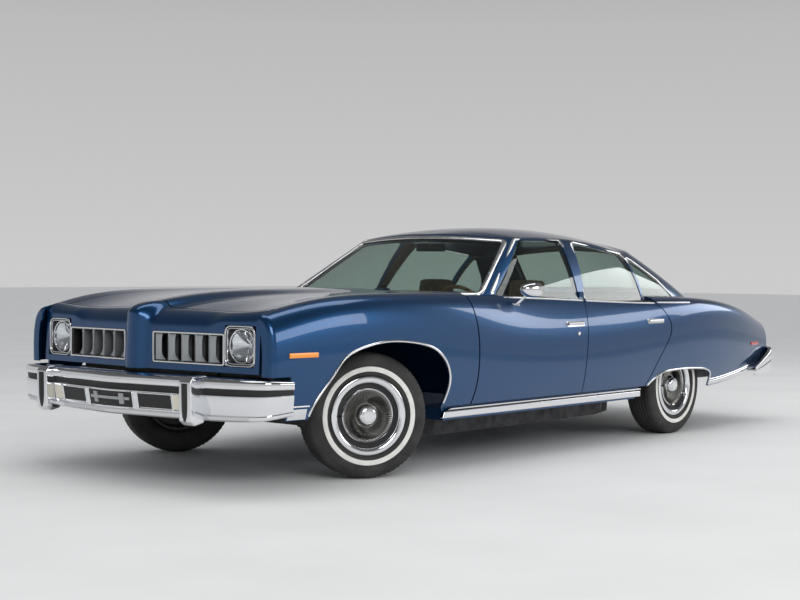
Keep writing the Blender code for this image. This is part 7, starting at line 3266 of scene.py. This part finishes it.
@dataclass
class DoorMirror:
    """The bullet-shaped bright mirror on the driver's door, with its slanted stalk."""

    rear_x: float = 0.385
    nose_x: float = 0.502
    middle: Flat = (0.952, 0.9640)
    half_width: float = 0.0510
    half_height: float = 0.0480
    foot: Point = (0.482, 0.893, 0.874)
    neck: Point = (0.436, 0.936, 0.936)

    def section(self, x: float, shrink: float, count: int = 40) -> list[Point]:
        """A slice of the head: flat on top, round below.

        Args:
            x: Where along the head.
            shrink: Share of the full width and height.
            count: How many points.

        Returns:
            The slice's points.
        """
        y0, z0 = self.middle
        points = []
        for t in np.linspace(0, math.tau, count, endpoint=False):
            c, s = math.cos(t), math.sin(t)
            y = math.copysign(abs(c) ** 0.80, c) * self.half_width * shrink
            z = math.copysign(abs(s) ** 0.80, s) * self.half_height * shrink
            z = min(z, self.half_height * 0.80 * (0.35 + 0.65 * shrink))
            points.append((x, y0 + y - 0.010 * (1 - shrink), z0 + z - 0.004 * (1 - shrink)))
        return points

    def build(self) -> None:
        """Makes head, glass, stalk and foot."""
        shares = np.linspace(0, 1, 15)
        slices = [self.section(self.rear_x + 0.003, 0.955), self.section(self.rear_x, 0.975)]
        for s in shares:
            x = self.rear_x + (self.nose_x - self.rear_x) * s
            slices.append(self.section(x, max(math.sqrt(max(1 - s**2.3, 0.0)), 0.02)))
        slices[2] = self.section(self.rear_x + 0.0008, 1.0)
        count = len(slices[0])
        points = [p for row in slices for p in row]
        faces = grid_faces(len(slices), count, wrap=True)
        faces += [tuple(range(count)), tuple(range(len(points) - count, len(points)))]
        head = from_faces("head", points, faces, "chrome", 50)
        pane_line = [(y, z) for _, y, z in self.section(self.rear_x, 0.90)]
        pane = add_bevel(
            prism("pane", pane_line, self.rear_x - 0.0005, self.rear_x + 0.004, "YZ", "mirror"), 0.0005
        )
        foot, neck = Vector(self.foot), Vector(self.neck)
        rows = []
        for s in np.linspace(0, 1, 9):
            place = foot.lerp(neck, s)
            wide, thick = 0.024 - 0.009 * s, 0.011 - 0.002 * s
            rows.append(
                [
                    place + Vector(
                        (wide * math.cos(t), thick * math.sin(t) * 0.9, thick * math.sin(t) * 0.5)
                    )
                    for t in np.linspace(0, math.tau, 18, endpoint=False)
                ]
            )
        points = [p for row in rows for p in row]
        faces = grid_faces(len(rows), 18, wrap=True) + [
            tuple(range(18)), tuple(range(len(points) - 18, len(points)))
        ]
        stalk = from_faces("stalk", points, faces, "chrome", 60)
        base_line = rounded([(0.446, 0.852), (0.526, 0.856), (0.520, 0.884), (0.452, 0.886)], 0.011, 5)
        base = add_bevel(prism("base", base_line, 0.884, 0.896, "XZ", "chrome"), 0.004, 3)
        set_on(
            joined("door_mirror_skin", [head, pane, stalk, base]),
            "door_front_left",
            "door_mirror",
            slot="chrome",
        )


@dataclass
class RockerTrim:
    """The broad bright band and thin line along each sill."""

    front_x: float = 1.196
    rear_x: float = -0.790
    inner_y: float = 0.9145
    shapes: tuple[tuple[str, float, float, float, float, str, float], ...] = (
        ("band", 0.281, 0.317, 0.017, 0.9385, "chrome", 0.005),
        ("gap", 0.317, 0.324, 0.024, 0.9300, "black", 0.001),
        ("line", 0.324, 0.333, 0.030, 0.9405, "chrome", 0.002),
    )

    def build(self) -> None:
        """Makes both sides."""
        for side, sign in SIDES:
            for part, low, high, lean, reach, look, bevel in self.shapes:
                start = self.front_x - (low - 0.281) * 0.9
                outline = [(start, low), (self.rear_x, low), (self.rear_x, high), (start - lean, high)]
                strip = prism(
                    f"rocker_{part}_{side}",
                    outline,
                    *sorted((sign * self.inner_y, sign * reach)),
                    "XZ",
                    look,
                )
                set_on(add_bevel(strip, bevel, 3), "body", slot="chrome" if look == "chrome" else "chassis")


# Cabin


@dataclass
class Pad:
    """A stuffed seat part: a side outline between two places across the car, swelled by simulation."""

    name: str
    outline: tuple[Flat, ...]
    span: Flat
    pleat_pitch: float
    pleat_margin: float
    fill: float = 0.7
    voxel: float = 0.0135
    start_inset: float = 0.011
    swell_cap: float = 0.020
    pressure: float = 4.0
    frames: int = 20
    pleat_depth: float = 0.0055
    tunnel: bool = False

    def build(self, *nodes: str) -> bpy.types.Object:
        """Makes the pad.

        Args:
            nodes: The CAD nodes that it stands for.

        Returns:
            The finished pad.
        """
        line = inset(rounded(list(self.outline), 0.035, 5), self.start_inset)
        low, high = self.span
        piece = prism(self.name, line, low + self.start_inset, high - self.start_inset, "XZ", "cloth")
        add_bevel(piece, 0.022, 3)
        applied(piece)
        if self.tunnel:
            cut(piece, block("tunnel", (-2.0, -0.155, 0.0), (1.0, 0.155, 0.415)))
        remesh = piece.modifiers.new("remesh", "REMESH")
        remesh.mode = "VOXEL"
        remesh.voxel_size = self.voxel
        applied(piece)
        self.swell(piece)
        smooth = piece.modifiers.new("smooth", "SMOOTH")
        smooth.factor = 0.5
        smooth.iterations = 4
        finer = piece.modifiers.new("finer", "SUBSURF")
        finer.levels = finer.render_levels = 1
        applied(piece)
        self.pleat(piece)
        piece.data.shade_smooth()
        piece.data.materials.clear()
        piece.data.materials.append(LOOK("cloth"))
        return set_on(piece, "body", *nodes, slot="seat_cover")

    def swell(self, piece: bpy.types.Object) -> None:
        """Fills the pad under pressure and keeps each point within the cap.

        Args:
            piece: The remeshed pad, changed in place.
        """
        scene = bpy.context.scene
        before = [v.co.copy() for v in piece.data.vertices]
        cloth = piece.modifiers.new("cloth", "CLOTH")
        cloth.settings.use_pressure = True
        cloth.settings.uniform_pressure_force = self.pressure
        cloth.settings.effector_weights.gravity = 0.0
        cloth.point_cache.frame_start = 1
        cloth.point_cache.frame_end = self.frames
        for frame_number in range(1, self.frames + 1):
            scene.frame_set(frame_number)
        graph = bpy.context.evaluated_depsgraph_get()
        after = [v.co.copy() for v in piece.evaluated_get(graph).data.vertices]
        piece.modifiers.clear()
        scene.frame_set(1)
        for vertex, old, new in zip(piece.data.vertices, before, after):
            move = new - old
            if move.length > self.swell_cap:
                move = move.normalized() * self.swell_cap
            vertex.co = old + move

    def pleat(self, piece: bpy.types.Object) -> None:
        """Presses sewn channels and a border seam into the top and front faces.

        Args:
            piece: The pad, changed in place.
        """
        low, high = self.span
        middle, reach = (low + high) / 2, (high - low) / 2 - self.pleat_margin
        moves = []
        for vertex in piece.data.vertices:
            y = vertex.co.y - middle
            facing = max(vertex.normal.z, vertex.normal.x, 0.0)
            inside = smooth_step((reach - abs(y)) / 0.02 + 0.5)
            phase = (y / self.pleat_pitch + 0.5) % 1 - 0.5
            channel = math.exp(-((phase * self.pleat_pitch / 0.0075) ** 2)) * inside
            border = math.exp(-(((abs(y) - reach) / 0.007) ** 2))
            moves.append(
                vertex.normal * (-self.pleat_depth * max(channel, border) * smooth_step(facing * 1.6 - 0.3))
            )
        for vertex, move in zip(piece.data.vertices, moves):
            vertex.co += move


@dataclass
class Cabin:
    """Seats, dashboard, steering wheel, carpet and mirror inside."""

    nodes: dict[str, bpy.types.Object]
    front_cushion: tuple[Flat, ...] = (
        (0.250, 0.345),
        (0.268, 0.455),
        (0.208, 0.518),
        (-0.090, 0.484),
        (-0.190, 0.500),
        (-0.215, 0.345),
    )
    front_back: tuple[Flat, ...] = (
        (-0.190, 0.512),
        (-0.262, 0.842),
        (-0.335, 0.868),
        (-0.404, 0.832),
        (-0.322, 0.465),
        (-0.222, 0.445),
    )
    headrest: tuple[Flat, ...] = (
        (-0.292, 0.888),
        (-0.286, 0.950),
        (-0.300, 1.018),
        (-0.385, 1.018),
        (-0.398, 0.950),
        (-0.385, 0.888),
    )
    rear_cushion: tuple[Flat, ...] = (
        (-0.705, 0.285),
        (-0.676, 0.470),
        (-0.738, 0.520),
        (-1.030, 0.522),
        (-1.085, 0.500),
        (-0.985, 0.455),
        (-0.840, 0.285),
    )
    rear_back: tuple[Flat, ...] = (
        (-1.045, 0.555),
        (-1.120, 0.590),
        (-1.262, 0.832),
        (-1.335, 0.850),
        (-1.404, 0.832),
        (-1.362, 0.552),
        (-1.130, 0.552),
    )
    seat_half_width: float = 0.68
    rear_half_width: float = 0.585
    headrest_y: float = 0.37
    front_pleats: Flat = (0.072, 0.085)
    rear_pleats: Flat = (0.078, 0.07)
    carpet_x: Flat = (0.90, -0.69)
    carpet_half_width: float = 0.735
    carpet_steps: tuple[int, int] = (60, 56)
    carpet_lift: float = 0.008

    def build(self) -> None:
        """Makes everything inside."""
        self.seats()
        self.dash()
        self.wheel()
        self.carpet()
        self.mirror()

    def seats(self) -> None:
        """A split front bench with headrests and a full rear bench."""
        for side, sign in SIDES:
            span = tuple(sorted((sign * 0.018, sign * self.seat_half_width)))
            node = ("front_seat",) if sign > 0 else ()
            Pad(
                f"front_cushion_{side}", self.front_cushion, span, *self.front_pleats, tunnel=True
            ).build(*node)
            Pad(f"front_back_{side}", self.front_back, span, *self.front_pleats).build()
            y = sign * self.headrest_y
            Pad(
                f"headrest_{side}", self.headrest, (y - 0.13, y + 0.13), 0.5, 0.045, 0.8, voxel=0.008
            ).build()
            for shift in (-0.05, 0.05):
                post = [(-0.343, y + shift, z) for z in (0.845, 0.90)]
                bar = swept(
                    f"headrest_post_{side}_{'inner' if shift * sign < 0 else 'outer'}",
                    post,
                    lambda p: Vector((1, 0, 0)),
                    ring(0.005, 12),
                    "chrome",
                )
                set_on(bar, "body", slot="chrome")
            base = block(
                f"seat_base_{side}", (-0.18, sign * 0.17, 0.268), (0.18, sign * 0.55, 0.352), "chassis"
            )
            set_on(add_bevel(base, 0.006), "body", slot="chassis")
        half = self.rear_half_width
        Pad(
            "rear_cushion", self.rear_cushion, (-half, half), *self.rear_pleats, tunnel=True
        ).build("rear_seat")
        Pad("rear_back", self.rear_back, (-half, half), *self.rear_pleats).build()

    def dash(self) -> None:
        """The padded dashboard with its dials, glove box, radio place, vents and the steering column."""
        outline = [
            (0.42, 0.60),
            (0.44, 0.78),
            (0.40, 0.87),
            (0.46, 0.903),
            (0.57, 0.905),
            (0.70, 0.86),
            (0.70, 0.70),
            (0.60, 0.58),
        ]
        pieces = [
            add_bevel(prism("pad", rounded(outline, 0.03, 5), -0.745, 0.745, "XZ", "vinyl"), 0.012, 3)
        ]
        hood = rounded(
            [(0.385, 0.865), (0.44, 0.915), (0.55, 0.915), (0.55, 0.80), (0.44, 0.78), (0.425, 0.85)],
            0.012,
            4,
        )
        pieces.append(add_bevel(prism("hood", hood, 0.12, 0.63, "XZ", "vinyl"), 0.010, 3))
        pieces.append(
            add_bevel(block("fascia", (0.405, 0.15, 0.700), (0.450, 0.60, 0.845), "black"), 0.006)
        )
        for y, radius in ((0.215, 0.036), (0.315, 0.052), (0.435, 0.052), (0.535, 0.036)):
            dial = [
                (radius, -0.01),
                (radius, 0.006),
                (radius - 0.004, 0.008),
                (radius - 0.005, 0.003),
                (0.001, 0.002),
                (0.001, -0.01),
            ]
            face = turned("dial", dial, 48, "chrome")
            face.data.transform(
                Matrix.Translation((0.404, y, 0.775)) @ Matrix.Rotation(math.pi / 2, 4, "Z")
            )
            cover = turned(
                "cover",
                [(radius - 0.006, 0.0), (radius - 0.006, 0.0035), (0.001, 0.0035), (0.001, 0.0)],
                48,
                "black",
            )
            cover.data.transform(
                Matrix.Translation((0.404, y, 0.775)) @ Matrix.Rotation(math.pi / 2, 4, "Z")
            )
            hand = block(
                "hand", (0.3995, y - 0.001, 0.775), (0.4005, y + 0.001, 0.775 + radius * 0.7), "amber"
            )
            pieces += [face, cover, hand]
        pieces.append(
            add_bevel(block("glove door", (0.418, -0.66, 0.650), (0.440, -0.24, 0.770), "vinyl"), 0.006)
        )
        pieces.append(
            add_bevel(block("radio place", (0.412, -0.10, 0.665), (0.445, 0.10, 0.730), "black"), 0.004)
        )
        for y in (-0.085, 0.085):
            knob = turned(
                "knob", [(0.011, -0.005), (0.010, 0.016), (0.001, 0.017), (0.001, -0.005)], 24, "chrome"
            )
            knob.data.transform(
                Matrix.Translation((0.412, y, 0.698)) @ Matrix.Rotation(math.pi / 2, 4, "Z")
            )
            pieces.append(knob)
        for y in (-0.68, -0.14, 0.66):
            for k in range(5):
                z = 0.800 + 0.009 * k
                pieces.append(block("vent", (0.412, y - 0.045, z), (0.44, y + 0.045, z + 0.004), "black"))
        axis = (STEERING_CENTRE - COLUMN_FOOT).normalized()
        end = STEERING_CENTRE - axis * 0.062
        pieces.append(
            swept(
                "column",
                [COLUMN_FOOT, COLUMN_FOOT.lerp(end, 0.45), COLUMN_FOOT.lerp(end, 0.46), end],
                lambda p: Vector((0, 1, 0)),
                ring(0.033, 28),
                "vinyl",
            )
        )
        pieces.append(
            add_bevel(block("column foot", (0.896, 0.322, 0.482), (0.9343, 0.418, 0.578), "black"), 0.004)
        )
        set_on(joined("dash_skin", pieces), "body", "dashboard", slot="trim")

    def wheel(self) -> None:
        """The steering wheel with grips, two padded spokes and its hub."""
        rim_radius, grip = 0.19, 0.0115
        turns = 240
        points = []
        for k in range(turns):
            angle = math.tau * k / turns
            r = grip + 0.0008 * math.cos(40 * angle)
            for t in np.linspace(0, math.tau, 14, endpoint=False):
                across_rim = rim_radius + r * math.cos(t)
                points.append((across_rim * math.cos(angle), r * math.sin(t), across_rim * math.sin(angle)))
        faces = grid_faces(turns, 14, wrap=True)
        last = (turns - 1) * 14
        faces += [(last + i, last + (i + 1) % 14, (i + 1) % 14, i) for i in range(14)]
        pieces = [from_faces("rim", points, faces, "vinyl", 60)]
        for sign in (1, -1):
            spoke = [
                (sign * 0.03, -0.026), (sign * 0.182, -0.014), (sign * 0.182, 0.014), (sign * 0.03, 0.026)
            ]
            pieces.append(add_bevel(prism("spoke", spoke, -0.008, 0.004, "XZ", "vinyl"), 0.004, 3))
        pad = rounded([(-0.075, -0.036), (0.075, -0.036), (0.075, 0.036), (-0.075, 0.036)], 0.02, 5)
        pieces.append(add_bevel(prism("horn pad", pad, -0.004, 0.020, "XZ", "vinyl"), 0.009, 4))
        hub = [(0.037, -0.055), (0.037, -0.012), (0.030, -0.006), (0.001, -0.006), (0.001, -0.055)]
        pieces.append(turned("hub", hub, 40, "vinyl"))
        trim = [(0.028, 0.018), (0.028, 0.0215), (0.025, 0.0225), (0.022, 0.0215), (0.022, 0.018)]
        pieces.append(turned("ring", trim, 48, "chrome"))
        whole = joined("steering_wheel_skin", pieces)
        axis = (STEERING_CENTRE - COLUMN_FOOT).normalized()
        stand = Matrix.Translation(STEERING_CENTRE) @ axis.to_track_quat("Y", "Z").to_matrix().to_4x4()
        whole.data.transform(stand @ Matrix.Rotation(math.radians(75), 4, "Y"))
        set_on(whole, "steering", "steering_wheel", slot="trim")

    def carpet(self) -> None:
        """Carpet over the cabin floor and tunnel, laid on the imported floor."""
        floor = self.nodes["floor_pan"]
        tree = BVHTree.FromPolygons(
            [v.co for v in floor.data.vertices], [tuple(f.vertices) for f in floor.data.polygons]
        )
        rows = []
        half = self.carpet_half_width
        for x in np.linspace(*self.carpet_x, self.carpet_steps[0]):
            row = []
            for y in np.linspace(-half, half, self.carpet_steps[1]):
                place = tree.ray_cast(Vector((x, y, 0.50)), Vector((0, 0, -1)))[0]
                row.append((x, y, (place.z if place else FLOOR_TOP) + self.carpet_lift))
            rows.append(row)
        heights = np.array(rows)
        for _ in range(2):
            heights[1:-1, 1:-1, 2] = (
                heights[:-2, 1:-1, 2] + heights[2:, 1:-1, 2] + heights[1:-1, :-2, 2] + heights[1:-1, 2:, 2]
            ) / 4
        carpet = Panel("carpet", heights, upward)
        set_on(carpet.solid(0.003, "carpet"), "body", slot="trim")

    def mirror(self) -> None:
        """The inside mirror on its short stalk."""
        case = rounded([(-0.115, 1.183), (0.115, 1.183), (0.115, 1.232), (-0.115, 1.232)], 0.014, 4)
        head = add_bevel(prism("case", case, 0.158, 0.172, "YZ", "black"), 0.004, 3)
        pane = prism("pane", inset(case, 0.004), 0.1565, 0.160, "YZ", "mirror")
        stalk = swept(
            "stalk",
            [(0.170, 0, 1.215), (0.186, 0, 1.235), (0.196, 0, 1.262)],
            lambda p: Vector((0, 1, 0)),
            ring(0.004, 10),
            "chrome",
        )
        set_on(joined("inside_mirror", [head, pane, stalk]), "body", slot="chrome")


# Studio


@dataclass(frozen=True)
class SoftLight:
    """A rectangular area light."""

    name: str
    place: Point
    aim: Point
    size: Flat
    power: float


@dataclass
class Studio:
    """Camera, soft lights, pale world and pale floor."""

    camera_place: Point = (7.347, 5.9075, 1.0698)
    yaw: float = -139.386
    pitch: float = -1.1607
    roll: float = 0.437
    lens: float = 67.086
    floor_half: float = 60.0
    soft_lights: tuple[SoftLight, ...] = (
        SoftLight("overhead", (0.3, 0.5, 6.0), (0.0, 0.0, 0.0), (8.0, 2.2), 130),
        SoftLight("key", (6.5, 8.0, 5.0), (0.5, 0.0, 0.6), (5.0, 3.0), 260),
        SoftLight("side", (-3.5, 9.0, 3.0), (-0.8, 0.0, 0.5), (5.0, 2.0), 120),
        SoftLight("back", (-9.0, 3.5, 4.0), (-1.0, 0.0, 0.8), (4.0, 2.5), 110),
    )
    seen_stops: tuple[Flat, ...] = ((0.16, 0.50), (0.38, 0.14))
    seen_low: float = 0.60
    seen_high: Colour = (0.09, 0.095, 0.10)
    light_colour: Colour = (0.95, 0.97, 1.0)
    light_strength: float = 0.72

    def build(self) -> None:
        """Sets everything up."""
        self.camera()
        self.world()
        self.lamps()
        self.floor()
        bpy.context.scene.view_settings.view_transform = "Standard"

    def camera(self) -> None:
        """The camera at the photograph's place and angle."""
        made = bpy.data.objects.new("camera", bpy.data.cameras.new("camera"))
        made.data.lens = self.lens
        made.data.sensor_width = 36
        made.data.clip_end = 300
        yaw, pitch, roll = (math.radians(a) for a in (self.yaw, self.pitch, self.roll))
        ahead = Vector((math.cos(pitch) * math.cos(yaw), math.cos(pitch) * math.sin(yaw), math.sin(pitch)))
        right = ahead.cross(Vector((0, 0, 1))).normalized()
        up = right.cross(ahead)
        tilted = right * math.cos(roll) + up * math.sin(roll)
        upright = up * math.cos(roll) - right * math.sin(roll)
        turn = Matrix((tilted, upright, -ahead)).transposed().to_4x4()
        made.matrix_world = Matrix.Translation(self.camera_place) @ turn
        bpy.context.scene.collection.objects.link(made)
        bpy.context.scene.camera = made

    def world(self) -> None:
        """A pale surrounding that also shows in metal and glass, darker overhead."""
        world = bpy.data.worlds.new("studio")
        bpy.context.scene.world = world
        world.use_nodes = True
        nodes, links = world.node_tree.nodes, world.node_tree.links
        nodes.clear()
        place = nodes.new("ShaderNodeTexCoord")
        split = nodes.new("ShaderNodeSeparateXYZ")
        links.new(place.outputs["Generated"], split.inputs["Vector"])
        ramp = nodes.new("ShaderNodeValToRGB")
        stops = ramp.color_ramp.elements
        stops[0].position, stops[0].color = 0.0, (*(self.seen_low,) * 3, 1)
        stops[1].position, stops[1].color = 1.0, (*self.seen_high, 1)
        for position, level in self.seen_stops:
            stop = stops.new(position)
            stop.color = (level, level, level * 1.01, 1)
        links.new(split.outputs["Z"], ramp.inputs["Fac"])
        light = nodes.new("ShaderNodeBackground")
        light.inputs["Color"].default_value = (*self.light_colour, 1)
        light.inputs["Strength"].default_value = self.light_strength
        seen = nodes.new("ShaderNodeBackground")
        links.new(ramp.outputs["Color"], seen.inputs["Color"])
        seen.inputs["Strength"].default_value = 1.0
        path = nodes.new("ShaderNodeLightPath")
        either = nodes.new("ShaderNodeMath")
        either.operation = "MAXIMUM"
        links.new(path.outputs["Is Camera Ray"], either.inputs[0])
        links.new(path.outputs["Is Glossy Ray"], either.inputs[1])
        third = nodes.new("ShaderNodeMath")
        third.operation = "MAXIMUM"
        links.new(either.outputs["Value"], third.inputs[0])
        links.new(path.outputs["Is Transmission Ray"], third.inputs[1])
        mix = nodes.new("ShaderNodeMixShader")
        links.new(third.outputs["Value"], mix.inputs["Fac"])
        links.new(light.outputs["Background"], mix.inputs[1])
        links.new(seen.outputs["Background"], mix.inputs[2])
        output = nodes.new("ShaderNodeOutputWorld")
        links.new(mix.outputs["Shader"], output.inputs["Surface"])

    def lamps(self) -> None:
        """Large soft lights: overhead along the car, by the camera, low at the side and far behind."""
        for soft in self.soft_lights:
            lamp = bpy.data.lights.new(soft.name, "AREA")
            lamp.shape = "RECTANGLE"
            lamp.size, lamp.size_y = soft.size
            lamp.energy = soft.power
            made = bpy.data.objects.new(soft.name, lamp)
            made.location = soft.place
            made.rotation_euler = (Vector(soft.place) - Vector(soft.aim)).to_track_quat("Z", "Y").to_euler()
            made.visible_camera = False
            bpy.context.scene.collection.objects.link(made)

    def floor(self) -> None:
        """The pale floor."""
        half = self.floor_half
        mesh = bpy.data.meshes.new("floor")
        mesh.from_pydata(
            [(-half, -half, 0), (half, -half, 0), (half, half, 0), (-half, half, 0)], [], [(0, 1, 2, 3)]
        )
        to_object("floor", mesh, "floor")


KEPT_LOOKS = {
    "frame": "chassis",
    "floor_pan": "paint",
    "firewall": "paint",
    "rear_shelf": "vinyl",
    "engine": "block",
    "radiator": "chassis",
    "rear_axle": "chassis",
    "exhaust": "steel",
    "fuel_tank": "steel",
    "knuckle_left": "iron",
    "knuckle_right": "iron",
}


def dress_kept(nodes: dict[str, bpy.types.Object]) -> None:
    """Gives the CAD nodes that stay in view their procedural finishes.

    Args:
        nodes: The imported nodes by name.
    """
    for name, look in KEPT_LOOKS.items():
        node = nodes[name]
        if not node.material_slots:
            node.data.materials.append(LOOK(look))
        for slot in node.material_slots:
            slot.material = LOOK(look)


def main() -> None:
    """Loads the frame and builds every sub-assembly round it."""
    logging.basicConfig(level=logging.INFO, format="%(message)s")
    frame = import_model()
    Studio().build()
    dress_kept(frame["nodes"])
    steps: list[tuple[str, Callable[[], object]]] = [
        ("body panels", Shell().build),
        ("greenhouse", Greenhouse().build),
        ("tail", Tail().build),
        ("front bumper", FrontBumper().build),
        ("rear bumper", RearBumper().build),
        ("mirror", DoorMirror().build),
        ("rocker trim", RockerTrim().build),
        ("cabin", Cabin(frame["nodes"]).build),
    ]
    for side, sign in SIDES:
        steps.append((f"grille {side}", partial(Grille().build, side, sign)))
        steps.append((f"headlamp {side}", partial(Headlamp().build, side, sign)))
        for end in ("front", "rear"):
            steps.append((f"wheel {end} {side}", partial(Wheel().build, end, side, sign)))
    for label, build in steps:
        build()
        LOG.info("built %s", label)
    bpy.context.view_layer.update()


if __name__ == "__main__":
    main()
